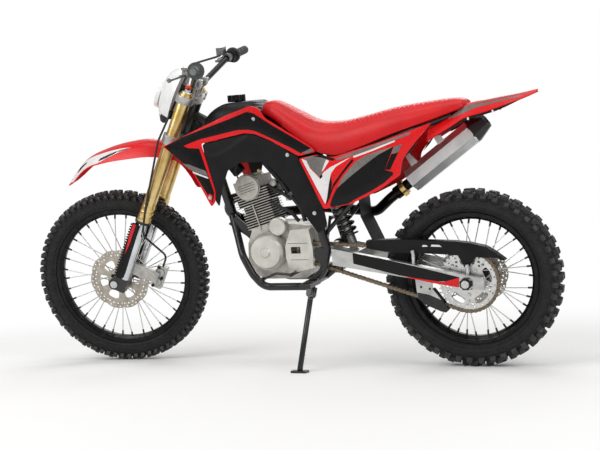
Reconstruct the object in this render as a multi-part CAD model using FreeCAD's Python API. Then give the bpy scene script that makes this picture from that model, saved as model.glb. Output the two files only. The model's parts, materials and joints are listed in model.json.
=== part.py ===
import FreeCAD, Part
import math
import os

# A full-size motocross bike, parked on its side stand with its bars turned a little to the left.
# Every piece is first built upright and straight ahead. There +X points to the rear, +Y to the
# bike's right and +Z up, and the floor point below the rear axle is zero. At the end the steered
# pieces are turned and the whole bike is leaned, so that both tyres and the stand touch the floor.
# All lengths are millimetres and all angles are degrees.

# Stance
WHEELBASE = 1417.0
RAKE_ANGLE = 26.5
STEERING_OFFSET = 46.0
STEER_REST_ANGLE = 11.8
LEAN_ANGLE = 7.0
FIT_GAP = 0.3
RUNNING_GAP = 6.0
OVERRUN = 40.0

# Wheels and tyres
FRONT_TYRE_RADIUS = 348.0
FRONT_TYRE_WIDTH = 86.0
FRONT_BEAD_RADIUS = 267.0
FRONT_FLANGE_RADIUS = 275.0
FRONT_RIM_WIDTH = 50.0
REAR_TYRE_RADIUS = 320.0
REAR_TYRE_WIDTH = 110.0
REAR_BEAD_RADIUS = 228.0
REAR_FLANGE_RADIUS = 237.0
REAR_RIM_WIDTH = 62.0
FRONT_LUG_ROWS = 32
REAR_LUG_ROWS = 28
FRONT_LUG_HEIGHT = 13.0
REAR_LUG_HEIGHT = 16.0
RIM_WALL = 3.5
RIM_WELL_DEPTH = 11.0
RIM_WELL_WIDTH = 20.0
SPOKE_COUNT = 36
SPOKE_RADIUS = 2.0
NIPPLE_RADIUS = 3.6
NIPPLE_LENGTH = 16.0
SPOKE_LEAN_ANGLE = 38.0
FRONT_HUB_BARREL_RADIUS = 21.0
FRONT_HUB_FLANGE_RADIUS = 33.0
FRONT_HUB_HALF_WIDTH = 36.0
REAR_HUB_BARREL_RADIUS = 30.0
REAR_HUB_FLANGE_RADIUS = 46.0
REAR_HUB_HALF_WIDTH = 44.0
HUB_FLANGE_THICKNESS = 5.0
FRONT_AXLE_RADIUS = 8.0
REAR_AXLE_RADIUS = 9.0
AXLE_NUT_RADIUS = 14.0
AXLE_NUT_LENGTH = 10.0

# Brake discs, sprocket and chain
FRONT_DISC_RADIUS = 120.0
FRONT_DISC_LINE = 54.0
REAR_DISC_RADIUS = 112.0
REAR_DISC_LINE = 64.0
DISC_THICKNESS = 3.5
DISC_BAND_WIDTH = 30.0
DISC_WAVE_COUNT = 10
DISC_WAVE_DEPTH = 5.0
DISC_CARRIER_RADIUS = 40.0
DISC_ARM_WIDTH = 14.0
DISC_ARM_COUNT = 6
CHAIN_PITCH = 15.875
CHAIN_LINE = 76.0
CHAIN_INNER_WIDTH = 9.6
CHAIN_PLATE_THICKNESS = 2.0
CHAIN_PLATE_DEPTH = 13.0
CHAIN_ROLLER_SIZE = 8.0
ROLLERS_LEFT_OUT = 4
REAR_SPROCKET_TEETH = 42
FRONT_SPROCKET_TEETH = 13
SPROCKET_THICKNESS = 6.0
TOOTH_HEIGHT = 4.0
TOOTH_ROOT_SHARE = 0.36
TOOTH_TIP_SHARE = 0.12
SPROCKET_HOLE_COUNT = 5
SPROCKET_CARRIER_RADIUS = 56.0
SPROCKET_BAND_WIDTH = 24.0
FRONT_SPROCKET_X = -600.0
FRONT_SPROCKET_Z = 441.0

# Fork, clamps and bars
FORK_SPREAD = 200.0
FORK_LEG_AHEAD = 20.0
OUTER_TUBE_RADIUS = 25.0
OUTER_TUBE_BOTTOM = 281.0
OUTER_TUBE_TOP = 806.0
SLIDER_RADIUS = 20.0
DUST_SEAL_RADIUS = 29.0
DUST_SEAL_LENGTH = 14.0
AXLE_LUG_RADIUS = 24.0
AXLE_LUG_WIDTH = 44.0
FORK_GUARD_LENGTH = 236.0
FORK_GUARD_THICKNESS = 4.0
LOWER_CLAMP_BOTTOM = 604.0
LOWER_CLAMP_THICKNESS = 34.0
TOP_CLAMP_BOTTOM = 770.0
TOP_CLAMP_THICKNESS = 28.0
CLAMP_WALL = 9.0
STEM_RADIUS = 14.0
STEM_NUT_RADIUS = 17.0
STEM_NUT_HEIGHT = 8.0
HEAD_TUBE_RADIUS = 26.0
BAR_RADIUS = 11.0
BAR_CLAMP_UP = 842.0
BAR_CLAMP_AHEAD = 8.0
BAR_CENTRE_HALF = 95.0
BAR_BEND_SIDE = 235.0
BAR_BEND_UP = 930.0
BAR_BEND_AHEAD = -18.0
BAR_HALF_WIDTH = 405.0
BAR_END_UP = 955.0
BAR_END_AHEAD = -42.0
BAR_BEND_RADIUS = 70.0
BAR_MOUNT_SPACING = 82.0
BAR_MOUNT_WIDTH = 26.0
BAR_MOUNT_RADIUS = 20.0
BAR_MOUNT_POST_RADIUS = 13.0
GRIP_RADIUS = 16.5
GRIP_LENGTH = 122.0
GRIP_FLANGE_RADIUS = 31.0
GRIP_FLANGE_THICKNESS = 5.0
PERCH_RADIUS = 17.0
PERCH_WIDTH = 30.0
LEVER_LENGTH = 165.0
LEVER_REACH = 84.0
LEVER_ARM_SHARE = 0.5
LEVER_STEP_SHARE = 0.3
LEVER_BALL_RADIUS = 8.25
LEVER_DROOP_ANGLE = 14.0
LEVER_RADIUS = 5.5
SWITCH_BODY_RADIUS = 22.0
SWITCH_BODY_WIDTH = 34.0
MASTER_LENGTH = 62.0
MASTER_WIDTH = 26.0
MASTER_HEIGHT = 30.0
MASTER_AHEAD = 27.0


# Small builders that every sub-part uses
def point(x, y, z):
    return FreeCAD.Vector(x, y, z)


ORIGIN = point(0, 0, 0)
REARWARD = point(1, 0, 0)
RIGHTWARD = point(0, 1, 0)
UPWARD = point(0, 0, 1)


def joined(shapes):
    return shapes[0].multiFuse(shapes[1:])


def rod(start, end, radius):
    run = end.sub(start)
    return Part.makeCylinder(radius, run.Length, start, run)


def cross_rod(x, z, side_low, side_high, radius):
    return Part.makeCylinder(radius, side_high - side_low, point(x, side_low, z), RIGHTWARD)


def block(low, high):
    size = high.sub(low)
    return Part.makeBox(size.x, size.y, size.z, low)


def polygon_face(points):
    return Part.Face(Part.makePolygon(list(points) + [points[0]]))


def side_prism(outline, side_low, side_high):
    """A flat outline in X and Z, given thickness across the bike."""
    face = polygon_face([point(x, side_low, z) for x, z in outline])
    return face.extrude(RIGHTWARD * (side_high - side_low))


def turned(profile, x, z):
    """A closed profile of (side, radius) pairs revolved about a crosswise axis through x, z."""
    face = polygon_face([point(x, side, z + radius) for side, radius in profile])
    return face.revolve(point(x, 0, z), RIGHTWARD, 360)


ARC_ROOM_SHARE = 0.45


def bent_wire(points, bend_radius):
    """Straight runs joined by tangent arcs, each arc at most as large as its runs allow."""
    edges = []
    start = points[0]
    for index in range(1, len(points) - 1):
        corner = points[index]
        inward = corner.sub(points[index - 1])
        onward = points[index + 1].sub(corner)
        room = ARC_ROOM_SHARE * min(inward.Length, onward.Length)
        inward.normalize()
        onward.normalize()
        half_turn = inward.getAngle(onward) / 2
        radius = min(bend_radius, room / math.tan(half_turn))
        reach = radius * math.tan(half_turn)
        arc_start = corner.sub(inward * reach)
        arc_end = corner.add(onward * reach)
        bisector = onward.sub(inward)
        bisector.normalize()
        centre = corner.add(bisector * (radius / math.cos(half_turn)))
        middle = centre.sub(bisector * radius)
        edges.append(Part.LineSegment(start, arc_start).toShape())
        edges.append(Part.Arc(arc_start, middle, arc_end).toShape())
        start = arc_end
    edges.append(Part.LineSegment(start, points[-1]).toShape())
    return Part.Wire(edges)


def bent_tube(points, radius, bend_radius):
    path = bent_wire(points, bend_radius)
    heading = points[1].sub(points[0])
    ring = Part.Wire(Part.makeCircle(radius, points[0], heading))
    return path.makePipeShell([ring], True, False)


def mirrored(shape):
    return shape.mirror(ORIGIN, RIGHTWARD)


def pair(shape):
    return Part.Compound([shape, mirrored(shape)])


def scaled_outline(shares, x_low, z_low, length, height):
    """Outline points given as shares of a piece's length and height."""
    return [(x_low + length * along, z_low + height * up) for along, up in shares]


# The steering axis: 'up' runs along it, 'ahead' square to it and forward, 'side' across
REAR_AXLE = point(0, 0, REAR_TYRE_RADIUS)
FRONT_AXLE = point(-WHEELBASE, 0, FRONT_TYRE_RADIUS)
RAKE_SINE = math.sin(math.radians(RAKE_ANGLE))
RAKE_COSINE = math.cos(math.radians(RAKE_ANGLE))
STEERING_AXIS = point(RAKE_SINE, 0, RAKE_COSINE)
STEERING_FORWARD = point(-RAKE_COSINE, 0, RAKE_SINE)
STEERING_FOOT = FRONT_AXLE.sub(STEERING_FORWARD * STEERING_OFFSET)
LEVER_DROOP = math.radians(LEVER_DROOP_ANGLE)
LEVER_FORWARD = point(-math.cos(LEVER_DROOP), 0, -math.sin(LEVER_DROOP))


def steered(up, ahead=0, side=0):
    along = STEERING_FOOT.add(STEERING_AXIS * up)
    return along.add(STEERING_FORWARD * ahead).add(RIGHTWARD * side)


# Tyre carcass: planar facets between mitred stations, with knobs fused to them
CARCASS_SHARES = [(0.5, 0.42), (0.42, 0.86), (0.21, 1.0)]
KNOB_ROOT = 4.0
KNOB_LENGTH_SHARE = 0.42
CENTRE_KNOB_WIDTH_SHARE = 0.30
MIDDLE_KNOB_WIDTH_SHARE = 0.20
MIDDLE_KNOB_PLACE_SHARE = 0.17
SHOULDER_KNOB_WIDTH_SHARE = 0.17
SHOULDER_KNOB_ANGLE = 33.0
FLANGE_CLEARANCE = 1.0


def carcass_half(crown, width, bead, flange, rim_width):
    """Points of (half width, radius) from the bead out over the sidewall to the crown."""
    bead_half = rim_width / 2 - RIM_WALL - FIT_GAP
    low = flange + FLANGE_CLEARANCE
    half = [(bead_half, bead), (bead_half, low)]
    for width_share, height_share in CARCASS_SHARES:
        half.append((width * width_share, low + (crown - low) * height_share))
    return half


def facet_ring(profile, count, axle):
    """A closed ring of planar facets whose section is the profile of (side, radius) pairs."""
    stations = []
    for step in range(count):
        angle = math.radians(360.0 * step / count)
        ring = []
        for side, radius in profile:
            offset = point(radius * math.sin(angle), side, radius * math.cos(angle))
            ring.append(axle.add(offset))
        stations.append(ring)
    faces = []
    for step in range(count):
        here = stations[step]
        there = stations[(step + 1) % count]
        for index in range(len(profile)):
            following = (index + 1) % len(profile)
            corners = [here[index], there[index], there[following], here[following]]
            faces.append(polygon_face(corners))
    solid = Part.makeSolid(Part.makeShell(faces))
    if solid.Volume < 0:
        solid.reverse()
    return solid


def knob(axle, angle, side, radius, size, tilt):
    """A tread block standing on the crown at one angle, tilted outward about the tyre's run."""
    length, width, height = size
    body = Part.makeBox(length, width, height + KNOB_ROOT, point(-length / 2, -width / 2, -KNOB_ROOT))
    body.rotate(ORIGIN, REARWARD, -tilt)
    body.translate(point(0, side, radius))
    body.rotate(ORIGIN, RIGHTWARD, angle)
    body.translate(axle)
    return body


def tyre(axle, outer, width, bead, flange, rim_width, rows, knob_height):
    crown = outer - knob_height
    facet_share = math.cos(math.pi / rows)
    half = carcass_half(crown, width - knob_height, bead, flange / facet_share, rim_width)
    profile = [(-side, radius) for side, radius in half]
    profile += [(side, radius) for side, radius in reversed(half)]
    carcass = facet_ring(profile, rows, axle)
    pitch = 2 * math.pi * crown / rows
    length = pitch * KNOB_LENGTH_SHARE
    knobs = []
    shoulder_side = (half[-1][0] + half[-2][0]) / 2
    shoulder_radius = (half[-1][1] + half[-2][1]) / 2 * facet_share
    for row in range(rows):
        angle = 360.0 * (row + 0.5) / rows
        top = crown * facet_share
        if row % 2 == 0:
            size = (length, width * CENTRE_KNOB_WIDTH_SHARE, knob_height)
            knobs.append(knob(axle, angle, 0, top, size, 0))
        else:
            for hand in (-1, 1):
                size = (length, width * MIDDLE_KNOB_WIDTH_SHARE, knob_height)
                place = hand * width * MIDDLE_KNOB_PLACE_SHARE
                knobs.append(knob(axle, angle, place, top, size, 0))
        for hand in (-1, 1):
            size = (length, width * SHOULDER_KNOB_WIDTH_SHARE, knob_height)
            place = hand * shoulder_side
            knobs.append(knob(axle, angle, place, shoulder_radius, size, hand * SHOULDER_KNOB_ANGLE))
    return carcass.multiFuse(knobs)


def rim(axle, bead, flange, rim_width, rows):
    """A drop-centre rim revolved about the axle, its bead seat just inside the tyre's facets."""
    seat = bead * math.cos(math.pi / rows) - FIT_GAP
    half = rim_width / 2
    well = RIM_WELL_WIDTH / 2
    slope = RIM_WELL_DEPTH / 2
    tyre_side = [(half - RIM_WALL, flange), (half - RIM_WALL, seat), (well + slope, seat)]
    tyre_side.append((well, seat - RIM_WELL_DEPTH))
    hub_side = [(half, flange), (half, seat - RIM_WALL), (well + slope, seat - RIM_WALL)]
    hub_side.append((well, seat - RIM_WELL_DEPTH - RIM_WALL))
    profile = hub_side + [(-side, radius) for side, radius in reversed(hub_side)]
    profile += [(-side, radius) for side, radius in tyre_side] + list(reversed(tyre_side))
    return turned(profile, axle.x, axle.z)


def rim_inner_radius(bead, rows):
    return bead * math.cos(math.pi / rows) - FIT_GAP - RIM_WELL_DEPTH - RIM_WALL


def laced_hub(axle, bead, rows, sizes, left_carrier, right_carrier):
    """Hub barrel, flanges and disc carriers with the laced spokes that they carry."""
    barrel, flange, half, bore = sizes
    reach = rim_inner_radius(bead, rows) - FIT_GAP
    wall = HUB_FLANGE_THICKNESS
    carriers = [(left_carrier[0], left_carrier[1]), (right_carrier[0], right_carrier[1])]
    profile = [(-carriers[0][0], bore), (-carriers[0][0], carriers[0][1])]
    profile += [(-carriers[0][0] + wall, carriers[0][1]), (-carriers[0][0] + wall, barrel)]
    profile += [(-half, barrel), (-half, flange), (-half + wall, flange), (-half + wall, barrel)]
    profile += [(half - wall, barrel), (half - wall, flange), (half, flange), (half, barrel)]
    profile += [(carriers[1][0] - wall, barrel), (carriers[1][0] - wall, carriers[1][1])]
    profile += [(carriers[1][0], carriers[1][1]), (carriers[1][0], bore)]
    hub = turned(profile, axle.x, axle.z)
    spokes = []
    for number in range(SPOKE_COUNT):
        hand = 1 if number % 2 else -1
        lead = SPOKE_LEAN_ANGLE if (number // 2) % 2 else -SPOKE_LEAN_ANGLE
        rim_angle = math.radians(360.0 * number / SPOKE_COUNT)
        hub_angle = rim_angle + math.radians(lead)
        hole = flange - wall
        start = point(hole * math.sin(hub_angle), hand * (half - wall / 2), hole * math.cos(hub_angle))
        far = reach + NIPPLE_LENGTH
        end = point(far * math.sin(rim_angle), hand * SPOKE_RADIUS, far * math.cos(rim_angle))
        spokes.append(rod(axle.add(start), axle.add(end), SPOKE_RADIUS))
        heading = end.sub(start)
        heading.normalize()
        nipple_start = end.sub(heading * (2 * NIPPLE_LENGTH))
        spokes.append(rod(axle.add(nipple_start), axle.add(end), NIPPLE_RADIUS))
    limit = cross_rod(axle.x, axle.z, -carriers[0][0], carriers[1][0], reach)
    laced = hub.multiFuse(spokes).common(limit)
    return laced.cut(cross_rod(axle.x, axle.z, -carriers[0][0], carriers[1][0], bore))


def wave_edge(axle, side, radius):
    """A wavy ring edge made of one outward arc for each wave."""
    edges = []
    for wave in range(DISC_WAVE_COUNT):
        angles = [360.0 * (wave + share) / DISC_WAVE_COUNT for share in (0, 0.5, 1)]
        radii = [radius - DISC_WAVE_DEPTH, radius, radius - DISC_WAVE_DEPTH]
        places = []
        for angle, reach in zip(angles, radii):
            turn = math.radians(angle)
            places.append(point(axle.x + reach * math.sin(turn), side, axle.z + reach * math.cos(turn)))
        edges.append(Part.Arc(*places).toShape())
    return Part.Wire(edges)


def brake_disc(axle, line, radius, bore):
    """A wavy brake ring on six arms, bolted flat to the hub's carrier."""
    face = Part.Face(wave_edge(axle, line, radius))
    plate = face.extrude(RIGHTWARD * DISC_THICKNESS)
    window = radius - DISC_WAVE_DEPTH - DISC_BAND_WIDTH
    middle = cross_rod(axle.x, axle.z, line, line + DISC_THICKNESS, window)
    ring = plate.cut(middle)
    carrier = cross_rod(axle.x, axle.z, line, line + DISC_THICKNESS, DISC_CARRIER_RADIUS)
    arms = []
    for number in range(DISC_ARM_COUNT):
        arm = block(point(-DISC_ARM_WIDTH / 2, line, 0),
                    point(DISC_ARM_WIDTH / 2, line + DISC_THICKNESS, window + DISC_ARM_WIDTH / 2))
        arm.rotate(ORIGIN, RIGHTWARD, 360.0 * number / DISC_ARM_COUNT)
        arm.translate(point(axle.x, 0, axle.z))
        arms.append(arm)
    disc = ring.multiFuse([carrier] + arms)
    return disc.cut(cross_rod(axle.x, axle.z, line, line + DISC_THICKNESS, bore))


def pitch_radius(teeth):
    return CHAIN_PITCH * teeth / (2 * math.pi)


def rear_sprocket():
    """Toothed ring on five arms, flat on the hub's left carrier."""
    outer = pitch_radius(REAR_SPROCKET_TEETH) + TOOTH_HEIGHT
    root = pitch_radius(REAR_SPROCKET_TEETH) - TOOTH_HEIGHT
    outline = []
    for tooth in range(REAR_SPROCKET_TEETH):
        for share, reach in ((-TOOTH_ROOT_SHARE, root), (-TOOTH_TIP_SHARE, outer),
                             (TOOTH_TIP_SHARE, outer), (TOOTH_ROOT_SHARE, root)):
            turn = 2 * math.pi * (tooth + share) / REAR_SPROCKET_TEETH
            outline.append((REAR_AXLE.x + reach * math.sin(turn), REAR_AXLE.z + reach * math.cos(turn)))
    low = -CHAIN_LINE - SPROCKET_THICKNESS / 2
    high = -CHAIN_LINE + SPROCKET_THICKNESS / 2
    plate = side_prism(outline, low, high)
    window = root - SPROCKET_BAND_WIDTH
    cuts = []
    for number in range(SPROCKET_HOLE_COUNT):
        angle = math.radians(360.0 * number / SPROCKET_HOLE_COUNT)
        middle = (window + SPROCKET_CARRIER_RADIUS) / 2 + SPROCKET_BAND_WIDTH / 4
        hole = (window - SPROCKET_CARRIER_RADIUS) / 2 + SPROCKET_BAND_WIDTH / 3
        x = REAR_AXLE.x + middle * math.sin(angle)
        z = REAR_AXLE.z + middle * math.cos(angle)
        cuts.append(cross_rod(x, z, low, high, hole))
    cuts.append(cross_rod(REAR_AXLE.x, REAR_AXLE.z, low, high, REAR_HUB_BARREL_RADIUS))
    return plate.cut(Part.Compound(cuts))


def loop_wire(side, offset):
    """The chain's closed line round both sprockets, moved out by an offset."""
    front_radius = pitch_radius(FRONT_SPROCKET_TEETH) + offset
    rear_radius = pitch_radius(REAR_SPROCKET_TEETH) + offset
    front = point(FRONT_SPROCKET_X, side, FRONT_SPROCKET_Z)
    rear = point(REAR_AXLE.x, side, REAR_AXLE.z)
    run = rear.sub(front)
    slope = math.atan2(run.z, run.x)
    wrap = math.asin((rear_radius - front_radius) / run.Length)

    def around(centre, radius, angle):
        return centre.add(point(radius * math.cos(angle), 0, radius * math.sin(angle)))

    top_angle = slope + math.pi / 2 + wrap
    low_angle = slope - math.pi / 2 - wrap
    front_top = around(front, front_radius, top_angle)
    rear_top = around(rear, rear_radius, top_angle)
    front_low = around(front, front_radius, low_angle)
    rear_low = around(rear, rear_radius, low_angle)
    front_far = around(front, front_radius, slope + math.pi)
    rear_far = around(rear, rear_radius, slope)
    edges = [Part.LineSegment(front_top, rear_top).toShape(),
             Part.Arc(rear_top, rear_far, rear_low).toShape(),
             Part.LineSegment(rear_low, front_low).toShape(),
             Part.Arc(front_low, front_far, front_top).toShape()]
    return Part.Wire(edges), (front_top, rear_top), (rear_low, front_low)


def chain():
    """Two rows of side plates as closed loops, joined by a roller at each link of the runs."""
    solids = []
    half = CHAIN_INNER_WIDTH / 2
    for low in (-CHAIN_LINE - half - CHAIN_PLATE_THICKNESS, -CHAIN_LINE + half):
        outer = Part.Face(loop_wire(low, CHAIN_PLATE_DEPTH / 2)[0])
        inner = Part.Face(loop_wire(low, -CHAIN_PLATE_DEPTH / 2)[0])
        solids.append(outer.cut(inner).extrude(RIGHTWARD * CHAIN_PLATE_THICKNESS))
    rollers = []
    for start, end in loop_wire(-CHAIN_LINE, 0)[1:]:
        run = end.sub(start)
        count = int(run.Length / CHAIN_PITCH)
        slope = math.degrees(math.atan2(run.z, run.x))
        for number in range(ROLLERS_LEFT_OUT, count - ROLLERS_LEFT_OUT):
            place = start.add(run * ((number + 0.5) / count))
            size = CHAIN_ROLLER_SIZE
            width = CHAIN_INNER_WIDTH + CHAIN_PLATE_THICKNESS
            roller = Part.makeBox(size, width, size, point(-size / 2, -width / 2, -size / 2))
            roller.rotate(ORIGIN, RIGHTWARD, -slope)
            roller.translate(place)
            rollers.append(roller)
    return solids[0].multiFuse(solids[1:] + rollers + front_rollers())


def front_rollers():
    """Rollers that lie on the small sprocket's front half."""
    rollers = []
    turn = 360.0 / FRONT_SPROCKET_TEETH
    for number in range(-2, 3):
        half = (CHAIN_INNER_WIDTH + CHAIN_PLATE_THICKNESS) / 2
        roller = cross_rod(FRONT_SPROCKET_X - pitch_radius(FRONT_SPROCKET_TEETH), FRONT_SPROCKET_Z,
                           -CHAIN_LINE - half, -CHAIN_LINE + half, CHAIN_ROLLER_SIZE / 2)
        roller.rotate(point(FRONT_SPROCKET_X, 0, FRONT_SPROCKET_Z), RIGHTWARD, turn * number)
        rollers.append(roller)
    return rollers


def front_sprocket():
    """The engine's output sprocket, a plain disc up to the chain's rollers, on its shaft."""
    reach = pitch_radius(FRONT_SPROCKET_TEETH) - CHAIN_ROLLER_SIZE / 2 - FIT_GAP
    half = SPROCKET_THICKNESS / 2
    disc = cross_rod(FRONT_SPROCKET_X, FRONT_SPROCKET_Z, -CHAIN_LINE - half, -CHAIN_LINE + half, reach)
    shaft = cross_rod(FRONT_SPROCKET_X, FRONT_SPROCKET_Z, -CHAIN_LINE - 2 * half, CASE_LEFT, reach / 2)
    return joined([disc, shaft])


# Fork, clamps and bars, all placed along the steering axis
LEG_SIDE = FORK_SPREAD / 2
FORK_CAP_RADIUS = 20.0
FORK_CAP_HEIGHT = 6.0
LUG_TOP = 30.0
LUG_BOTTOM = -22.0
GUARD_SPACE = 3.0
STEM_PLAY = 1.0


def slab_along_stem(up, thickness, plan):
    """A flat plate square to the steering axis, from (ahead, side) corners."""
    face = polygon_face([steered(up, ahead, side) for ahead, side in plan])
    return face.extrude(STEERING_AXIS * thickness)


def fork_tubes():
    low = steered(OUTER_TUBE_BOTTOM, FORK_LEG_AHEAD, -LEG_SIDE)
    high = steered(OUTER_TUBE_TOP, FORK_LEG_AHEAD, -LEG_SIDE)
    tube = rod(low, high, OUTER_TUBE_RADIUS)
    seal = rod(low, low.add(STEERING_AXIS * DUST_SEAL_LENGTH), DUST_SEAL_RADIUS)
    cap = rod(high, high.add(STEERING_AXIS * FORK_CAP_HEIGHT), FORK_CAP_RADIUS)
    return pair(joined([tube, seal, cap]))


def fork_sliders():
    low = steered(LUG_BOTTOM, FORK_LEG_AHEAD, -LEG_SIDE)
    high = steered(OUTER_TUBE_BOTTOM, FORK_LEG_AHEAD, -LEG_SIDE)
    leg = rod(low, high, SLIDER_RADIUS)
    outer = -LEG_SIDE - AXLE_LUG_WIDTH / 2
    inner = -LEG_SIDE + AXLE_LUG_WIDTH / 2
    lug = cross_rod(FRONT_AXLE.x, FRONT_AXLE.z, outer, inner, AXLE_LUG_RADIUS)
    corners = [steered(LUG_TOP, 0), steered(LUG_TOP, STEERING_OFFSET)]
    corners += [steered(LUG_BOTTOM, STEERING_OFFSET), steered(LUG_BOTTOM, 0)]
    web = side_prism([(corner.x, corner.z) for corner in corners], outer, inner)
    bore = cross_rod(FRONT_AXLE.x, FRONT_AXLE.z, outer, inner, FRONT_AXLE_RADIUS + FIT_GAP)
    return pair(joined([leg, lug, web]).cut(bore))


def fork_guards():
    """Curved shields that stand on the axle lugs in front of the sliders."""
    inner = SLIDER_RADIUS + GUARD_SPACE
    low = steered(LUG_TOP + FIT_GAP, FORK_LEG_AHEAD, -LEG_SIDE)
    high = low.add(STEERING_AXIS * FORK_GUARD_LENGTH)
    tube = rod(low, high, inner + FORK_GUARD_THICKNESS).cut(rod(low, high, inner))
    wide = inner + OVERRUN
    front_plan = [(FORK_LEG_AHEAD, -LEG_SIDE - wide), (FORK_LEG_AHEAD + wide, -LEG_SIDE - wide),
                  (FORK_LEG_AHEAD + wide, -LEG_SIDE + wide / 2), (FORK_LEG_AHEAD, -LEG_SIDE + wide / 2)]
    front = slab_along_stem(LUG_TOP, FORK_GUARD_LENGTH + OVERRUN, front_plan)
    return pair(tube.common(front))


def clamp_plate(up, thickness):
    outer = OUTER_TUBE_RADIUS + CLAMP_WALL
    nose = FORK_LEG_AHEAD + OUTER_TUBE_RADIUS / 2
    tail = -STEM_RADIUS - CLAMP_WALL
    waist = STEM_RADIUS + CLAMP_WALL
    plan = [(nose, -LEG_SIDE), (nose, LEG_SIDE), (FORK_LEG_AHEAD - OUTER_TUBE_RADIUS, LEG_SIDE),
            (tail, waist), (tail, -waist), (FORK_LEG_AHEAD - OUTER_TUBE_RADIUS, -LEG_SIDE)]
    shapes = [slab_along_stem(up, thickness, plan)]
    for side in (-LEG_SIDE, LEG_SIDE):
        low = steered(up, FORK_LEG_AHEAD, side)
        shapes.append(rod(low, low.add(STEERING_AXIS * thickness), outer))
    plate = joined(shapes)
    for side in (-LEG_SIDE, LEG_SIDE):
        low = steered(up, FORK_LEG_AHEAD, side)
        plate = plate.cut(rod(low, low.add(STEERING_AXIS * thickness), OUTER_TUBE_RADIUS + FIT_GAP))
    return plate


def triple_clamps():
    """Both clamps, the stem with its nut, and the two bar mounts on the top clamp."""
    top = TOP_CLAMP_BOTTOM + TOP_CLAMP_THICKNESS
    shapes = [clamp_plate(LOWER_CLAMP_BOTTOM, LOWER_CLAMP_THICKNESS)]
    shapes.append(clamp_plate(TOP_CLAMP_BOTTOM, TOP_CLAMP_THICKNESS))
    shapes.append(rod(steered(LOWER_CLAMP_BOTTOM), steered(top), STEM_RADIUS))
    shapes.append(rod(steered(top), steered(top + STEM_NUT_HEIGHT), STEM_NUT_RADIUS))
    bores = []
    for side in (-BAR_MOUNT_SPACING / 2, BAR_MOUNT_SPACING / 2):
        centre = steered(BAR_CLAMP_UP, BAR_CLAMP_AHEAD)
        low = side - BAR_MOUNT_WIDTH / 2
        high = side + BAR_MOUNT_WIDTH / 2
        shapes.append(cross_rod(centre.x, centre.z, low, high, BAR_MOUNT_RADIUS))
        foot = steered(top - TOP_CLAMP_THICKNESS / 2, BAR_CLAMP_AHEAD, side)
        shapes.append(rod(foot, steered(BAR_CLAMP_UP, BAR_CLAMP_AHEAD, side), BAR_MOUNT_POST_RADIUS))
        bores.append(cross_rod(centre.x, centre.z, low, high, BAR_RADIUS + FIT_GAP))
    return joined(shapes).cut(Part.Compound(bores))


def bar_points(hand):
    return [steered(BAR_CLAMP_UP, BAR_CLAMP_AHEAD, hand * BAR_CENTRE_HALF),
            steered(BAR_BEND_UP, BAR_BEND_AHEAD, hand * BAR_BEND_SIDE),
            steered(BAR_END_UP, BAR_END_AHEAD, hand * BAR_HALF_WIDTH)]


def handlebar():
    left = bar_points(-1)
    right = bar_points(1)
    return bent_tube(list(reversed(left)) + right, BAR_RADIUS, BAR_BEND_RADIUS)


def on_bar(from_end):
    """A point on the left bar's straight end run, and the run's outward direction."""
    run = bar_points(-1)
    outward = run[2].sub(run[1])
    outward.normalize()
    return run[2].sub(outward * from_end), outward


def collar(from_end, width, radius):
    start, outward = on_bar(from_end)
    return rod(start, start.add(outward * width), radius)


def grips():
    body = collar(GRIP_LENGTH, GRIP_LENGTH + FIT_GAP, GRIP_RADIUS)
    flange = collar(GRIP_LENGTH, GRIP_FLANGE_THICKNESS, GRIP_FLANGE_RADIUS)
    bore = collar(GRIP_LENGTH + OVERRUN, GRIP_LENGTH + OVERRUN, BAR_RADIUS + FIT_GAP)
    return pair(joined([body, flange]).cut(bore))


def lever_set(switch_width):
    """Switch or throttle body, perch and lever of the left bar end."""
    body_end = GRIP_LENGTH + FIT_GAP + switch_width
    body = collar(body_end, switch_width, SWITCH_BODY_RADIUS)
    perch_start = body_end + FIT_GAP + PERCH_WIDTH
    perch = collar(perch_start, PERCH_WIDTH, PERCH_RADIUS)
    start, outward = on_bar(perch_start - PERCH_WIDTH / 2)
    arm_end = start.add(LEVER_FORWARD * (LEVER_REACH * LEVER_ARM_SHARE))
    arm = rod(start, arm_end, PERCH_WIDTH / 3)
    step = LEVER_FORWARD * (LEVER_REACH * LEVER_STEP_SHARE)
    knuckle = arm_end.add(outward * PERCH_WIDTH).add(step)
    tip = knuckle.add(outward * (LEVER_LENGTH - PERCH_WIDTH)).add(step)
    blade = bent_tube([arm_end, knuckle, tip], LEVER_RADIUS, LEVER_REACH)
    ball_end = Part.makeSphere(LEVER_BALL_RADIUS, tip)
    bore = collar(perch_start + OVERRUN, GRIP_LENGTH + 2 * OVERRUN, BAR_RADIUS + FIT_GAP)
    lever = joined([perch, arm, blade, ball_end]).cut(bore)
    return body.cut(bore), lever, start


def hand_controls():
    """Clutch perch and switches at the left, brake master and throttle body at the right."""
    body, lever, start = lever_set(SWITCH_BODY_WIDTH)
    low = point(-MASTER_WIDTH / 2, -MASTER_LENGTH / 2, 0)
    tank = Part.makeBox(MASTER_WIDTH, MASTER_LENGTH, MASTER_HEIGHT, low)
    tank.translate(start.add(STEERING_FORWARD * MASTER_AHEAD))
    return Part.Compound([body, lever, mirrored(body), mirrored(joined([lever, tank]))])


def front_axle():
    half = LEG_SIDE + AXLE_LUG_WIDTH / 2
    shaft = cross_rod(FRONT_AXLE.x, FRONT_AXLE.z, -half, half, FRONT_AXLE_RADIUS)
    nut = cross_rod(FRONT_AXLE.x, FRONT_AXLE.z, half, half + AXLE_NUT_LENGTH, AXLE_NUT_RADIUS)
    return joined([shaft, nut, mirrored(nut)])


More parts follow.
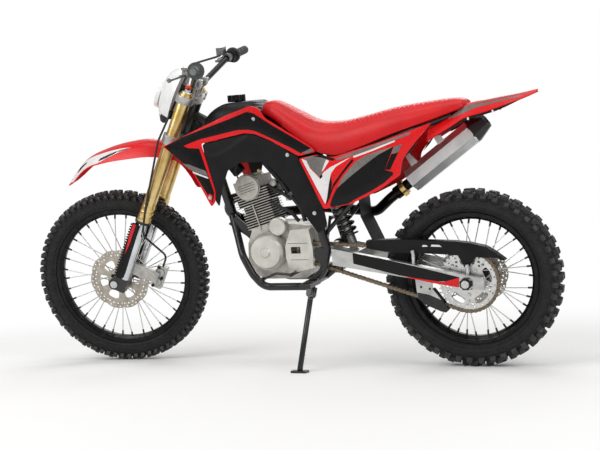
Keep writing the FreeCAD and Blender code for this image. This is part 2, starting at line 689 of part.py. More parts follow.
# Mudguards: strips with a given cross-section at each station along their crown line
FRONT_FENDER_LENGTH = 550.0
FRONT_FENDER_HALF_WIDTH = 84.0
FRONT_FENDER_CROWN = 52.0
FENDER_THICKNESS = 3.5
FENDER_BOSS_RADIUS = 7.0
FENDER_BOSS_SIDE = 30.0
FRONT_FENDER_SHARES = [(-0.88, -0.25, 0.36, 0.30), (-0.72, -0.08, 0.78, 0.55), (-0.56, -0.01, 0.94, 0.80),
                       (-0.37, 0.028, 1.0, 1.0), (-0.19, 0.03, 0.96, 1.0), (-0.03, -0.022, 0.86, 0.85),
                       (0.05, -0.10, 0.78, 0.60), (0.10, -0.21, 0.70, 0.42), (0.13, -0.32, 0.58, 0.30)]


def front_fender():
    """A long beak and a short tail that hang from the lower clamp's underside."""
    anchor = steered(LOWER_CLAMP_BOTTOM)
    places = []
    for along, up, wide, high in FRONT_FENDER_SHARES:
        centre = anchor.add(point(FRONT_FENDER_LENGTH * along, 0, FRONT_FENDER_LENGTH * up))
        places.append((centre, FRONT_FENDER_HALF_WIDTH * wide, FRONT_FENDER_CROWN * high))
    sections = []
    for index, (centre, half_width, crown) in enumerate(places):
        before = places[max(index - 1, 0)][0]
        after = places[min(index + 1, len(places) - 1)][0]
        heading = after.sub(before)
        heading.normalize()
        up = point(-heading.z, 0, heading.x)
        section = crowned_strip_section(centre, up, half_width, crown)
        sections.append(section)
    strip = Part.makeLoft(sections, True, False)
    bosses = []
    for side in (-FENDER_BOSS_SIDE, FENDER_BOSS_SIDE):
        top = steered(LOWER_CLAMP_BOTTOM - FIT_GAP, 0, side)
        bosses.append(rod(top, top.sub(STEERING_AXIS * (FRONT_FENDER_CROWN / 2)), FENDER_BOSS_RADIUS))
    return joined([strip] + bosses)


def crowned_strip_section(centre, up, half_width, crown):
    """A thin arched section across the bike, square to the strip's heading."""
    across = RIGHTWARD * half_width
    drop = up * crown
    below = centre.sub(up * FENDER_THICKNESS)
    outer = Part.Arc(centre.sub(across).sub(drop), centre, centre.add(across).sub(drop))
    right = Part.LineSegment(centre.add(across).sub(drop), below.add(across).sub(drop))
    inner = Part.Arc(below.add(across).sub(drop), below, below.sub(across).sub(drop))
    left = Part.LineSegment(below.sub(across).sub(drop), centre.sub(across).sub(drop))
    return Part.Wire([outer.toShape(), right.toShape(), inner.toShape(), left.toShape()])


# Headlight mask in front of the clamps
MASK_HEIGHT = 215.0
MASK_HALF_WIDTH = 95.0
MASK_DEPTH = 70.0
MASK_THICKNESS = 4.0
MASK_BOTTOM = 655.0
MASK_SHARES = [(0, 0.62, 0.55), (0.30, 0.95, 0.95), (0.62, 1.0, 1.0), (0.88, 0.78, 0.80), (1.0, 0.55, 0.45)]
LAMP_RADIUS = 52.0
LAMP_DEPTH = 14.0
LAMP_UP_SHARE = 0.42
MASK_STRAP_RADIUS = 5.0
MASK_STRAP_UP_SHARE = 0.5
MASK_STRAP_SIDE_SHARE = 0.9
MASK_BACK_SPACE = 12.0


def mask_section(up, half_width, depth, back):
    """A bowed section in the plane square to the steering axis, open to the rear."""
    nose = steered(up, back + depth)
    left = steered(up, back, -half_width)
    right = steered(up, back, half_width)
    outer = Part.Arc(left, nose, right).toShape()
    closing = Part.LineSegment(right, left).toShape()
    return Part.Wire([outer, closing])


def headlight_mask():
    back = FORK_LEG_AHEAD + OUTER_TUBE_RADIUS + CLAMP_WALL + MASK_BACK_SPACE
    outer = []
    inner = []
    for share, wide, deep in MASK_SHARES:
        up = MASK_BOTTOM + MASK_HEIGHT * share
        half_width = MASK_HALF_WIDTH * wide
        depth = MASK_DEPTH * deep
        outer.append(mask_section(up, half_width, depth, back))
        inner.append(mask_section(up, half_width - MASK_THICKNESS, depth - MASK_THICKNESS, back))
    shell = Part.makeLoft(outer, True, True).cut(Part.makeLoft(inner, True, True))
    lamp_up = MASK_BOTTOM + MASK_HEIGHT * LAMP_UP_SHARE
    start = steered(lamp_up, back + MASK_DEPTH - LAMP_DEPTH)
    rim_ring = rod(start, start.add(STEERING_FORWARD * (2 * LAMP_DEPTH)), LAMP_RADIUS)
    hole = rod(start, start.add(STEERING_FORWARD * (2 * LAMP_DEPTH)), LAMP_RADIUS - MASK_THICKNESS)
    bowl = rod(start, start.add(STEERING_FORWARD * LAMP_DEPTH), LAMP_RADIUS - MASK_THICKNESS)
    straps = []
    for side in (-1, 1):
        edge = side * (MASK_HALF_WIDTH * MASK_STRAP_SIDE_SHARE)
        strap_up = MASK_BOTTOM + MASK_HEIGHT * MASK_STRAP_UP_SHARE
        leg = steered(strap_up, FORK_LEG_AHEAD, side * LEG_SIDE)
        far = steered(strap_up, back + MASK_THICKNESS, edge)
        straps.append(rod(leg, far, MASK_STRAP_RADIUS))
    mask = shell.multiFuse([rim_ring]).cut(hole).multiFuse([bowl] + straps)
    tubes = []
    for side in (-LEG_SIDE, LEG_SIDE):
        low = steered(OUTER_TUBE_BOTTOM, FORK_LEG_AHEAD, side)
        high = steered(OUTER_TUBE_TOP, FORK_LEG_AHEAD, side)
        tubes.append(rod(low, high, OUTER_TUBE_RADIUS + FIT_GAP))
    return mask.cut(Part.Compound(tubes))


# Front caliper and its hose
CALIPER_LENGTH = 92.0
CALIPER_DEPTH = 40.0
CALIPER_HALF_WIDTH = 17.0
CALIPER_UP = 78.0
CALIPER_AHEAD = -82.0
PAD_SPACE = 2.0
HOSE_RADIUS = 4.0
HOSE_BEND_RADIUS = 45.0


def front_caliper():
    """Two-piston body that straddles the disc behind the left leg, on a bracket to the slider."""
    centre_side = -FRONT_DISC_LINE - DISC_THICKNESS / 2
    corners = [(CALIPER_AHEAD, -CALIPER_LENGTH / 2), (CALIPER_AHEAD - CALIPER_DEPTH, -CALIPER_LENGTH / 2),
               (CALIPER_AHEAD - CALIPER_DEPTH, CALIPER_LENGTH / 2), (CALIPER_AHEAD, CALIPER_LENGTH / 2)]
    outline = []
    for ahead, up in corners:
        corner = steered(CALIPER_UP + up, ahead)
        outline.append((corner.x, corner.z))
    body = side_prism(outline, centre_side - CALIPER_HALF_WIDTH, centre_side + CALIPER_HALF_WIDTH)
    slot_half = DISC_THICKNESS / 2 + PAD_SPACE
    slot = cross_rod(FRONT_AXLE.x, FRONT_AXLE.z, centre_side - slot_half, centre_side + slot_half,
                     FRONT_DISC_RADIUS + PAD_SPACE)
    arm_side = -LEG_SIDE + SLIDER_RADIUS / 2
    arm_outline = []
    rear = CALIPER_AHEAD - CALIPER_DEPTH / 2
    for up, ahead in ((-CALIPER_LENGTH / 4, FORK_LEG_AHEAD), (-CALIPER_LENGTH / 4, rear),
                      (CALIPER_LENGTH / 4, rear), (CALIPER_LENGTH / 4, FORK_LEG_AHEAD)):
        corner = steered(CALIPER_UP + up, ahead)
        arm_outline.append((corner.x, corner.z))
    arm = side_prism(arm_outline, arm_side - PAD_SPACE, centre_side - CALIPER_HALF_WIDTH + PAD_SPACE)
    leg = rod(steered(LUG_TOP, FORK_LEG_AHEAD, -LEG_SIDE),
              steered(OUTER_TUBE_BOTTOM, FORK_LEG_AHEAD, -LEG_SIDE), SLIDER_RADIUS + FIT_GAP)
    caliper = joined([body, arm]).cut(leg)
    return caliper.cut(slot)


def brake_hose():
    """The front hose, from the master cylinder down past the clamps to the caliper."""
    perch = on_bar(GRIP_LENGTH + SWITCH_BODY_WIDTH + PERCH_WIDTH / 2)[0]
    tank = mirrored(Part.Vertex(perch.add(STEERING_FORWARD * MASTER_AHEAD))).Point
    start = tank.sub(RIGHTWARD * (MASTER_LENGTH / 2 + FIT_GAP))
    before_clamps = FORK_LEG_AHEAD + OUTER_TUBE_RADIUS + CLAMP_WALL + HOSE_RADIUS + PAD_SPACE
    outside_leg = -LEG_SIDE - DUST_SEAL_RADIUS - HOSE_RADIUS - PAD_SPACE
    caliper_top = CALIPER_UP + CALIPER_LENGTH / 2
    end_side = -FRONT_DISC_LINE - DISC_THICKNESS / 2 - CALIPER_HALF_WIDTH / 2
    route = [start, start.sub(RIGHTWARD * HOSE_BEND_RADIUS),
             steered(BAR_CLAMP_UP + HOSE_BEND_RADIUS, before_clamps + BAR_RADIUS, LEG_SIDE / 2),
             steered(TOP_CLAMP_BOTTOM, before_clamps, -LEG_SIDE / 2),
             steered(LOWER_CLAMP_BOTTOM, before_clamps, outside_leg + CLAMP_WALL),
             steered(OUTER_TUBE_BOTTOM + HOSE_BEND_RADIUS, FORK_LEG_AHEAD, outside_leg),
             steered(OUTER_TUBE_BOTTOM - HOSE_BEND_RADIUS, 0, outside_leg),
             steered(caliper_top + HOSE_BEND_RADIUS, CALIPER_AHEAD - CALIPER_DEPTH / 2, end_side),
             steered(caliper_top, CALIPER_AHEAD - CALIPER_DEPTH / 2, end_side)]
    return bent_tube(route, HOSE_RADIUS, HOSE_BEND_RADIUS)


# Frame: steel tubes
BACKBONE_RADIUS = 20.0
DOWNTUBE_RADIUS = 18.0
CRADLE_RADIUS = 14.0
CRADLE_HALF_WIDTH = 104.0
SPAR_RADIUS = 15.0
SPAR_HALF_WIDTH = 102.0
CRADLE_FLOOR = 314.0
FRAME_BEND_RADIUS = 75.0
PIVOT_X = -530.0
PIVOT_Z = 432.0
PIVOT_BOLT_RADIUS = 9.0
PIVOT_BOSS_RADIUS = 27.0
BACKBONE_SPLIT_X = -720.0
BACKBONE_SPLIT_Z = 808.0
DOWNTUBE_TOP_X = -1010.0
DOWNTUBE_TOP_Z = 928.0
GUSSET_SHARE = 0.18
DOWNTUBE_FOOT_X = -915.0
DOWNTUBE_FOOT_Z = 560.0
CRADLE_FRONT_X = -770.0
CRADLE_REAR_X = -600.0
BRACKET_THICKNESS = 6.0
BRACKET_HALF_WIDTH = 30.0
BACKBONE_BEND_X = -900.0
BACKBONE_BEND_Z = 884.0
CRADLE_BENDS = [(-885.0, 0.45, 500.0), (-850.0, 0.92, 432.0), (-812.0, 1.0, 362.0)]
SPAR_BENDS = [(-610.0, 730.0), (-545.0, 590.0), (-508.0, 450.0), (-530.0, 366.0)]
SPAR_SPLIT_SHARE = 0.12
MOUNT_BRACKET_OUTLINE = [(-925.0, 545.0), (-890.0, 575.0), (-828.0, 520.0), (-828.0, 480.0)]
MOUNT_TIE_X = -880.0
MOUNT_TIE_Z = 540.0


def backbone_points():
    return [steered(TOP_CLAMP_BOTTOM - HEAD_TUBE_RADIUS * 2), point(BACKBONE_BEND_X, 0, BACKBONE_BEND_Z),
            point(BACKBONE_SPLIT_X, 0, BACKBONE_SPLIT_Z)]


def head_and_backbone():
    low = steered(LOWER_CLAMP_BOTTOM + LOWER_CLAMP_THICKNESS + STEM_PLAY)
    high = steered(TOP_CLAMP_BOTTOM - STEM_PLAY)
    head = rod(low, high, HEAD_TUBE_RADIUS)
    spine = bent_tube(backbone_points(), BACKBONE_RADIUS, FRAME_BEND_RADIUS)
    top = point(DOWNTUBE_TOP_X, 0, DOWNTUBE_TOP_Z)
    foot = point(DOWNTUBE_FOOT_X, 0, DOWNTUBE_FOOT_Z)
    down = rod(top, foot, DOWNTUBE_RADIUS)
    plate_low = low.add(STEERING_AXIS * BRACKET_THICKNESS)
    plate_foot = top.add(foot.sub(top) * GUSSET_SHARE)
    plate = side_prism([(plate_low.x, plate_low.z), (high.x, high.z), (top.x, top.z),
                        (plate_foot.x, plate_foot.z)], -BRACKET_THICKNESS / 2, BRACKET_THICKNESS / 2)
    bore = rod(low, high, STEM_RADIUS + STEM_PLAY)
    return joined([head, spine, down, plate]).cut(bore)


def cradle_side():
    """One lower tube, from the downtube's foot round below the engine to the rear spar."""
    side = -CRADLE_HALF_WIDTH
    route = [point(DOWNTUBE_FOOT_X, -CRADLE_RADIUS, DOWNTUBE_FOOT_Z + CRADLE_RADIUS)]
    route += [point(x, side * side_share, z) for x, side_share, z in CRADLE_BENDS]
    route += [point(CRADLE_FRONT_X, side, CRADLE_FLOOR), point(CRADLE_REAR_X, side, CRADLE_FLOOR)]
    return bent_tube(route, CRADLE_RADIUS, FRAME_BEND_RADIUS)


def spar_points():
    side = -SPAR_HALF_WIDTH
    places = [point(BACKBONE_SPLIT_X, side * SPAR_SPLIT_SHARE, BACKBONE_SPLIT_Z)]
    places += [point(x, side, z) for x, z in SPAR_BENDS]
    return places + [point(CRADLE_REAR_X, side, CRADLE_FLOOR)]


def engine_cradle():
    left = cradle_side()
    bracket = side_prism(MOUNT_BRACKET_OUTLINE, -BRACKET_HALF_WIDTH - BRACKET_THICKNESS, -BRACKET_HALF_WIDTH)
    shapes = [left, mirrored(left), bracket, mirrored(bracket)]
    shapes.append(cross_rod(MOUNT_TIE_X, MOUNT_TIE_Z, -BRACKET_HALF_WIDTH, BRACKET_HALF_WIDTH,
                            CRADLE_RADIUS / 2))
    shapes.append(cross_rod(CRADLE_REAR_X, CRADLE_FLOOR, -CRADLE_HALF_WIDTH, CRADLE_HALF_WIDTH,
                            CRADLE_RADIUS))
    shapes.append(block(point(CRADLE_REAR_X - CRADLE_RADIUS, -BRACKET_HALF_WIDTH, CRADLE_FLOOR),
                        point(CRADLE_REAR_X + CRADLE_RADIUS / 2, BRACKET_HALF_WIDTH,
                              CASE_FLOOR + CRADLE_RADIUS)))
    return joined(shapes)


def rear_spars():
    """Two spars from the backbone down behind the engine, with the swingarm's pivot bolt."""
    left = bent_tube(spar_points(), SPAR_RADIUS, FRAME_BEND_RADIUS)
    half = SPAR_HALF_WIDTH + SPAR_RADIUS
    boss = cross_rod(PIVOT_X, PIVOT_Z, -half, -half + 2 * SPAR_RADIUS, PIVOT_BOSS_RADIUS)
    bolt = cross_rod(PIVOT_X, PIVOT_Z, -half, half, PIVOT_BOLT_RADIUS)
    shapes = [left, mirrored(left), boss, mirrored(boss), bolt]
    cross_x, cross_z = SPAR_BENDS[0]
    shapes.append(cross_rod(cross_x, cross_z, -SPAR_HALF_WIDTH, SPAR_HALF_WIDTH, SPAR_RADIUS))
    return joined(shapes)


# Seat and the rails that carry it
SEAT_FRONT_X = -742.0
SEAT_LENGTH = 760.0
SEAT_SPAN_Z = 205.0
SEAT_LOW_Z = 792.0
SEAT_HALF_WIDTH = 108.0
SEAT_SHARES = [(0.0, 0.80, 0.99, 0.42), (0.06, 0.71, 1.0, 0.66), (0.16, 0.44, 0.81, 0.84),
               (0.27, 0.12, 0.60, 0.95), (0.385, 0.0, 0.56, 1.0), (0.50, 0.105, 0.62, 1.0),
               (0.66, 0.30, 0.735, 0.98), (0.82, 0.47, 0.80, 0.88), (0.95, 0.62, 0.825, 0.74),
               (1.0, 0.675, 0.79, 0.62)]
SEAT_TOP_SHARE = 0.80
SEAT_EDGE_SHARE = 0.16
RAIL_RADIUS = 10.0
RAIL_HALF_WIDTH = 84.0
RAIL_TAIL_HALF_WIDTH = 52.0
RAIL_SPACE = 2.0
RAIL_FRONT_SHARE = 0.9
RAIL_FRONT_X = -585.0
RAIL_FRONT_Z = 712.0
RAIL_DIP_X = -445.0
RAIL_DIP_Z = 800.0
RAIL_BRACE_X = -160.0
RAIL_TAIL_X = -30.0
BRACE_RADIUS = 8.0
BRACE_START_X = -520.0
BRACE_START_Z = 500.0
MUFFLER_STAY_SHARES = (0.80, 0.30)


def seat_place(share_x, share_z):
    return SEAT_FRONT_X + SEAT_LENGTH * share_x, SEAT_LOW_Z + SEAT_SPAN_Z * share_z


def seat():
    """Foam saddle: flat base, sides that lean in and an arched top, lofted along the bike."""
    sections = []
    for along, base, top, wide in SEAT_SHARES:
        x, z_base = seat_place(along, base)
        z_top = seat_place(along, top)[1]
        half = SEAT_HALF_WIDTH * wide
        shoulder = half * SEAT_TOP_SHARE
        edge = z_top - (z_top - z_base) * SEAT_EDGE_SHARE
        arc = Part.Arc(point(x, shoulder, edge), point(x, 0, z_top), point(x, -shoulder, edge))
        corners = [point(x, -shoulder, edge), point(x, -half, z_base), point(x, half, z_base),
                   point(x, shoulder, edge)]
        edges = [arc.toShape()]
        for start, end in zip(corners[:-1], corners[1:]):
            edges.append(Part.LineSegment(start, end).toShape())
        sections.append(Part.Wire(edges))
    return Part.makeLoft(sections, True, True)


def seat_base_z(x):
    """Height of the seat's flat base at one place along the bike."""
    share = (x - SEAT_FRONT_X) / SEAT_LENGTH
    for before, after in zip(SEAT_SHARES[:-1], SEAT_SHARES[1:]):
        if share <= after[0]:
            part = (share - before[0]) / (after[0] - before[0])
            return seat_place(0, before[1] + (after[1] - before[1]) * part)[1]
    return seat_place(0, SEAT_SHARES[-1][1])[1]


def rail_points():
    """Bends of the left rail: up from the spar, then just below the seat's base to the tail."""
    places = [point(RAIL_FRONT_X, -SPAR_HALF_WIDTH * RAIL_FRONT_SHARE, RAIL_FRONT_Z)]
    for x, side in ((RAIL_DIP_X, RAIL_HALF_WIDTH), (RAIL_BRACE_X, RAIL_HALF_WIDTH),
                    (RAIL_TAIL_X, RAIL_TAIL_HALF_WIDTH)):
        below_seat = min(seat_base_z(x), RAIL_DIP_Z + abs(x - RAIL_DIP_X))
        places.append(point(x, -side, below_seat - RAIL_RADIUS - RAIL_SPACE))
    return places


def subframe():
    """Seat rails, their lower braces and two cross tubes."""
    rail = bent_tube(rail_points(), RAIL_RADIUS, FRAME_BEND_RADIUS)
    brace = rod(brace_start(), rail_points()[2], BRACE_RADIUS)
    shapes = [rail, mirrored(rail), brace, mirrored(brace)]
    for place in rail_points()[1:3]:
        shapes.append(rod(place, mirrored(Part.Vertex(place)).Point, BRACE_RADIUS))
    stays = (brace_end(MUFFLER_STAY_SHARES[0]), rail_end(MUFFLER_STAY_SHARES[1]))
    for share, place in zip(MUFFLER_TAB_SHARES, stays):
        shapes.append(muffler_lug(place, muffler_tab_hole(share)))
    return joined(shapes)


def muffler_lug(start, hole):
    """A short arm from the subframe to the outer face of one of the muffler's hanger tabs."""
    face = hole.y + MUFFLER_TAB_THICKNESS / 2
    reach = point(OVERRUN, 0, OVERRUN)
    beyond = block(hole.sub(reach).sub(RIGHTWARD * OVERRUN), point(hole.x + OVERRUN, face, hole.z + OVERRUN))
    return rod(start, hole, MUFFLER_LUG_RADIUS).cut(beyond)


def brace_start():
    return point(BRACE_START_X, -SPAR_HALF_WIDTH + SPAR_RADIUS, BRACE_START_Z)


def brace_end(share):
    """A point on the right brace, as a share of the way up it."""
    place = brace_start().add(rail_points()[2].sub(brace_start()) * share)
    return point(place.x, -place.y, place.z)


def rail_end(share):
    """A point on the last straight run of the right rail."""
    place = rail_points()[2].add(rail_points()[3].sub(rail_points()[2]) * share)
    return point(place.x, -place.y, place.z)


# Swingarm, rear axle, shock and rear brake
ARM_HALF_WIDTH = 103.0
ARM_WIDTH = 26.0
ARM_FRONT_DEPTH = 62.0
ARM_REAR_DEPTH = 42.0
ARM_REAR_X = 62.0
ARM_AXLE_DROP = 4.0
PIVOT_TUBE_RADIUS = 22.0
PIVOT_PLAY = 1.0
ARM_BRIDGE_X = -425.0
ARM_BRIDGE_LENGTH = 46.0
AXLE_SLOT_LENGTH = 46.0
ADJUSTER_LENGTH = 34.0
STAND_HOLE_RADIUS = 4.0
STAND_HOLE_DEPTH = 16.0
STAND_HOLE_X = -70.0
ARM_WEB_THICKNESS = 10.0
ARM_LINK_HALF_WIDTH = 20.0
ADJUSTER_LOW_SHARE = 0.45
ADJUSTER_HIGH_SHARE = 0.35
SPACER_PLAY = 1.0


def arm_outline():
    top_front = PIVOT_Z + ARM_FRONT_DEPTH / 2
    low_front = PIVOT_Z - ARM_FRONT_DEPTH / 2
    rear_mid = REAR_AXLE.z - ARM_AXLE_DROP
    return [(PIVOT_X, top_front), (ARM_REAR_X, rear_mid + ARM_REAR_DEPTH / 2),
            (ARM_REAR_X, rear_mid - ARM_REAR_DEPTH / 2), (PIVOT_X, low_front)]


def arm_height(x):
    """Middle height of the swingarm beam at one place along the bike."""
    share = (x - PIVOT_X) / (ARM_REAR_X - PIVOT_X)
    return PIVOT_Z + (REAR_AXLE.z - ARM_AXLE_DROP - PIVOT_Z) * share


def arm_top(x):
    share = (x - PIVOT_X) / (ARM_REAR_X - PIVOT_X)
    return arm_height(x) + (ARM_FRONT_DEPTH + (ARM_REAR_DEPTH - ARM_FRONT_DEPTH) * share) / 2


def swingarm():
    """Two tapered box beams, a pivot tube and a bridge behind it, bored and slotted."""
    outer = -ARM_HALF_WIDTH - ARM_WIDTH / 2
    inner = -ARM_HALF_WIDTH + ARM_WIDTH / 2
    nose_x = PIVOT_X + PIVOT_BOSS_RADIUS + SPAR_RADIUS
    beam = side_prism(arm_outline(), outer, inner)
    room = block(point(PIVOT_X - OVERRUN, outer - OVERRUN, 0), point(nose_x, -SPAR_HALF_WIDTH + SPAR_RADIUS
                 + RUNNING_GAP / 2, REAR_TYRE_RADIUS * 2))
    beam = beam.cut(room)
    tube_half = SPAR_HALF_WIDTH - SPAR_RADIUS - PIVOT_PLAY
    tube = cross_rod(PIVOT_X, PIVOT_Z, -tube_half, tube_half, PIVOT_TUBE_RADIUS)
    web_low = [(PIVOT_X, PIVOT_Z - PIVOT_TUBE_RADIUS), (PIVOT_X, PIVOT_Z + PIVOT_TUBE_RADIUS)]
    web_x = ARM_BRIDGE_X - ARM_BRIDGE_LENGTH / 2
    web = side_prism(web_low + [(web_x, arm_height(web_x) + PIVOT_TUBE_RADIUS),
                                (web_x, arm_height(web_x) - PIVOT_TUBE_RADIUS)],
                     -tube_half, -tube_half + ARM_WEB_THICKNESS)
    bridge_z = arm_height(ARM_BRIDGE_X)
    bridge = block(point(ARM_BRIDGE_X - ARM_BRIDGE_LENGTH / 2, -ARM_HALF_WIDTH, bridge_z - PIVOT_TUBE_RADIUS),
                   point(ARM_BRIDGE_X + ARM_BRIDGE_LENGTH / 2, ARM_HALF_WIDTH, bridge_z + PIVOT_TUBE_RADIUS))
    link = side_prism([(PIVOT_X, PIVOT_Z + PIVOT_TUBE_RADIUS), (PIVOT_X, PIVOT_Z - PIVOT_TUBE_RADIUS),
                       (ARM_BRIDGE_X, bridge_z - PIVOT_TUBE_RADIUS),
                       (ARM_BRIDGE_X, bridge_z + PIVOT_TUBE_RADIUS)],
                      -ARM_LINK_HALF_WIDTH, ARM_LINK_HALF_WIDTH)
    arm = joined([beam, mirrored(beam), tube, bridge, link])
    slot_half = AXLE_SLOT_LENGTH / 2
    wide = ARM_HALF_WIDTH + ARM_WIDTH
    slot = block(point(-slot_half, -wide, REAR_AXLE.z - REAR_AXLE_RADIUS - FIT_GAP),
                 point(slot_half, wide, REAR_AXLE.z + REAR_AXLE_RADIUS + FIT_GAP))
    bore = cross_rod(PIVOT_X, PIVOT_Z, -wide, wide, PIVOT_BOLT_RADIUS + FIT_GAP)
    holes = []
    hole_z = arm_height(STAND_HOLE_X)
    for low in (outer, -outer - STAND_HOLE_DEPTH):
        holes.append(cross_rod(STAND_HOLE_X, hole_z, low, low + STAND_HOLE_DEPTH, STAND_HOLE_RADIUS))
    chain_space = chain_room()
    return arm.cut(Part.Compound([slot, bore] + holes)).cut(chain_space)


def chain_room():
    """The space that the chain runs through, for what it passes."""
    half = CHAIN_INNER_WIDTH / 2 + CHAIN_PLATE_THICKNESS + RUNNING_GAP / 2
    low = -CHAIN_LINE - half
    outer = Part.Face(loop_wire(low, CHAIN_PLATE_DEPTH / 2 + RUNNING_GAP)[0])
    inner = Part.Face(loop_wire(low, -CHAIN_PLATE_DEPTH / 2 - RUNNING_GAP)[0])
    return outer.cut(inner).extrude(RIGHTWARD * (2 * half))


def rear_axle():
    """Axle, nuts, adjuster blocks outside the arms, and the spacers between arms and hub."""
    outer = ARM_HALF_WIDTH + ARM_WIDTH / 2
    inner = ARM_HALF_WIDTH - ARM_WIDTH / 2
    reach = outer + AXLE_NUT_LENGTH * 2
    shaft = cross_rod(REAR_AXLE.x, REAR_AXLE.z, -reach, reach, REAR_AXLE_RADIUS)
    shapes = [shaft]
    for hand in (-1, 1):
        low = outer + FIT_GAP
        high = low + AXLE_NUT_LENGTH
        sides = sorted((hand * low, hand * high))
        bottom = REAR_AXLE.z - ARM_REAR_DEPTH * ADJUSTER_LOW_SHARE
        top = REAR_AXLE.z + ARM_REAR_DEPTH * ADJUSTER_HIGH_SHARE
        shapes.append(block(point(-ADJUSTER_LENGTH / 2, sides[0], bottom),
                            point(ADJUSTER_LENGTH / 2, sides[1], top)))
        sides = sorted((hand * high, hand * reach))
        shapes.append(cross_rod(REAR_AXLE.x, REAR_AXLE.z, sides[0], sides[1], AXLE_NUT_RADIUS))
        sides = sorted((hand * (rear_carrier(hand) + SPACER_PLAY), hand * (inner - FIT_GAP)))
        shapes.append(cross_rod(REAR_AXLE.x, REAR_AXLE.z, sides[0], sides[1], AXLE_NUT_RADIUS))
    return joined(shapes)


def rear_carrier(hand):
    """Outer face of the rear hub on one side: sprocket seat at the left, disc seat at the right."""
    if hand < 0:
        return CHAIN_LINE - SPROCKET_THICKNESS / 2
    return REAR_DISC_LINE


SHOCK_BODY_RADIUS = 16.8
SHOCK_SPRING_RADIUS = 33.0
SHOCK_WIRE_RADIUS = 6.0
SHOCK_TOP_X = -520.0
SHOCK_TOP_Z = 700.0
SHOCK_LOW_X = -440.0
SHOCK_LOW_Z = 446.0
SHOCK_COILS = 7
SHOCK_EYE_RADIUS = 14.0
SHOCK_EYE_WIDTH = 30.0
SPRING_START_SHARE = 0.22
SPRING_LENGTH_SHARE = 0.62


def shock():
    """Damper body with its coil spring between two collars, and an eye at each end."""
    top = point(SHOCK_TOP_X, 0, SHOCK_TOP_Z)
    low = point(SHOCK_LOW_X, 0, SHOCK_LOW_Z)
    run = low.sub(top)
    along = point(run.x, run.y, run.z)
    along.normalize()
    body = rod(top, low, SHOCK_BODY_RADIUS)
    shapes = [body]
    spring_start = run.Length * SPRING_START_SHARE
    spring_length = run.Length * SPRING_LENGTH_SHARE
    coil_height = spring_length - 2 * SHOCK_WIRE_RADIUS
    coil_radius = SHOCK_SPRING_RADIUS - SHOCK_WIRE_RADIUS
    path = Part.makeHelix(coil_height / SHOCK_COILS, coil_height, coil_radius)
    ring = Part.Wire(Part.makeCircle(SHOCK_WIRE_RADIUS, point(coil_radius, 0, 0), RIGHTWARD))
    coil = path.makePipeShell([ring], True, True)
    coil.Placement = FreeCAD.Placement(top.add(along * (spring_start + SHOCK_WIRE_RADIUS)),
                                       FreeCAD.Rotation(UPWARD, along))
    shapes.append(coil)
    for share in (-1.0, 1.0):
        middle = spring_start + spring_length / 2 + share * spring_length / 2
        place = top.add(along * (middle - SHOCK_WIRE_RADIUS / 2))
        shapes.append(rod(place, place.add(along * SHOCK_WIRE_RADIUS), SHOCK_SPRING_RADIUS))
    for eye in (top, low):
        shapes.append(cross_rod(eye.x, eye.z, -SHOCK_EYE_WIDTH / 2, SHOCK_EYE_WIDTH / 2, SHOCK_EYE_RADIUS))
    return shapes[0].multiFuse(shapes[1:])


REAR_CALIPER_AHEAD_SHARE = 0.80
REAR_CALIPER_UP_SHARE = 0.60
REAR_CALIPER_FRONT = 38.0
REAR_CALIPER_BACK = 30.0
REAR_CALIPER_HALF_WIDTH = 15.0
REAR_CALIPER_BELOW = 20.0
REAR_CALIPER_ABOVE = 26.0
REAR_CALIPER_TILT_ANGLE = -35.0
REAR_PLATE_THICKNESS = 8.0
REAR_PLATE_SPACE = 3.0
REAR_PLATE_HEAD = [(-10.0, 12.0), (24.0, 8.0)]
REAR_PLATE_FOOT = [(16.0, -12.0), (-20.0, -20.0)]


def rear_caliper():
    """Single-piston body over the rear disc's top front, on a bracket round the axle."""
    centre_side = REAR_DISC_LINE + DISC_THICKNESS / 2
    reach = REAR_DISC_RADIUS - DISC_BAND_WIDTH / 2
    x = REAR_AXLE.x - reach * REAR_CALIPER_AHEAD_SHARE
    z = REAR_AXLE.z + reach * REAR_CALIPER_UP_SHARE
    low = point(x - REAR_CALIPER_FRONT, centre_side - REAR_CALIPER_HALF_WIDTH, z - REAR_CALIPER_BELOW)
    high = point(x + REAR_CALIPER_BACK, centre_side + REAR_CALIPER_HALF_WIDTH, z + REAR_CALIPER_ABOVE)
    body = block(low, high)
    body.rotate(point(x, 0, z), RIGHTWARD, REAR_CALIPER_TILT_ANGLE)
    slot_half = DISC_THICKNESS / 2 + PAD_SPACE
    slot = cross_rod(REAR_AXLE.x, REAR_AXLE.z, centre_side - slot_half, centre_side + slot_half,
                     REAR_DISC_RADIUS + PAD_SPACE)
    plate_low = centre_side + DISC_THICKNESS / 2 + REAR_PLATE_SPACE
    outline = [(x + along, z + up) for along, up in REAR_PLATE_HEAD]
    outline += [(REAR_AXLE.x + along, REAR_AXLE.z + up) for along, up in REAR_PLATE_FOOT]
    bracket = side_prism(outline, plate_low, plate_low + REAR_PLATE_THICKNESS)
    bore = cross_rod(REAR_AXLE.x, REAR_AXLE.z, 0, ARM_HALF_WIDTH, AXLE_NUT_RADIUS + FIT_GAP)
    return joined([body, bracket]).cut(slot).cut(bore)


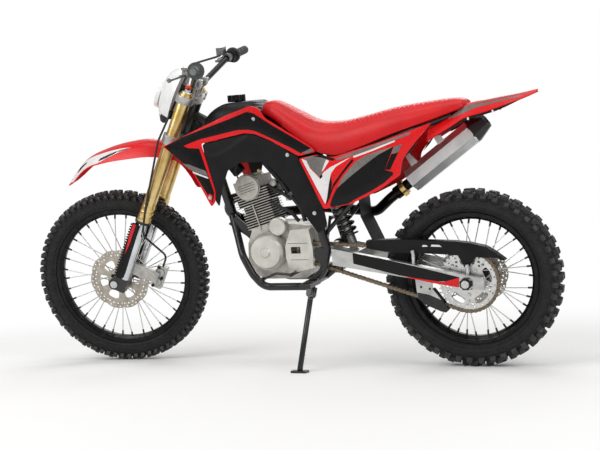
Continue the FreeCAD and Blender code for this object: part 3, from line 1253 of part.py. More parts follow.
CHAIN_GUARD_THICKNESS = 3.0
CHAIN_GUARD_HALF_WIDTH = 18.0
CHAIN_GUARD_TOP = [(-361.0, 476.0), (-234.0, 479.0), (-143.0, 472.0), (-35.0, 466.0), (18.0, 459.0),
                   (70.0, 445.0), (103.0, 425.0), (138.0, 397.0)]
CHAIN_GUARD_LOW = [(126.0, 395.0), (111.0, 405.0), (50.0, 407.0), (15.0, 414.0), (-38.0, 417.0),
                   (-92.0, 422.0), (-193.0, 428.0), (-237.0, 430.0), (-293.0, 435.0), (-361.0, 449.0)]
CHAIN_GUARD_TAB = [(-30.0, 418.0), (-8.0, 374.0), (6.0, 372.0), (38.0, 412.0)]
CHAIN_GUARD_BOLTS = [(-188.0, 434.0), (4.0, 379.0)]
CHAIN_POST_RADIUS = 6.5


def chain_guard():
    """A channel over the upper run, open below, on two feet that stand on the swingarm."""
    top = CHAIN_GUARD_TOP
    low = CHAIN_GUARD_LOW
    side_low = -CHAIN_LINE - CHAIN_GUARD_HALF_WIDTH
    side_high = -CHAIN_LINE + CHAIN_GUARD_HALF_WIDTH - CHAIN_GUARD_THICKNESS
    outer = side_prism(top + low, side_low, side_high)
    room_top = [(x, z - CHAIN_GUARD_THICKNESS) for x, z in top]
    room_low = [(x, z - OVERRUN) for x, z in low]
    room = side_prism(room_top + room_low, side_low + CHAIN_GUARD_THICKNESS, side_high + OVERRUN)
    guard = outer.cut(room)
    tab = side_prism(CHAIN_GUARD_TAB, side_low, side_low + CHAIN_GUARD_THICKNESS)
    feet = [tab]
    for x, z in CHAIN_GUARD_BOLTS:
        post = side_low - CHAIN_POST_RADIUS - CHAIN_GUARD_THICKNESS / 2
        feet.append(rod(point(x, post, arm_top(x) - FIT_GAP), point(x, post, z + CHAIN_POST_RADIUS),
                        CHAIN_POST_RADIUS))
        feet.append(cross_rod(x, z, post, side_low + CHAIN_GUARD_THICKNESS / 2, CHAIN_POST_RADIUS / 2))
    return joined([guard] + feet)


CHAIN_SHOE_OUTLINE = [(-187.0, 296.0), (-126.0, 296.0), (-99.0, 259.0), (-73.0, 223.0), (-84.0, 212.0),
                      (-102.0, 216.0), (-152.0, 238.0), (-183.0, 262.0)]
CHAIN_BRACKET_OUTLINE = [(-189.0, 346.0), (-126.0, 338.0), (-126.0, 300.0), (-142.0, 278.0), (-185.0, 286.0)]
CHAIN_SHOE_HALF_WIDTH = 17.0


def chain_guide():
    """Plastic shoe round the lower run, hung below the left beam, and a roller further forward."""
    shoe = side_prism(CHAIN_SHOE_OUTLINE, -CHAIN_LINE - CHAIN_SHOE_HALF_WIDTH,
                      -CHAIN_LINE + CHAIN_SHOE_HALF_WIDTH)
    plate_high = -CHAIN_LINE - CHAIN_SHOE_HALF_WIDTH
    bracket = side_prism(CHAIN_BRACKET_OUTLINE, plate_high - CHAIN_GUARD_THICKNESS, plate_high)
    return joined([shoe, bracket]).cut(chain_room())


def side_rod(points, side, radius):
    return bent_tube([point(x, side, z) for x, z in points], radius, radius * 3)


# Engine: air-cooled single, its cylinder leaning forward
CRANK_X = -750.0
CRANK_Z = 444.0
CYLINDER_LEAN = 15.5
CASE_LEFT = -58.0
CASE_RIGHT = 76.0
CASE_SHARES = [(0.0, 0.30), (0.02, 0.66), (0.10, 0.93), (0.26, 1.0), (0.66, 1.0), (0.98, 0.95), (1.0, 0.55),
               (0.93, 0.10), (0.80, 0.0), (0.22, 0.0), (0.09, 0.08)]
CASE_LENGTH = 282.0
CASE_HEIGHT = 206.0
CASE_FRONT_X = -845.0
CASE_FLOOR = 336.0
DECK_HEIGHT = 96.0
DECK_HALF = 52.0
BARREL_FIN_COUNT = 9
BARREL_FIN_PITCH = 9.5
FIN_THICKNESS = 3.0
BARREL_HALF_LENGTH = 60.0
BARREL_HALF_WIDTH = 57.5
BARREL_CORE_RADIUS = 44.0
HEAD_FIN_COUNT = 6
HEAD_HALF_LENGTH = 72.0
HEAD_HALF_WIDTH = 66.0
HEAD_CORE_HALF = 48.0
HEAD_COVER_HEIGHT = 56.0
CAM_COVER_RADIUS = 46.0
CAM_COVER_DEPTH = 12.0
CAM_RISE_SHARE = 0.25
HEAD_COVER_FRONT_SHARE = 1.15
HEAD_COVER_SIDE_SHARE = 0.95
HEAD_COVER_TOP_SHARE = 0.6
HEAD_COVER_TOP_SIDE_SHARE = 0.8
GENERATOR_RADIUS = 67.0
GENERATOR_DEPTH = 54.0
STARTER_RADIUS = 34.0
STARTER_DEPTH = 30.0
CLUTCH_RADIUS = 72.0
CLUTCH_DEPTH = 44.0
LEAN_SINE = math.sin(math.radians(CYLINDER_LEAN))
LEAN_COSINE = math.cos(math.radians(CYLINDER_LEAN))


def on_cylinder(along, rearward, side):
    """A point in the leaning frame of the cylinder, from the crank's centre."""
    x = CRANK_X - LEAN_SINE * along + LEAN_COSINE * rearward
    z = CRANK_Z + LEAN_COSINE * along + LEAN_SINE * rearward
    return point(x, side, z)


def leaning_block(along_low, along_high, front, rear, half_width):
    corners = [on_cylinder(along_low, -front, 0), on_cylinder(along_low, rear, 0),
               on_cylinder(along_high, rear, 0), on_cylinder(along_high, -front, 0)]
    return side_prism([(corner.x, corner.z) for corner in corners], -half_width, half_width)


def leaning_rod(along_low, along_high, rearward, side, radius):
    return rod(on_cylinder(along_low, rearward, side), on_cylinder(along_high, rearward, side), radius)


def crankcase():
    outline = scaled_outline(CASE_SHARES, CASE_FRONT_X, CASE_FLOOR, CASE_LENGTH, CASE_HEIGHT)
    body = side_prism(outline, CASE_LEFT, CASE_RIGHT)
    deck = leaning_block(0, DECK_HEIGHT, DECK_HALF, DECK_HALF, DECK_HALF)
    above = leaning_block(DECK_HEIGHT, DECK_HEIGHT + CASE_HEIGHT, CASE_LENGTH, CASE_LENGTH, CASE_HEIGHT)
    return joined([body, deck, front_sprocket()]).cut(above)


def barrel_top():
    return DECK_HEIGHT + BARREL_FIN_COUNT * BARREL_FIN_PITCH


def cylinder_barrel():
    """Round core with square cooling fins stacked up it."""
    shapes = [leaning_rod(DECK_HEIGHT, barrel_top(), 0, 0, BARREL_CORE_RADIUS)]
    for fin in range(BARREL_FIN_COUNT):
        low = DECK_HEIGHT + fin * BARREL_FIN_PITCH
        shapes.append(leaning_block(low, low + FIN_THICKNESS, BARREL_HALF_LENGTH, BARREL_HALF_LENGTH,
                                    BARREL_HALF_WIDTH))
    return joined(shapes)


def cylinder_head():
    """Finned head, smooth rocker cover on top, round cam cover at the left and two ports."""
    low = barrel_top()
    high = low + HEAD_FIN_COUNT * BARREL_FIN_PITCH
    top = high + HEAD_COVER_HEIGHT
    shapes = [leaning_block(low, high, HEAD_CORE_HALF, HEAD_CORE_HALF, HEAD_CORE_HALF)]
    for fin in range(HEAD_FIN_COUNT):
        base = low + fin * BARREL_FIN_PITCH
        shapes.append(leaning_block(base, base + FIN_THICKNESS, HEAD_HALF_LENGTH, HEAD_HALF_LENGTH,
                                    HEAD_HALF_WIDTH))
    shapes.append(leaning_block(high, top - HEAD_COVER_HEIGHT / 4, HEAD_CORE_HALF * HEAD_COVER_FRONT_SHARE,
                                HEAD_CORE_HALF, HEAD_HALF_WIDTH * HEAD_COVER_SIDE_SHARE))
    crown = HEAD_CORE_HALF * HEAD_COVER_TOP_SHARE
    shapes.append(leaning_block(high, top, crown, crown, HEAD_CORE_HALF * HEAD_COVER_TOP_SIDE_SHARE))
    cam = on_cylinder(high + CAM_COVER_RADIUS * CAM_RISE_SHARE, 0, 0)
    shapes.append(cross_rod(cam.x, cam.z, -HEAD_HALF_WIDTH - CAM_COVER_DEPTH, HEAD_CORE_HALF,
                            CAM_COVER_RADIUS))
    shapes.append(rod(exhaust_run()[0], exhaust_run()[1], PORT_RADIUS))
    shapes.append(rod(on_cylinder(port_height(), 0, 0), intake_port(), PORT_RADIUS))
    return joined(shapes)


PORT_RADIUS = 23.0
EXHAUST_PORT_SIDE = 44.0
PORT_RISE = 12.0
PORT_REACH = 10.0


def port_height():
    return barrel_top() + HEAD_FIN_COUNT * BARREL_FIN_PITCH / 2


def exhaust_run():
    """Axis of the exhaust port stub, slanted to the right so that the pipe passes the downtube."""
    start = on_cylinder(port_height(), -HEAD_CORE_HALF / 2, HEAD_CORE_HALF / 2)
    end = on_cylinder(port_height() + PORT_RISE, -HEAD_HALF_LENGTH - PORT_REACH, EXHAUST_PORT_SIDE)
    return start, end


def intake_port():
    return on_cylinder(port_height() + PORT_RISE, HEAD_HALF_LENGTH + PORT_REACH, 0)


SPROCKET_COVER_SHARES = [(0.12, 0.0), (0.0, 0.35), (0.0, 0.62), (0.22, 0.98), (0.90, 1.0), (1.0, 0.55),
                         (0.97, 0.12)]
SPROCKET_COVER_LENGTH = 108.0
SPROCKET_COVER_HEIGHT = 165.0
SPROCKET_COVER_X = -672.0
SPROCKET_COVER_Z = 362.0
COVER_WALL = 3.5
COVER_FACE = -104.0
COVER_CLEARANCE = 1.5
COVER_WINDOW_X = -650.0
COVER_WINDOW_Z = 437.0
COVER_WINDOW_LENGTH = 38.0
COVER_WINDOW_HEIGHT = 25.0
GENERATOR_FLANGE_SHARE = 1.06
GENERATOR_SHARES = [(0, 0), (0, GENERATOR_FLANGE_SHARE), (0.5, GENERATOR_FLANGE_SHARE), (0.8, 1.0),
                    (1.0, 0.86), (1.0, 0.30), (1.1, 0.24), (1.1, 0)]
STARTER_X = -704.0
STARTER_Z = 536.0
STARTER_BEVEL = 4.0
STARTER_FACE_SHARE = 0.86
CLUTCH_BACK = 60.0
CLUTCH_DROP = 14.0
CLUTCH_SHARES = [(0, 0), (0, 1.0), (0.7, 1.0), (1.0, 0.85), (1.0, 0)]


def domed_cover(shares, seat_side, depth, radius, x, z):
    """A round cover turned from (depth, radius) shares; a negative depth lies to the left."""
    return turned([(seat_side + depth * deep, radius * wide) for deep, wide in shares], x, z)


def sprocket_cover(seat_side):
    """A thin-walled case over the front sprocket, open to the chain, with a window in its face."""
    outline = scaled_outline(SPROCKET_COVER_SHARES, SPROCKET_COVER_X, SPROCKET_COVER_Z,
                             SPROCKET_COVER_LENGTH, SPROCKET_COVER_HEIGHT)
    room = scaled_outline(SPROCKET_COVER_SHARES, SPROCKET_COVER_X + COVER_WALL, SPROCKET_COVER_Z + COVER_WALL,
                          SPROCKET_COVER_LENGTH - 2 * COVER_WALL, SPROCKET_COVER_HEIGHT - 2 * COVER_WALL)
    cover = side_prism(outline, COVER_FACE, seat_side)
    cover = cover.cut(side_prism(room, COVER_FACE + COVER_WALL, seat_side)).cut(chain_room())
    low = point(COVER_WINDOW_X, COVER_FACE - COVER_WALL, COVER_WINDOW_Z)
    window = block(low, low.add(point(COVER_WINDOW_LENGTH, 3 * COVER_WALL, COVER_WINDOW_HEIGHT)))
    return cover.cut(window)


def engine_covers():
    """Left: generator, starter gear and sprocket covers. Right: clutch cover."""
    seat_side = CASE_LEFT - FIT_GAP
    flange = GENERATOR_RADIUS * GENERATOR_FLANGE_SHARE
    generator = domed_cover(GENERATOR_SHARES, seat_side, -GENERATOR_DEPTH, GENERATOR_RADIUS, CRANK_X, CRANK_Z)
    generator_room = cross_rod(CRANK_X, CRANK_Z, COVER_FACE, CASE_LEFT, flange + COVER_CLEARANCE)
    shoulder = seat_side - STARTER_DEPTH
    face = STARTER_RADIUS * STARTER_FACE_SHARE
    starter = turned([(seat_side, 0), (seat_side, STARTER_RADIUS), (shoulder, STARTER_RADIUS),
                      (shoulder - STARTER_BEVEL, face), (shoulder - STARTER_BEVEL, 0)], STARTER_X, STARTER_Z)
    starter_room = cross_rod(STARTER_X, STARTER_Z, COVER_FACE, CASE_LEFT, STARTER_RADIUS + COVER_CLEARANCE)
    cover = sprocket_cover(seat_side).cut(Part.Compound([generator_room, starter_room]))
    clutch = domed_cover(CLUTCH_SHARES, CASE_RIGHT + FIT_GAP, CLUTCH_DEPTH, CLUTCH_RADIUS,
                         CRANK_X + CLUTCH_BACK, CRANK_Z - CLUTCH_DROP)
    return Part.Compound([generator, starter.cut(generator_room), cover, clutch])


CARB_RADIUS = 24.0
CARB_END_X = -588.0
CARB_RISE = 6.0
CARB_BELL_SHARES = (0.62, 0.98)
CARB_BELL_RADIUS = 30.0
CARB_BOWL_FRONT = 26.0
CARB_BOWL_BACK = 22.0
CARB_BOWL_HALF_WIDTH = 26.0
CARB_BOWL_DEPTH = 58.0
CARB_TOP_HEIGHT = 50.0
CARB_TOP_RADIUS = 21.6


def carburettor():
    """Throat, float bowl and slide body between the intake port and the air box boot."""
    start = intake_port()
    end = point(CARB_END_X, 0, start.z + CARB_RISE)
    run = end.sub(start)
    middle = start.add(run / 2)
    bell_start, bell_end = CARB_BELL_SHARES
    bowl_low = middle.sub(point(CARB_BOWL_FRONT, CARB_BOWL_HALF_WIDTH, CARB_BOWL_DEPTH))
    bowl_high = middle.add(point(CARB_BOWL_BACK, CARB_BOWL_HALF_WIDTH, 0))
    return joined([rod(start, end, CARB_RADIUS),
                   rod(start.add(run * bell_start), start.add(run * bell_end), CARB_BELL_RADIUS),
                   block(bowl_low, bowl_high),
                   rod(middle, middle.add(UPWARD * CARB_TOP_HEIGHT), CARB_TOP_RADIUS)])


AIR_BOX_OUTLINE = [(-596.0, 590.0), (-596.0, 660.0), (-560.0, 706.0), (-380.0, 752.0), (-330.0, 752.0),
                   (-330.0, 690.0), (-420.0, 640.0), (-480.0, 600.0)]
AIR_BOX_HALF_WIDTH = 70.0
AIR_BOX_STAY_X = -577.0
AIR_BOX_STAY_Z = 660.0
AIR_BOX_STAY_RADIUS = 8.0
SHOCK_ROOM_AHEAD = 12.0


def air_box():
    """Filter box between the spars below the seat, with a channel for the shock."""
    body = side_prism(AIR_BOX_OUTLINE, -AIR_BOX_HALF_WIDTH, AIR_BOX_HALF_WIDTH)
    stay = cross_rod(AIR_BOX_STAY_X, AIR_BOX_STAY_Z, -SPAR_HALF_WIDTH, SPAR_HALF_WIDTH, AIR_BOX_STAY_RADIUS)
    above = point(SHOCK_TOP_X - SHOCK_ROOM_AHEAD, 0, SHOCK_TOP_Z + OVERRUN)
    below = point(SHOCK_LOW_X, 0, SHOCK_LOW_Z)
    return joined([body, stay]).cut(rod(above, below, SHOCK_SPRING_RADIUS + RUNNING_GAP))


PIPE_RADIUS = 19.0
PIPE_BEND_RADIUS = 70.0
PIPE_BENDS = [(-985.0, 96.0, 575.0), (-930.0, 140.0, 530.0), (-800.0, 146.0, 560.0), (-600.0, 146.0, 572.0),
              (-470.0, 136.0, 560.0), (-372.0, 96.0, 556.0)]
PIPE_START_LENGTH = 66.0
PIPE_END_LENGTH = 105.0
PIPE_CLAMP_BACK = 78.0
PIPE_CLAMP_LENGTH = 24.0
PIPE_CLAMP_WALL = 5.0
MUFFLER_FRONT = point(-222.0, 75.0, 668.0)
MUFFLER_REAR = point(9.0, 96.0, 833.0)


def muffler_axis():
    """Ends of the muffler's sleeve and its heading, which turns outwards to clear the tail."""
    outward = MUFFLER_REAR.sub(MUFFLER_FRONT)
    outward.normalize()
    return MUFFLER_FRONT, MUFFLER_REAR, outward


def exhaust_pipe():
    """Header from the port, round to the right side, back past the engine and up to the muffler."""
    front, rear, outward = muffler_axis()
    inside, port = exhaust_run()
    onward = port.sub(inside)
    onward.normalize()
    route = [port, port.add(onward * PIPE_START_LENGTH)]
    route += [point(x, side, z) for x, side, z in PIPE_BENDS]
    route += [front.sub(outward * PIPE_END_LENGTH), front]
    pipe = bent_tube(route, PIPE_RADIUS, PIPE_BEND_RADIUS)
    clamp_start = front.sub(outward * PIPE_CLAMP_BACK)
    clamp = rod(clamp_start, clamp_start.add(outward * PIPE_CLAMP_LENGTH), PIPE_RADIUS + PIPE_CLAMP_WALL)
    return joined([pipe, clamp])


MUFFLER_HALF_WIDTH = 44.0
MUFFLER_HALF_HEIGHT = 43.0
MUFFLER_CORNER = 24.0
MUFFLER_CAP_LENGTH = 62.0
MUFFLER_BORE_RADIUS = 22.0
MUFFLER_BORE_DEPTH = 40.0
MUFFLER_TIP_SHARE = 0.6
MUFFLER_TAB_SHARES = (0.18, 0.62)
MUFFLER_TAB_RISE = 32.0
MUFFLER_TAB_THICKNESS = 4.0
MUFFLER_LUG_RADIUS = 6.0
MUFFLER_TAB_ROOT = 4.0
MUFFLER_TAB_HALF_LENGTH = 15.0
MUFFLER_TAB_TOP_SHARE = 0.6
MUFFLER_TAB_TOP = 9.0


def muffler_tab_hole(share):
    """Centre of a hanger tab's bolt hole, above the muffler's top."""
    front, rear, outward = muffler_axis()
    run = rear.sub(front)
    up = muffler_up(outward)
    centre = front.add(run * share).add(up * (MUFFLER_HALF_HEIGHT + MUFFLER_TAB_RISE))
    return centre.sub(RIGHTWARD * (MUFFLER_HALF_WIDTH / 2))


def muffler_up(outward):
    """Direction square to the muffler's top, in the bike's middle plane."""
    up = outward.cross(RIGHTWARD)
    up.normalize()
    return up


def muffler_section(centre, outward, share):
    """A rounded box section across the muffler."""
    up = muffler_up(outward)
    half_width = MUFFLER_HALF_WIDTH * share
    half_height = MUFFLER_HALF_HEIGHT * share
    corner = MUFFLER_CORNER * share
    corners = []
    for side, high in ((-1, -1), (1, -1), (1, 1), (-1, 1)):
        first = (half_width, half_height - corner)
        second = (half_width - corner, half_height)
        if side * high > 0:
            order = (first, second)
        else:
            order = (second, first)
        for across, tall in order:
            corners.append(centre.add(RIGHTWARD * (side * across)).add(up * (high * tall)))
    return Part.makePolygon(corners + [corners[0]])


def muffler():
    """Eight-sided sleeve with a cone end cap cut on the slant, a bored outlet and two hangers."""
    front, rear, outward = muffler_axis()
    sections = [muffler_section(front, outward, 1.0), muffler_section(rear, outward, 1.0)]
    sleeve = Part.makeLoft(sections, True, True)
    tip = rear.add(outward * MUFFLER_CAP_LENGTH)
    cap_sections = [muffler_section(rear, outward, 1.0), muffler_section(tip, outward, MUFFLER_TIP_SHARE)]
    cap = Part.makeLoft(cap_sections, True, True)
    mouth = rod(tip.sub(outward * MUFFLER_BORE_DEPTH), tip.add(outward * OVERRUN), MUFFLER_BORE_RADIUS)
    up = muffler_up(outward)
    shapes = [sleeve, cap]
    for share in MUFFLER_TAB_SHARES:
        hole = muffler_tab_hole(share)
        low = hole.y - MUFFLER_TAB_THICKNESS / 2
        foot = hole.sub(up * (MUFFLER_TAB_RISE + MUFFLER_TAB_ROOT))
        half = outward * MUFFLER_TAB_HALF_LENGTH
        head = hole.add(up * MUFFLER_TAB_TOP)
        corners = [foot.sub(half), foot.add(half), head.add(half * MUFFLER_TAB_TOP_SHARE),
                   head.sub(half * MUFFLER_TAB_TOP_SHARE)]
        shapes.append(side_prism([(c.x, c.z) for c in corners], low, low + MUFFLER_TAB_THICKNESS))
    return joined(shapes).cut(mouth)


# Tank, shrouds, covers and tail
TANK_HALF_WIDTH = 112.0
TANK_SHARES = [(-985.0, 905.0, 948.0, 0.36), (-950.0, 880.0, 974.0, 0.62), (-895.0, 862.0, 997.0, 0.92),
               (-850.0, 852.0, 1003.0, 1.0), (-768.0, 846.0, 1000.0, 1.0), (-735.0, 846.0, 944.0, 0.96),
               (-655.0, 846.0, 886.0, 0.86)]
CAP_RADIUS = 34.0
CAP_HEIGHT = 26.0
CAP_X = -860.0
CAP_SEAT_Z = TANK_SHARES[3][2]
CAP_NOTCH_COUNT = 8
CAP_NOTCH_RADIUS = 7.0
CAP_NOTCH_OUTSIDE = 3.0
CAP_NOTCH_LOW_SHARE = 0.3
TANK_SHOULDER_SHARE = 0.72
TANK_EDGE_SHARE = 0.28
TANK_TUNNEL_OUTLINE = [(-1100.0, 800.0), (-1040.0, 952.0), (-900.0, 884.0), (-720.0, 808.0), (-640.0, 780.0)]
TANK_TUNNEL_RADIUS = 4.0


def fuel_tank():
    """Low saddle tank with rounded shoulders and a tunnel for the backbone."""
    sections = []
    for x, z_low, z_high, wide in TANK_SHARES:
        half = TANK_HALF_WIDTH * wide
        shoulder = half * TANK_SHOULDER_SHARE
        edge = z_high - (z_high - z_low) * TANK_EDGE_SHARE
        corners = [point(x, -half, z_low), point(x, half, z_low), point(x, half, edge),
                   point(x, shoulder, z_high), point(x, -shoulder, z_high), point(x, -half, edge)]
        sections.append(Part.makePolygon(corners + [corners[0]]))
    body = Part.makeLoft(sections, True, True)
    spine = bent_tube(backbone_points(), BACKBONE_RADIUS + FIT_GAP, FRAME_BEND_RADIUS)
    half = BACKBONE_RADIUS + FIT_GAP
    low = side_prism(TANK_TUNNEL_OUTLINE, -half, half)
    front_x, front_z = TANK_TUNNEL_OUTLINE[1]
    rear_x, rear_z = TANK_TUNNEL_OUTLINE[-1]
    roof = rod(point(front_x, 0, front_z), point(rear_x, 0, rear_z), TANK_TUNNEL_RADIUS)
    return body.cut(spine).cut(low).cut(roof)


def fuel_cap():
    """Round screw cap with finger notches."""
    top = CAP_SEAT_Z + CAP_HEIGHT
    body = rod(point(CAP_X, 0, CAP_SEAT_Z + FIT_GAP), point(CAP_X, 0, top), CAP_RADIUS)
    notches = []
    for number in range(CAP_NOTCH_COUNT):
        angle = math.radians(360.0 * number / CAP_NOTCH_COUNT)
        x = CAP_X + (CAP_RADIUS + CAP_NOTCH_OUTSIDE) * math.cos(angle)
        y = (CAP_RADIUS + CAP_NOTCH_OUTSIDE) * math.sin(angle)
        low = point(x, y, CAP_SEAT_Z + CAP_HEIGHT * CAP_NOTCH_LOW_SHARE)
        notches.append(rod(low, low.add(UPWARD * CAP_HEIGHT), CAP_NOTCH_RADIUS))
    return body.cut(Part.Compound(notches))


PANEL_THICKNESS = 3.5
PANEL_TILT = 0.12
PANEL_BASE_Z = 633.0
SHROUD_REACH = 300.0
BOSS_RADIUS = 9.0
PANEL_BOSS_RADIUS = 8.0
SHROUD_BOSS_X = -800.0
SHROUD_BOSS_Z = 940.0
COVER_BOSS_X = -550.0
COVER_BOSS_Z = 615.0
PANEL_BOSS_X = -300.0
SHROUD_PLAN = [(-1096.0, -226.0), (-1000.0, -216.0), (-900.0, -200.0), (-750.0, -172.0), (-600.0, -150.0),
               (-480.0, -140.0)]
SHROUD_OUTLINE = [(-1088.0, 864.0), (-842.0, 961.0), (-751.0, 989.0), (-721.0, 976.0), (-700.0, 940.0),
                  (-530.0, 824.0), (-516.0, 808.0), (-581.0, 796.0), (-684.0, 859.0), (-740.0, 886.0),
                  (-777.0, 892.0), (-940.0, 865.0), (-893.0, 690.0), (-894.0, 653.0), (-909.0, 633.0),
                  (-985.0, 783.0)]
FRAME_COVER_OUTLINE = [(-938.0, 862.0), (-777.0, 889.0), (-745.0, 884.0), (-688.0, 857.0), (-585.0, 792.0),
                       (-497.0, 604.0), (-486.0, 545.0), (-520.0, 515.0), (-572.0, 592.0), (-624.0, 686.0),
                       (-684.0, 759.0), (-719.0, 784.0), (-800.0, 786.0), (-846.0, 762.0), (-871.0, 690.0),
                       (-882.0, 632.0), (-896.0, 655.0)]
SIDE_PANEL_OUTLINE = [(-490.0, 604.0), (-577.0, 788.0), (-512.0, 798.0), (-450.0, 786.0), (-276.0, 829.0),
                      (-85.0, 886.0), (-146.0, 823.0), (-194.0, 765.0), (-206.0, 710.0), (-282.0, 663.0),
                      (-388.0, 618.0)]
SIDE_PANEL_PLAN = [(-600.0, -158.0), (-480.0, -152.0), (-380.0, -150.0), (-230.0, -146.0), (-60.0, -140.0)]
PIPE_ROOM_LOW = (-700.0, 400.0)
PIPE_ROOM_HIGH = (-440.0, 601.0)


def panel_side(plan, x, z):
    """How far left a panel's outer face lies at one place."""
    for (x_low, y_low), (x_high, y_high) in zip(plan[:-1], plan[1:]):
        if x <= x_high:
            flat = y_low + (y_high - y_low) * (x - x_low) / (x_high - x_low)
            return flat + PANEL_TILT * (z - PANEL_BASE_Z)
    return plan[-1][1]


def panel(outline, plan, inset):
    """A moulded sheet: a curved plan line raised on a slant, trimmed to an outline seen from the side."""
    z_low = min(z for x, z in outline) - OVERRUN
    z_high = max(z for x, z in outline) + OVERRUN
    slant = PANEL_TILT * (z_low - PANEL_BASE_Z)
    outer = [point(x, y + inset + slant, z_low) for x, y in plan]
    inner = [p.add(RIGHTWARD * PANEL_THICKNESS) for p in outer]
    outer_curve = Part.BSplineCurve()
    outer_curve.interpolate(outer)
    inner_curve = Part.BSplineCurve()
    inner_curve.interpolate(list(reversed(inner)))
    ends = [Part.LineSegment(outer[-1], inner[-1]).toShape(), Part.LineSegment(inner[0], outer[0]).toShape()]
    wire = Part.Wire([outer_curve.toShape(), ends[0], inner_curve.toShape(), ends[1]])
    sheet = Part.Face(wire).extrude(point(0, PANEL_TILT * (z_high - z_low), z_high - z_low))
    return sheet.common(side_prism(outline, -SHROUD_REACH, 0))


def bossed(sheet, plan, inset, x, z, inner_side, radius):
    """A panel with a boss from its back to the piece that it is bolted to."""
    start = panel_side(plan, x, z) + inset + PANEL_THICKNESS / 2
    return joined([sheet, cross_rod(x, z, start, inner_side, radius)])


def shroud_left():
    sheet = panel(SHROUD_OUTLINE, SHROUD_PLAN, 0)
    return bossed(sheet, SHROUD_PLAN, 0, SHROUD_BOSS_X, SHROUD_BOSS_Z, -TANK_HALF_WIDTH + PAD_SPACE,
                  BOSS_RADIUS)


def frame_cover_left():
    inset = PANEL_THICKNESS + FIT_GAP
    sheet = panel(FRAME_COVER_OUTLINE, SHROUD_PLAN, inset)
    return bossed(sheet, SHROUD_PLAN, inset, COVER_BOSS_X, COVER_BOSS_Z, -SPAR_HALF_WIDTH, BOSS_RADIUS)


def side_panel_left():
    sheet = panel(SIDE_PANEL_OUTLINE, SIDE_PANEL_PLAN, 0)
    z = seat_base_z(PANEL_BOSS_X) - 2 * RAIL_RADIUS
    return bossed(sheet, SIDE_PANEL_PLAN, 0, PANEL_BOSS_X, z, -RAIL_HALF_WIDTH, PANEL_BOSS_RADIUS)


def shroud_right():
    return mirrored(shroud_left())


def frame_cover_right():
    """As the left one, cut off short above the exhaust pipe."""
    low_x, low_z = PIPE_ROOM_LOW
    high_x, high_z = PIPE_ROOM_HIGH
    room = block(point(low_x, 0, low_z), point(high_x, SHROUD_REACH, high_z))
    return mirrored(frame_cover_left()).cut(room)


def side_panel_right():
    return mirrored(side_panel_left())


REAR_FENDER_STATIONS = [(-110.0, 862.0, 100.0, 72.0, 40.0), (-20.0, 908.0, 92.0, 62.0, 38.0),
                        (24.0, 938.0, 84.0, 54.0, 44.0), (98.0, 949.0, 70.0, 44.0, 38.0),
                        (203.0, 962.0, 46.0, 28.0, 20.0), (262.0, 971.0, 22.0, 12.0, 8.0)]


def rear_fender():
    """Flat-topped tail with slanted sides, narrowing to its tip."""
    sections = []
    wall = FENDER_THICKNESS
    for x, z, wide, flat, deep in REAR_FENDER_STATIONS:
        corners = [point(x, -wide, z - deep), point(x, -flat, z), point(x, flat, z), point(x, wide, z - deep),
                   point(x, wide - wall, z - deep), point(x, flat - wall / 2, z - wall),
                   point(x, -flat + wall / 2, z - wall), point(x, -wide + wall, z - deep)]
        sections.append(Part.makePolygon(corners + [corners[0]]))
    return Part.makeLoft(sections, True, True)


INNER_FENDER_LINE = [(-329.7, 770.0), (-329.7, 688.0), (-374.0, 658.0), (-388.0, 620.0), (-386.0, 560.0),
                     (-352.0, 482.0), (-338.0, 448.0)]
INNER_FENDER_HALF_WIDTH = 62.0
INNER_FENDER_RISE = 1.0


def inner_fender():
    """Splash guard between the air box and the rear tyre, with its tail down to the swingarm."""
    front = [point(x, -INNER_FENDER_HALF_WIDTH, z) for x, z in INNER_FENDER_LINE]
    back = [place.add(point(FENDER_THICKNESS, 0, INNER_FENDER_RISE)) for place in front]
    face = polygon_face(front + list(reversed(back)))
    return face.extrude(RIGHTWARD * (2 * INNER_FENDER_HALF_WIDTH))


# Foot pieces
PEG_LENGTH = 88.0
PEG_WIDTH = 42.0
PEG_HEIGHT = 16.0
PEG_X = -560.0
PEG_Z = 337.0
PEG_SPACE = 16.0
PEG_WINDOW_COUNT = 3
PEG_WINDOW_LENGTH = 20.0
PEG_BRACKET_HALF_LENGTH = 16.0
PEG_BRACKET_HALF_HEIGHT = 12.0


def footpegs():
    """Toothed platform on a bracket that is bolted to the frame, one each side."""
    low = -CRADLE_HALF_WIDTH - CRADLE_RADIUS - PEG_SPACE
    plate = block(point(PEG_X - PEG_WIDTH / 2, low - PEG_LENGTH, PEG_Z - PEG_HEIGHT / 2),
                  point(PEG_X + PEG_WIDTH / 2, low, PEG_Z + PEG_HEIGHT / 2))
    windows = []
    for number in range(PEG_WINDOW_COUNT):
        middle = low - PEG_LENGTH * (number + 0.5) / PEG_WINDOW_COUNT
        near = point(PEG_X - PEG_WIDTH / 3, middle - PEG_WINDOW_LENGTH / 2, PEG_Z - PEG_HEIGHT)
        far = point(PEG_X + PEG_WIDTH / 3, middle + PEG_WINDOW_LENGTH / 2, PEG_Z + PEG_HEIGHT)
        windows.append(block(near, far))
    bracket = block(point(PEG_X - PEG_BRACKET_HALF_LENGTH, low, PEG_Z - PEG_BRACKET_HALF_HEIGHT),
                    point(PEG_X + PEG_BRACKET_HALF_LENGTH, -SPAR_HALF_WIDTH, PEG_Z + PEG_BRACKET_HALF_HEIGHT))
    return pair(joined([plate.cut(Part.Compound(windows)), bracket]))


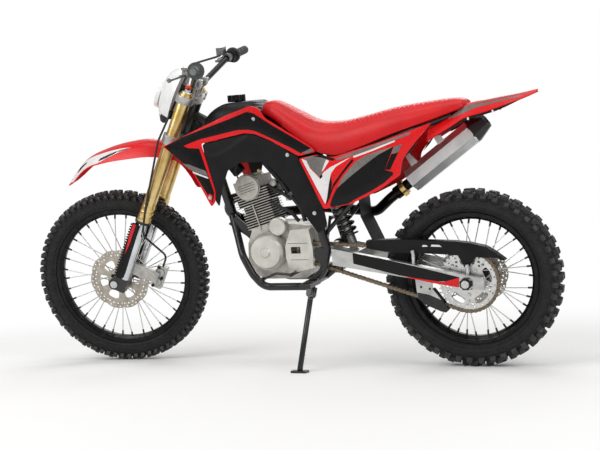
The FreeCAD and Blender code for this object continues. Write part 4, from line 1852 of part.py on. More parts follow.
SHIFT_LINE = [(-640.0, 366.0), (-700.0, 372.0), (-752.0, 352.0)]
SHIFT_SIDE = -144.0
SHIFT_RADIUS = 5.0
SHIFT_SHAFT_RADIUS = 7.0
SHIFT_SHAFT_END = 6.0
SHIFT_TOE_RADIUS = 8.0
SHIFT_TOE_OUT = 34.0
SHIFT_TOE_IN = 4.0
PEDAL_LINE = [(-590.0, 352.0), (-640.0, 336.0), (-740.0, 344.0)]
PEDAL_SPACE = 14.0
PEDAL_RADIUS = 7.0
PEDAL_PIVOT_RADIUS = 10.0
PEDAL_PIVOT_END = 6.0
PEDAL_TOE_RADIUS = 8.0
PEDAL_TOE_OUT = 36.0
PEDAL_TOE_IN = 4.0
KICK_LINE = [(-600.0, 440.0), (-588.0, 480.0), (-576.0, 540.0)]
KICK_SPACE = 26.0
KICK_SHAFT_RADIUS = 9.0
KICK_RADIUS = 6.0
KICK_TOE_RADIUS = 7.0
KICK_TOE_DROP = 10.0
KICK_TOE_OUT = 50.0
KICK_TOE_IN = 8.0


def shift_lever():
    shaft_x, shaft_z = SHIFT_LINE[0]
    toe_x, toe_z = SHIFT_LINE[-1]
    return joined([cross_rod(shaft_x, shaft_z, SHIFT_SIDE - SHIFT_SHAFT_END, CASE_LEFT, SHIFT_SHAFT_RADIUS),
                   side_rod(SHIFT_LINE, SHIFT_SIDE, SHIFT_RADIUS),
                   cross_rod(toe_x, toe_z, SHIFT_SIDE - SHIFT_TOE_OUT, SHIFT_SIDE + SHIFT_TOE_IN,
                             SHIFT_TOE_RADIUS)])


def brake_pedal():
    side = CRADLE_HALF_WIDTH + CRADLE_RADIUS + PEDAL_SPACE
    pivot_x, pivot_z = PEDAL_LINE[0]
    toe_x, toe_z = PEDAL_LINE[-1]
    return joined([side_rod(PEDAL_LINE, side, PEDAL_RADIUS),
                   cross_rod(pivot_x, pivot_z, CRADLE_HALF_WIDTH, side + PEDAL_PIVOT_END, PEDAL_PIVOT_RADIUS),
                   cross_rod(toe_x, toe_z, side - PEDAL_TOE_IN, side + PEDAL_TOE_OUT, PEDAL_TOE_RADIUS)])


def kick_starter():
    side = CASE_RIGHT + CLUTCH_DEPTH + KICK_SPACE
    shaft_x, shaft_z = KICK_LINE[0]
    toe_x, toe_z = KICK_LINE[-1]
    return joined([cross_rod(shaft_x, shaft_z, CASE_RIGHT, side, KICK_SHAFT_RADIUS),
                   side_rod(KICK_LINE, side - KICK_RADIUS, KICK_RADIUS),
                   cross_rod(toe_x, toe_z - KICK_TOE_DROP, side - KICK_TOE_IN, side + KICK_TOE_OUT,
                             KICK_TOE_RADIUS)])


def foot_levers():
    """Shift lever at the left, brake pedal and kick starter at the right."""
    return Part.Compound([shift_lever(), brake_pedal(), kick_starter()])


# Side stand
STAND_PIVOT_X = -574.0
STAND_PIVOT_SIDE = -132.0
STAND_PIVOT_Z = 292.0
STAND_SPLAY_ANGLE = 27.0
STAND_RAKE_ANGLE = 3.5
STAND_LEG_RADIUS = 10.0
STAND_PIN_RADIUS = 6.0
STAND_HEAD_RADIUS = 16.0
STAND_HEAD_WIDTH = 10.0
STAND_EAR_THICKNESS = 6.0
STAND_EAR_RISE = 26.0
STAND_FOOT_LENGTH = 58.0
STAND_FOOT_WIDTH = 34.0
STAND_FOOT_HEIGHT = 8.0
STAND_LEG_START_SHARE = 0.6
STAND_EAR_PLAY = 1.0
STAND_PIN_END = 3.0
STAND_CARRIER_RADIUS = 9.0
STAND_CARRIER_DROP = 4.0
STAND_PIVOT = point(STAND_PIVOT_X, STAND_PIVOT_SIDE, STAND_PIVOT_Z)
SPLAY_SINE = math.sin(math.radians(STAND_SPLAY_ANGLE))
SPLAY_COSINE = math.cos(math.radians(STAND_SPLAY_ANGLE))
STAND_DOWN = point(-math.sin(math.radians(STAND_RAKE_ANGLE)), -SPLAY_SINE, -SPLAY_COSINE)
STAND_DOWN.normalize()
STAND_AXIS = point(0, -SPLAY_COSINE, SPLAY_SINE)


def stand_leg(length):
    """Leg from its flat pivot head out to the floor; the head turns between the bracket's ears."""
    half = STAND_HEAD_WIDTH / 2
    start = STAND_PIVOT.sub(STAND_AXIS * half)
    head = rod(start, start.add(STAND_AXIS * STAND_HEAD_WIDTH), STAND_HEAD_RADIUS)
    leg = rod(STAND_PIVOT.add(STAND_DOWN * (STAND_HEAD_RADIUS * STAND_LEG_START_SHARE)),
              STAND_PIVOT.add(STAND_DOWN * length), STAND_LEG_RADIUS)
    ear_room = rod(STAND_PIVOT.sub(STAND_AXIS * OVERRUN), STAND_PIVOT.sub(STAND_AXIS * half),
                   STAND_HEAD_RADIUS + RUNNING_GAP)
    other_room = rod(STAND_PIVOT.add(STAND_AXIS * half), STAND_PIVOT.add(STAND_AXIS * OVERRUN),
                     STAND_HEAD_RADIUS + RUNNING_GAP)
    bore = rod(start, start.add(STAND_AXIS * STAND_HEAD_WIDTH), STAND_PIN_RADIUS + FIT_GAP)
    return joined([head, leg]).cut(ear_room).cut(other_room).cut(bore)


def stand_bracket():
    """Two ears and the pin for the stand's head, carried by a plate below the cradle."""
    half = STAND_HEAD_WIDTH / 2 + STAND_EAR_PLAY
    across = STAND_AXIS.cross(STAND_DOWN) * STAND_HEAD_RADIUS
    rise = STAND_DOWN * -STAND_EAR_RISE
    ears = []
    for low in (-half - STAND_EAR_THICKNESS, half):
        start = STAND_PIVOT.add(STAND_AXIS * low)
        ears.append(rod(start, start.add(STAND_AXIS * STAND_EAR_THICKNESS), STAND_HEAD_RADIUS))
        high = start.add(rise)
        corners = [start.sub(across), start.add(across), high.add(across), high.sub(across)]
        ears.append(polygon_face(corners).extrude(STAND_AXIS * STAND_EAR_THICKNESS))
    pin_end = STAND_AXIS * (half + STAND_EAR_THICKNESS + STAND_PIN_END)
    pin = rod(STAND_PIVOT.sub(pin_end), STAND_PIVOT.add(pin_end), STAND_PIN_RADIUS)
    top = STAND_PIVOT.add(rise).add(STAND_DOWN * STAND_CARRIER_DROP)
    cradle = point(CRADLE_REAR_X + CRADLE_RADIUS, -CRADLE_HALF_WIDTH, CRADLE_FLOOR + CRADLE_RADIUS)
    carrier = rod(top, cradle, STAND_CARRIER_RADIUS)
    head_room = rod(STAND_PIVOT.sub(STAND_AXIS * half), STAND_PIVOT.add(STAND_AXIS * half),
                    STAND_HEAD_RADIUS + PAD_SPACE).cut(pin)
    return joined(ears + [pin, carrier]).cut(head_room)


def front_tyre():
    return tyre(FRONT_AXLE, FRONT_TYRE_RADIUS, FRONT_TYRE_WIDTH, FRONT_BEAD_RADIUS, FRONT_FLANGE_RADIUS,
                FRONT_RIM_WIDTH, FRONT_LUG_ROWS, FRONT_LUG_HEIGHT)


def rear_tyre():
    return tyre(REAR_AXLE, REAR_TYRE_RADIUS, REAR_TYRE_WIDTH, REAR_BEAD_RADIUS, REAR_FLANGE_RADIUS,
                REAR_RIM_WIDTH, REAR_LUG_ROWS, REAR_LUG_HEIGHT)


def front_rim():
    return rim(FRONT_AXLE, FRONT_BEAD_RADIUS, FRONT_FLANGE_RADIUS, FRONT_RIM_WIDTH, FRONT_LUG_ROWS)


def rear_rim():
    return rim(REAR_AXLE, REAR_BEAD_RADIUS, REAR_FLANGE_RADIUS, REAR_RIM_WIDTH, REAR_LUG_ROWS)


def front_hub():
    sizes = (FRONT_HUB_BARREL_RADIUS, FRONT_HUB_FLANGE_RADIUS, FRONT_HUB_HALF_WIDTH,
             FRONT_AXLE_RADIUS + FIT_GAP)
    left = (FRONT_DISC_LINE - FIT_GAP, DISC_CARRIER_RADIUS)
    right = (FRONT_DISC_LINE, FRONT_HUB_BARREL_RADIUS)
    return laced_hub(FRONT_AXLE, FRONT_BEAD_RADIUS, FRONT_LUG_ROWS, sizes, left, right)


def rear_hub():
    sizes = (REAR_HUB_BARREL_RADIUS, REAR_HUB_FLANGE_RADIUS, REAR_HUB_HALF_WIDTH,
             REAR_AXLE_RADIUS + FIT_GAP)
    left = (rear_carrier(-1) - FIT_GAP, SPROCKET_CARRIER_RADIUS)
    right = (rear_carrier(1) - FIT_GAP, DISC_CARRIER_RADIUS)
    return laced_hub(REAR_AXLE, REAR_BEAD_RADIUS, REAR_LUG_ROWS, sizes, left, right)


def front_disc():
    line = -FRONT_DISC_LINE - DISC_THICKNESS
    return brake_disc(FRONT_AXLE, line, FRONT_DISC_RADIUS, FRONT_HUB_BARREL_RADIUS / 2)


def rear_disc():
    return brake_disc(REAR_AXLE, REAR_DISC_LINE, REAR_DISC_RADIUS, REAR_HUB_BARREL_RADIUS / 2)


# The parked stance: turn the steered pieces, lean the bike, and set both tyres on the floor
FRONT_WHEEL_NODES = {"front_tyre": front_tyre, "front_rim": front_rim, "front_hub": front_hub,
                     "front_disc": front_disc}
FORK_NODES = {"fork_tubes": fork_tubes, "fork_sliders": fork_sliders, "fork_guards": fork_guards,
              "triple_clamps": triple_clamps, "handlebar": handlebar, "grips": grips,
              "hand_controls": hand_controls, "front_axle": front_axle, "front_fender": front_fender,
              "headlight_mask": headlight_mask, "front_caliper": front_caliper, "brake_hose": brake_hose}
REAR_WHEEL_NODES = {"rear_tyre": rear_tyre, "rear_rim": rear_rim, "rear_hub": rear_hub,
                    "rear_sprocket": rear_sprocket, "rear_disc": rear_disc}
FRAME_NODES = {"frame_head": head_and_backbone, "engine_cradle": engine_cradle, "rear_spars": rear_spars,
               "subframe": subframe, "stand_bracket": stand_bracket, "swingarm": swingarm,
               "rear_axle": rear_axle, "rear_shock": shock, "rear_caliper": rear_caliper, "chain": chain,
               "chain_guard": chain_guard, "chain_guide": chain_guide, "crankcase": crankcase,
               "engine_covers": engine_covers, "cylinder": cylinder_barrel, "cylinder_head": cylinder_head,
               "carburettor": carburettor, "air_box": air_box, "exhaust_pipe": exhaust_pipe,
               "muffler": muffler, "fuel_tank": fuel_tank, "fuel_cap": fuel_cap, "seat": seat,
               "shroud_left": shroud_left, "shroud_right": shroud_right,
               "frame_cover_left": frame_cover_left, "frame_cover_right": frame_cover_right,
               "side_panel_left": side_panel_left, "side_panel_right": side_panel_right,
               "rear_fender": rear_fender, "inner_fender": inner_fender, "footpegs": footpegs,
               "foot_levers": foot_levers}


# Pieces that are shaped to sit against others: each is cut to fit the ones listed
TRIMMED_TO_FIT = {"engine_cradle": ["frame_head", "crankcase", "cylinder"],
                  "rear_spars": ["frame_head", "engine_cradle"],
                  "footpegs": ["rear_spars", "engine_cradle"],
                  "stand_bracket": ["rear_spars", "engine_cradle", "footpegs"],
                  "subframe": ["rear_spars"], "seat": ["subframe", "fuel_tank"],
                  "air_box": ["rear_spars", "subframe"],
                  "inner_fender": ["air_box", "subframe"], "rear_shock": ["swingarm", "rear_spars"],
                  "chain_guard": ["swingarm", "inner_fender"], "chain_guide": ["swingarm"],
                  "rear_caliper": ["rear_axle"], "engine_covers": ["crankcase", "cylinder"],
                  "carburettor": ["cylinder_head", "air_box"], "exhaust_pipe": ["cylinder_head", "muffler"],
                  "fuel_tank": ["frame_head", "rear_spars"], "shroud_left": ["fuel_tank"],
                  "shroud_right": ["fuel_tank"], "frame_cover_left": ["rear_spars"],
                  "frame_cover_right": ["rear_spars"], "side_panel_left": ["subframe"],
                  "side_panel_right": ["subframe"], "rear_fender": ["seat", "subframe"],
                  "foot_levers": ["crankcase", "engine_covers", "rear_spars", "engine_cradle"],
                  "hand_controls": ["handlebar"], "front_caliper": ["fork_sliders"],
                  "brake_hose": ["front_caliper", "hand_controls"]}


def steer_placement():
    turn = FreeCAD.Rotation(STEERING_AXIS, STEER_REST_ANGLE)
    return FreeCAD.Placement(ORIGIN, turn, STEERING_FOOT)


def lowest(shape, placement):
    return min(placement.multVec(vertex.Point).z for vertex in shape.Vertexes)


LEVELLING_ROUNDS = 5


def parked_placement(front, rear):
    """Lean about the bike's length, then pitch and lift until both tyres just reach the floor."""
    lean = FreeCAD.Placement(ORIGIN, FreeCAD.Rotation(REARWARD, LEAN_ANGLE))
    placement = lean
    for step in range(LEVELLING_ROUNDS):
        front_low = lowest(front, placement.multiply(steer_placement()))
        rear_low = lowest(rear, placement)
        pitch = math.degrees((rear_low - front_low) / WHEELBASE)
        correction = FreeCAD.Placement(point(0, 0, -rear_low), FreeCAD.Rotation(RIGHTWARD, pitch))
        placement = correction.multiply(placement)
    return placement


def side_stand(placement):
    """The stand with its foot, long enough to reach the floor in the parked stance."""
    pivot = placement.multVec(STAND_PIVOT)
    down = placement.Rotation.multVec(STAND_DOWN)
    length = (pivot.z - STAND_FOOT_HEIGHT) / -down.z
    leg = stand_leg(length)
    leg.Placement = placement.multiply(leg.Placement)
    end = pivot.add(down * length)
    foot = block(point(end.x - STAND_FOOT_LENGTH / 2, end.y - STAND_FOOT_WIDTH / 2, 0),
                 point(end.x + STAND_FOOT_LENGTH / 2, end.y + STAND_FOOT_WIDTH / 2, STAND_FOOT_HEIGHT))
    reach = point(OVERRUN, OVERRUN, 0)
    floor_place = point(end.x, end.y, 0)
    below = block(floor_place.sub(reach).sub(UPWARD * OVERRUN), floor_place.add(reach))
    return leg.fuse(foot).cut(below)


os.makedirs("parts", exist_ok=True)
shapes = {}
for nodes in (FRONT_WHEEL_NODES, FORK_NODES, REAR_WHEEL_NODES, FRAME_NODES):
    for name, build in nodes.items():
        shapes[name] = build()
for name, neighbours in TRIMMED_TO_FIT.items():
    for neighbour in neighbours:
        shapes[name] = shapes[name].cut(shapes[neighbour])
stance = parked_placement(shapes["front_tyre"], shapes["rear_tyre"])
turned_stance = stance.multiply(steer_placement())
for name, shape in shapes.items():
    steered_node = name in FRONT_WHEEL_NODES or name in FORK_NODES
    shape.Placement = (turned_stance if steered_node else stance).multiply(shape.Placement)
shapes["side_stand"] = side_stand(stance)
whole = FreeCAD.BoundBox()
for shape in shapes.values():
    whole.add(shape.BoundBox)
shift = point(-whole.Center.x, -whole.Center.y, 0)
for name, shape in shapes.items():
    shape.translate(shift)
    shape.exportStep("parts/" + name + ".step")
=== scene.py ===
import json
import math
import random

import bmesh
import bpy
from mathutils import Matrix, Vector


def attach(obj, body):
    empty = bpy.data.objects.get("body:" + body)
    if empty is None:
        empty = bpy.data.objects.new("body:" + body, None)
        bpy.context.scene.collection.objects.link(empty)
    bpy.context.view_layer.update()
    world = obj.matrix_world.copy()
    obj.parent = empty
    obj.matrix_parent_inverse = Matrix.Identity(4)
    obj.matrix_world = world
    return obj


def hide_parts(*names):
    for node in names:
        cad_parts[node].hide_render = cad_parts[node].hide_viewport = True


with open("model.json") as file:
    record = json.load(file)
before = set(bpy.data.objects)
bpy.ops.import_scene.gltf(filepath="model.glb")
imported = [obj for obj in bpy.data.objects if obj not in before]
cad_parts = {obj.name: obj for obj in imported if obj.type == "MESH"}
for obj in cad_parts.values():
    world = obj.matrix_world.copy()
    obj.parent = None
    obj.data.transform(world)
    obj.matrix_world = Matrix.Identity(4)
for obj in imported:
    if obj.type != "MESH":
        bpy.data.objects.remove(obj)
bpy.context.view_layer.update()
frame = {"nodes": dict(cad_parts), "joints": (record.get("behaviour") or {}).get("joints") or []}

# The parked bike. It leans on its side stand with the bars turned a little to the left. Pieces are
# drawn on the upright bike, straight ahead and in millimetres: +X to the rear, +Y to the bike's
# right, and the floor point below the rear axle at zero. The joints say how that bike is parked.
MM = 0.001
WHEELBASE = 1417.0
FRONT_RADIUS = 348.0
REAR_RADIUS = 320.0
RAKE = math.radians(26.5)
STEERING_OFFSET = 46.0
ACROSS = Vector((0, 1, 0))
UP = Vector((0, 0, 1))
STEM_UP = Vector((math.sin(RAKE), 0, math.cos(RAKE)))
STEM_AHEAD = Vector((-math.cos(RAKE), 0, math.sin(RAKE)))
REAR_AXLE = Vector((0, 0, REAR_RADIUS))
FRONT_AXLE = Vector((-WHEELBASE, 0, FRONT_RADIUS))
STEM_FOOT = FRONT_AXLE - STEM_AHEAD * STEERING_OFFSET
joints = {joint["name"]: joint for joint in frame["joints"]}


def axes_from(along, across):
    """Columns of a turned set of axes, from one direction in the bike's middle plane and one across it."""
    first = along.normalized()
    second = across.normalized()
    return Matrix((first, second, first.cross(second))).transposed()


def parked_matrix():
    """Turns metres on the upright bike into metres where the bike stands parked."""
    rear = Vector(joints["rear_wheel_spin"]["pos_m"])
    foot = Vector(joints["steering"]["pos_m"])
    across = Vector(joints["rear_wheel_spin"]["axis"])
    turn = axes_from(rear - foot, across) @ axes_from(REAR_AXLE - STEM_FOOT, ACROSS).transposed()
    return Matrix.Translation(rear) @ turn.to_4x4() @ Matrix.Translation(-REAR_AXLE * MM)


def steered_matrix(parked):
    """As above for the pieces that turn with the bars, by the angle that the front axle shows."""
    axle = parked.to_3x3().transposed() @ Vector(joints["front_wheel_spin"]["axis"])
    angle = math.atan2(ACROSS.cross(axle).dot(STEM_UP), ACROSS.dot(axle))
    foot = Matrix.Translation(STEM_FOOT * MM)
    return parked @ foot @ Matrix.Rotation(angle, 4, STEM_UP) @ foot.inverted()


PARKED = parked_matrix()
STEERED = steered_matrix(PARKED)


def on_stem(up, ahead=0.0, side=0.0):
    """A point of the fork: up along the steering axis, ahead of it and to one side."""
    return STEM_FOOT + STEM_UP * up + STEM_AHEAD * ahead + ACROSS * side


# The view: from the bike's left, a little ahead of it, with the lens at hub height.
VIEW_AZIMUTH = math.radians(21.66)
VIEW_ELEVATION = math.radians(1.24)
VIEW_ROLL = math.radians(-2.17)
VIEW_DISTANCE = 4469.0
VIEW_AIM = Vector((-673.2, 63.6, 518.3))
IMAGE_WIDTH = 600
FOCAL_PIXELS = 1174.7
SENSOR_WIDTH = 36.0
back = Vector((math.sin(VIEW_AZIMUTH) * math.cos(VIEW_ELEVATION),
               -math.cos(VIEW_AZIMUTH) * math.cos(VIEW_ELEVATION), math.sin(VIEW_ELEVATION)))
level = UP.cross(back).normalized()
upright_side = back.cross(level)
turned_x = level * math.cos(VIEW_ROLL) + upright_side * math.sin(VIEW_ROLL)
turned_y = back.cross(turned_x)
lens = bpy.data.cameras.new("camera")
lens.sensor_width = SENSOR_WIDTH
lens.lens = FOCAL_PIXELS / IMAGE_WIDTH * SENSOR_WIDTH
camera = bpy.data.objects.new("camera", lens)
bpy.context.scene.collection.objects.link(camera)
camera.matrix_world = (Matrix.Translation(PARKED @ (VIEW_AIM * MM) + back * VIEW_DISTANCE * MM)
                       @ Matrix((turned_x, turned_y, back)).transposed().to_4x4())
bpy.context.scene.camera = camera
bpy.context.scene.view_settings.view_transform = "Standard"


def add_node(tree, kind, links=None, **settings):
    """Adds a node with its settings; links gives its inputs a value or another node's output."""
    made = tree.nodes.new(kind)
    for name, value in settings.items():
        setattr(made, name, value)
    for name, value in (links or {}).items():
        if isinstance(value, bpy.types.NodeSocket):
            tree.links.new(value, made.inputs[name])
        else:
            made.inputs[name].default_value = value
    return made


def linear(colour, alpha=1.0):
    """Linear light for an sRGB hex colour."""
    shares = [int(colour[place:place + 2], 16) / 255 for place in (1, 3, 5)]
    return [share / 12.92 if share <= 0.04045 else ((share + 0.055) / 1.055) ** 2.4
            for share in shares] + [alpha]


# The studio: a white sweep. The floor near the bike takes its shadow and fades into the white
# behind it. Soft boxes above and to both sides give the plastics and metals their long highlights.
FLOOR_SIZE = 60.0
FLOOR_PLAIN_RADIUS = 1.35
FLOOR_FADE_RADIUS = 2.6
FLOOR_PAINT = "#fbfbfa"
SKY_LIGHT = 0.42
LIGHT_AIM = Vector((0, 0, 0.5))
SOFT_BOXES = [("key_box", (-1.9, -3.0, 3.1), 3.2, 1.6, 74.0),
              ("rear_box", (2.9, -1.6, 2.3), 2.4, 1.4, 30.0),
              ("far_box", (-0.6, 3.4, 2.6), 3.4, 1.6, 48.0),
              ("top_box", (0.1, -0.2, 3.8), 3.0, 2.0, 34.0)]

bpy.ops.mesh.primitive_plane_add(size=FLOOR_SIZE)
floor = bpy.context.object
floor.name = "floor"
sweep = bpy.data.materials.new("matt_white_painted_floor")
sweep.use_nodes = True
tree = sweep.node_tree
tree.nodes.clear()
place = add_node(tree, "ShaderNodeTexCoord")
distance = add_node(tree, "ShaderNodeVectorMath", {0: place.outputs["Object"]}, operation="LENGTH")
fade = add_node(tree, "ShaderNodeMapRange", {"Value": distance.outputs["Value"],
                                             "From Min": FLOOR_PLAIN_RADIUS, "From Max": FLOOR_FADE_RADIUS},
                interpolation_type="SMOOTHSTEP")
path = add_node(tree, "ShaderNodeLightPath")
seen = add_node(tree, "ShaderNodeMath",
                {0: path.outputs["Is Camera Ray"], 1: path.outputs["Is Glossy Ray"]}, operation="MAXIMUM")
share = add_node(tree, "ShaderNodeMath", {0: fade.outputs["Result"], 1: seen.outputs["Value"]},
                 operation="MULTIPLY")
paint = add_node(tree, "ShaderNodeBsdfDiffuse", {"Color": linear(FLOOR_PAINT)})
glow = add_node(tree, "ShaderNodeEmission", {"Color": (1, 1, 1, 1), "Strength": 1.0})
mixed = add_node(tree, "ShaderNodeMixShader", {0: share.outputs["Value"], 1: paint.outputs["BSDF"],
                                               2: glow.outputs["Emission"]})
add_node(tree, "ShaderNodeOutputMaterial", {"Surface": mixed.outputs["Shader"]})
floor.data.materials.append(sweep)

world = bpy.data.worlds.new("white_studio")
world.use_nodes = True
tree = world.node_tree
tree.nodes.clear()
path = add_node(tree, "ShaderNodeLightPath")
dim = add_node(tree, "ShaderNodeBackground", {"Color": (1, 1, 1, 1), "Strength": SKY_LIGHT})
white = add_node(tree, "ShaderNodeBackground", {"Color": (1, 1, 1, 1), "Strength": 1.0})
mixed = add_node(tree, "ShaderNodeMixShader",
                 {0: path.outputs["Is Camera Ray"], 1: dim.outputs["Background"],
                  2: white.outputs["Background"]})
add_node(tree, "ShaderNodeOutputWorld", {"Surface": mixed.outputs["Shader"]})
bpy.context.scene.world = world

for name, spot, wide, tall, power in SOFT_BOXES:
    light = bpy.data.lights.new(name, "AREA")
    light.shape = "RECTANGLE"
    light.size = wide
    light.size_y = tall
    light.energy = power
    box = bpy.data.objects.new(name, light)
    bpy.context.scene.collection.objects.link(box)
    box.location = spot
    box.rotation_euler = (LIGHT_AIM - box.location).to_track_quat("-Z", "Y").to_euler()

# Tyres: knobbly motocross covers of natural rubber, cured in a two-piece mould. The sidewall has the
# mould's fine ridges, and each knob tapers a little so that it leaves the mould.
TYRE_STEPS = 192
RIDGE_HEIGHT = 0.9
KNOB_TAPER = 0.86
KNOB_CHAMFER = 1.6
KNOB_SINK = 3.0
BLACK_RUBBER = "#121212"
GREY_RUBBER = "#1f1f1f"
DUSTY_RUBBER = "#3b3b3a"


def joined_forms(forms):
    """One list of points and one of faces from several."""
    points, faces = [], []
    for more_points, more_faces in forms:
        first = len(points)
        points.extend(more_points)
        faces.extend([tuple(first + index for index in face) for face in more_faces])
    return points, faces


def skin(rings, closed=True, looped=False, capped=False):
    """A skin through rings of equally many points: closed round each ring, looped from last to first."""
    count = len(rings[0])
    points = [point for ring in rings for point in ring]
    faces = []
    for number in range(len(rings) if looped else len(rings) - 1):
        here, there = number * count, (number + 1) % len(rings) * count
        for index in range(count if closed else count - 1):
            following = (index + 1) % count
            faces.append((here + index, here + following, there + following, there + index))
    if capped:
        faces.append(tuple(reversed(range(count))))
        faces.append(tuple((len(rings) - 1) * count + index for index in range(count)))
    return points, faces


def about_axle(side, radius, angle):
    """A point of a wheel: to the right of its middle, and out from its axle at an angle from the top."""
    return Vector((radius * math.sin(angle), side, radius * math.cos(angle)))


def revolved(profile, steps):
    """A closed profile of (side, radius) pairs turned about the axle."""
    rings = [[about_axle(side, radius, 2 * math.pi * step / steps) for side, radius in profile]
             for step in range(steps)]
    return skin(rings, looped=True)


def moved(form, matrix):
    points, faces = form
    return [matrix @ Vector(point) for point in points], faces


def piece(name, form, body, finishes, sharp=40.0, edge=0.0, place=None):
    """Puts a drawn form on the parked bike as a piece that moves with a body."""
    mesh = bpy.data.meshes.new(name)
    points, faces = form
    mesh.from_pydata([Vector(point) * MM for point in points], [], faces)
    shape = bmesh.new()
    shape.from_mesh(mesh)
    bmesh.ops.recalc_face_normals(shape, faces=shape.faces)
    shape.to_mesh(mesh)
    shape.free()
    mesh.shade_smooth()
    mesh.set_sharp_from_angle(angle=math.radians(sharp))
    made = bpy.data.objects.new(name, mesh)
    bpy.context.scene.collection.objects.link(made)
    if place is None:
        place = STEERED if body in ("fork", "front_wheel") else PARKED
    made.matrix_world = place
    for finish in finishes:
        mesh.materials.append(finish)
    if edge:
        soften(made, edge)
    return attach(made, body)


def soften(made, edge, angle=32.0):
    """Rounds a piece's sharp edges by a real radius, as every moulded or machined edge is."""
    bevel = made.modifiers.new("rounded_edges", "BEVEL")
    bevel.width = edge * MM
    bevel.segments = 2
    bevel.limit_method = "ANGLE"
    bevel.angle_limit = math.radians(angle)
    bevel.harden_normals = True
    return made


def finish(name, **settings):
    """A new material, its node tree and its shader, with the settings that are the same all over."""
    made = bpy.data.materials.new(name)
    made.use_nodes = True
    shader = made.node_tree.nodes["Principled BSDF"]
    for setting, value in settings.items():
        shader.inputs[setting.replace("_", " ")].default_value = value
    return made, made.node_tree, shader


def per_metre(size):
    """The scale that makes a pattern repeat at a real size in millimetres."""
    return 1 / (size * MM)


def mottle(tree, size, detail=3.0, roughness=0.5, stretch=None):
    """A cloudy pattern of a real size, fixed to the piece; stretch draws it out along the piece's axes."""
    place = add_node(tree, "ShaderNodeTexCoord").outputs["Object"]
    if stretch:
        place = add_node(tree, "ShaderNodeMapping", {"Vector": place, "Scale": stretch}).outputs["Vector"]
    return add_node(tree, "ShaderNodeTexNoise", {"Vector": place, "Scale": per_metre(size), "Detail": detail,
                                                 "Roughness": roughness}).outputs["Fac"]


def blended(tree, share, low, high, start=0.35, end=0.65):
    """Two colours, or two numbers, blended by a pattern between two of its values."""
    ramp = add_node(tree, "ShaderNodeMapRange", {"Value": share, "From Min": start, "From Max": end})
    if isinstance(low, str):
        return add_node(tree, "ShaderNodeMix", {0: ramp.outputs["Result"], 6: linear(low), 7: linear(high)},
                        data_type="RGBA").outputs[2]
    ramp.inputs["To Min"].default_value = low
    ramp.inputs["To Max"].default_value = high
    return ramp.outputs["Result"]


def relief(tree, shader, pattern, depth, strength=1.0):
    """Raises a pattern on the surface by a real depth in millimetres."""
    bump = add_node(tree, "ShaderNodeBump", {"Height": pattern, "Distance": depth * MM, "Strength": strength})
    tree.links.new(bump.outputs["Normal"], shader.inputs["Normal"])


def material(name, colour, roughness, bumps=None, **settings):
    """A material whose colour and roughness each drift between two values. Bumps have a depth in
    millimetres and a strength. After each pair come its pattern's size in millimetres and detail."""
    made, tree, shader = finish(name, **settings)
    for values, socket in ((colour, "Base Color"), (roughness, "Roughness")):
        low, high, *pattern = values
        tree.links.new(blended(tree, mottle(tree, *pattern), low, high), shader.inputs[socket])
    if bumps:
        depth, strength, *pattern = bumps
        relief(tree, shader, mottle(tree, *pattern), depth, strength)
    return made


# Cured rubber: matt black, a little grey where the mould left it rough and where dust has caught.
tread_rubber = material("cured_natural_rubber", (BLACK_RUBBER, GREY_RUBBER, 38.0, 5.0, 0.6),
                        (0.56, 0.78, 9.0), (0.25, 0.6, 0.9, 4.0, 0.7), IOR=1.52, Specular_IOR_Level=0.35)

# The knobs' rubber has the dry grey bloom of a new tyre.
knob_rubber, tree, shader = finish("bloomed_tread_rubber", IOR=1.52)
tree.links.new(blended(tree, mottle(tree, 14.0, 5.0, 0.6), GREY_RUBBER, DUSTY_RUBBER, 0.42, 0.72),
               shader.inputs["Base Color"])
tree.links.new(blended(tree, mottle(tree, 6.0), 0.42, 0.60), shader.inputs["Roughness"])
relief(tree, shader, mottle(tree, 0.8, 4.0, 0.7), 0.3, 0.7)


def tyre_half(crown, width, bead, flange, rim_width):
    """The cover's outer line from its bead to the middle of the crown, with the sidewall's ridges."""
    low = flange + 1.0
    rise = crown - low
    line = [(rim_width / 2 - 3.8, bead), (rim_width / 2 - 3.8, low), (rim_width / 2 + 1.5, low + 1.2)]
    bulge = [(0.43, 0.12), (0.472, 0.22), (0.492, 0.33), (0.50, 0.44), (0.496, 0.56), (0.478, 0.68),
             (0.440, 0.80), (0.375, 0.90), (0.285, 0.955), (0.18, 0.985), (0.08, 0.998)]
    for across, up in bulge:
        line.append((width * across, low + rise * up))
    ridged = []
    for number, (side, radius) in enumerate(line):
        ridged.append((side, radius))
        if 3 <= number <= 5:
            ridged += [(side + RIDGE_HEIGHT, radius + 1.4), (side + RIDGE_HEIGHT, radius + 2.8),
                       (side + 0.2, radius + 4.0)]
    return ridged


def tread_knob(angle, side, radius, size, lean):
    """One knob: a tapered block with a chamfered top, leaned out with the crown it stands on."""
    length, width, height = size
    rings = []
    for up, share in ((-KNOB_SINK, 1.0), (height - KNOB_CHAMFER, KNOB_TAPER),
                      (height, KNOB_TAPER - 2 * KNOB_CHAMFER / max(length, width))):
        half_length, half_width = length / 2 * share, width / 2 * share
        corners = ((-half_length, -half_width), (half_length, -half_width), (half_length, half_width),
                   (-half_length, half_width))
        rings.append([Vector((x, y, up)) for x, y in corners])
    form = skin(rings, capped=True)
    turn = (Matrix.Rotation(angle, 4, "Y") @ Matrix.Translation((0, side, radius))
            @ Matrix.Rotation(lean, 4, "X"))
    return moved(form, turn)


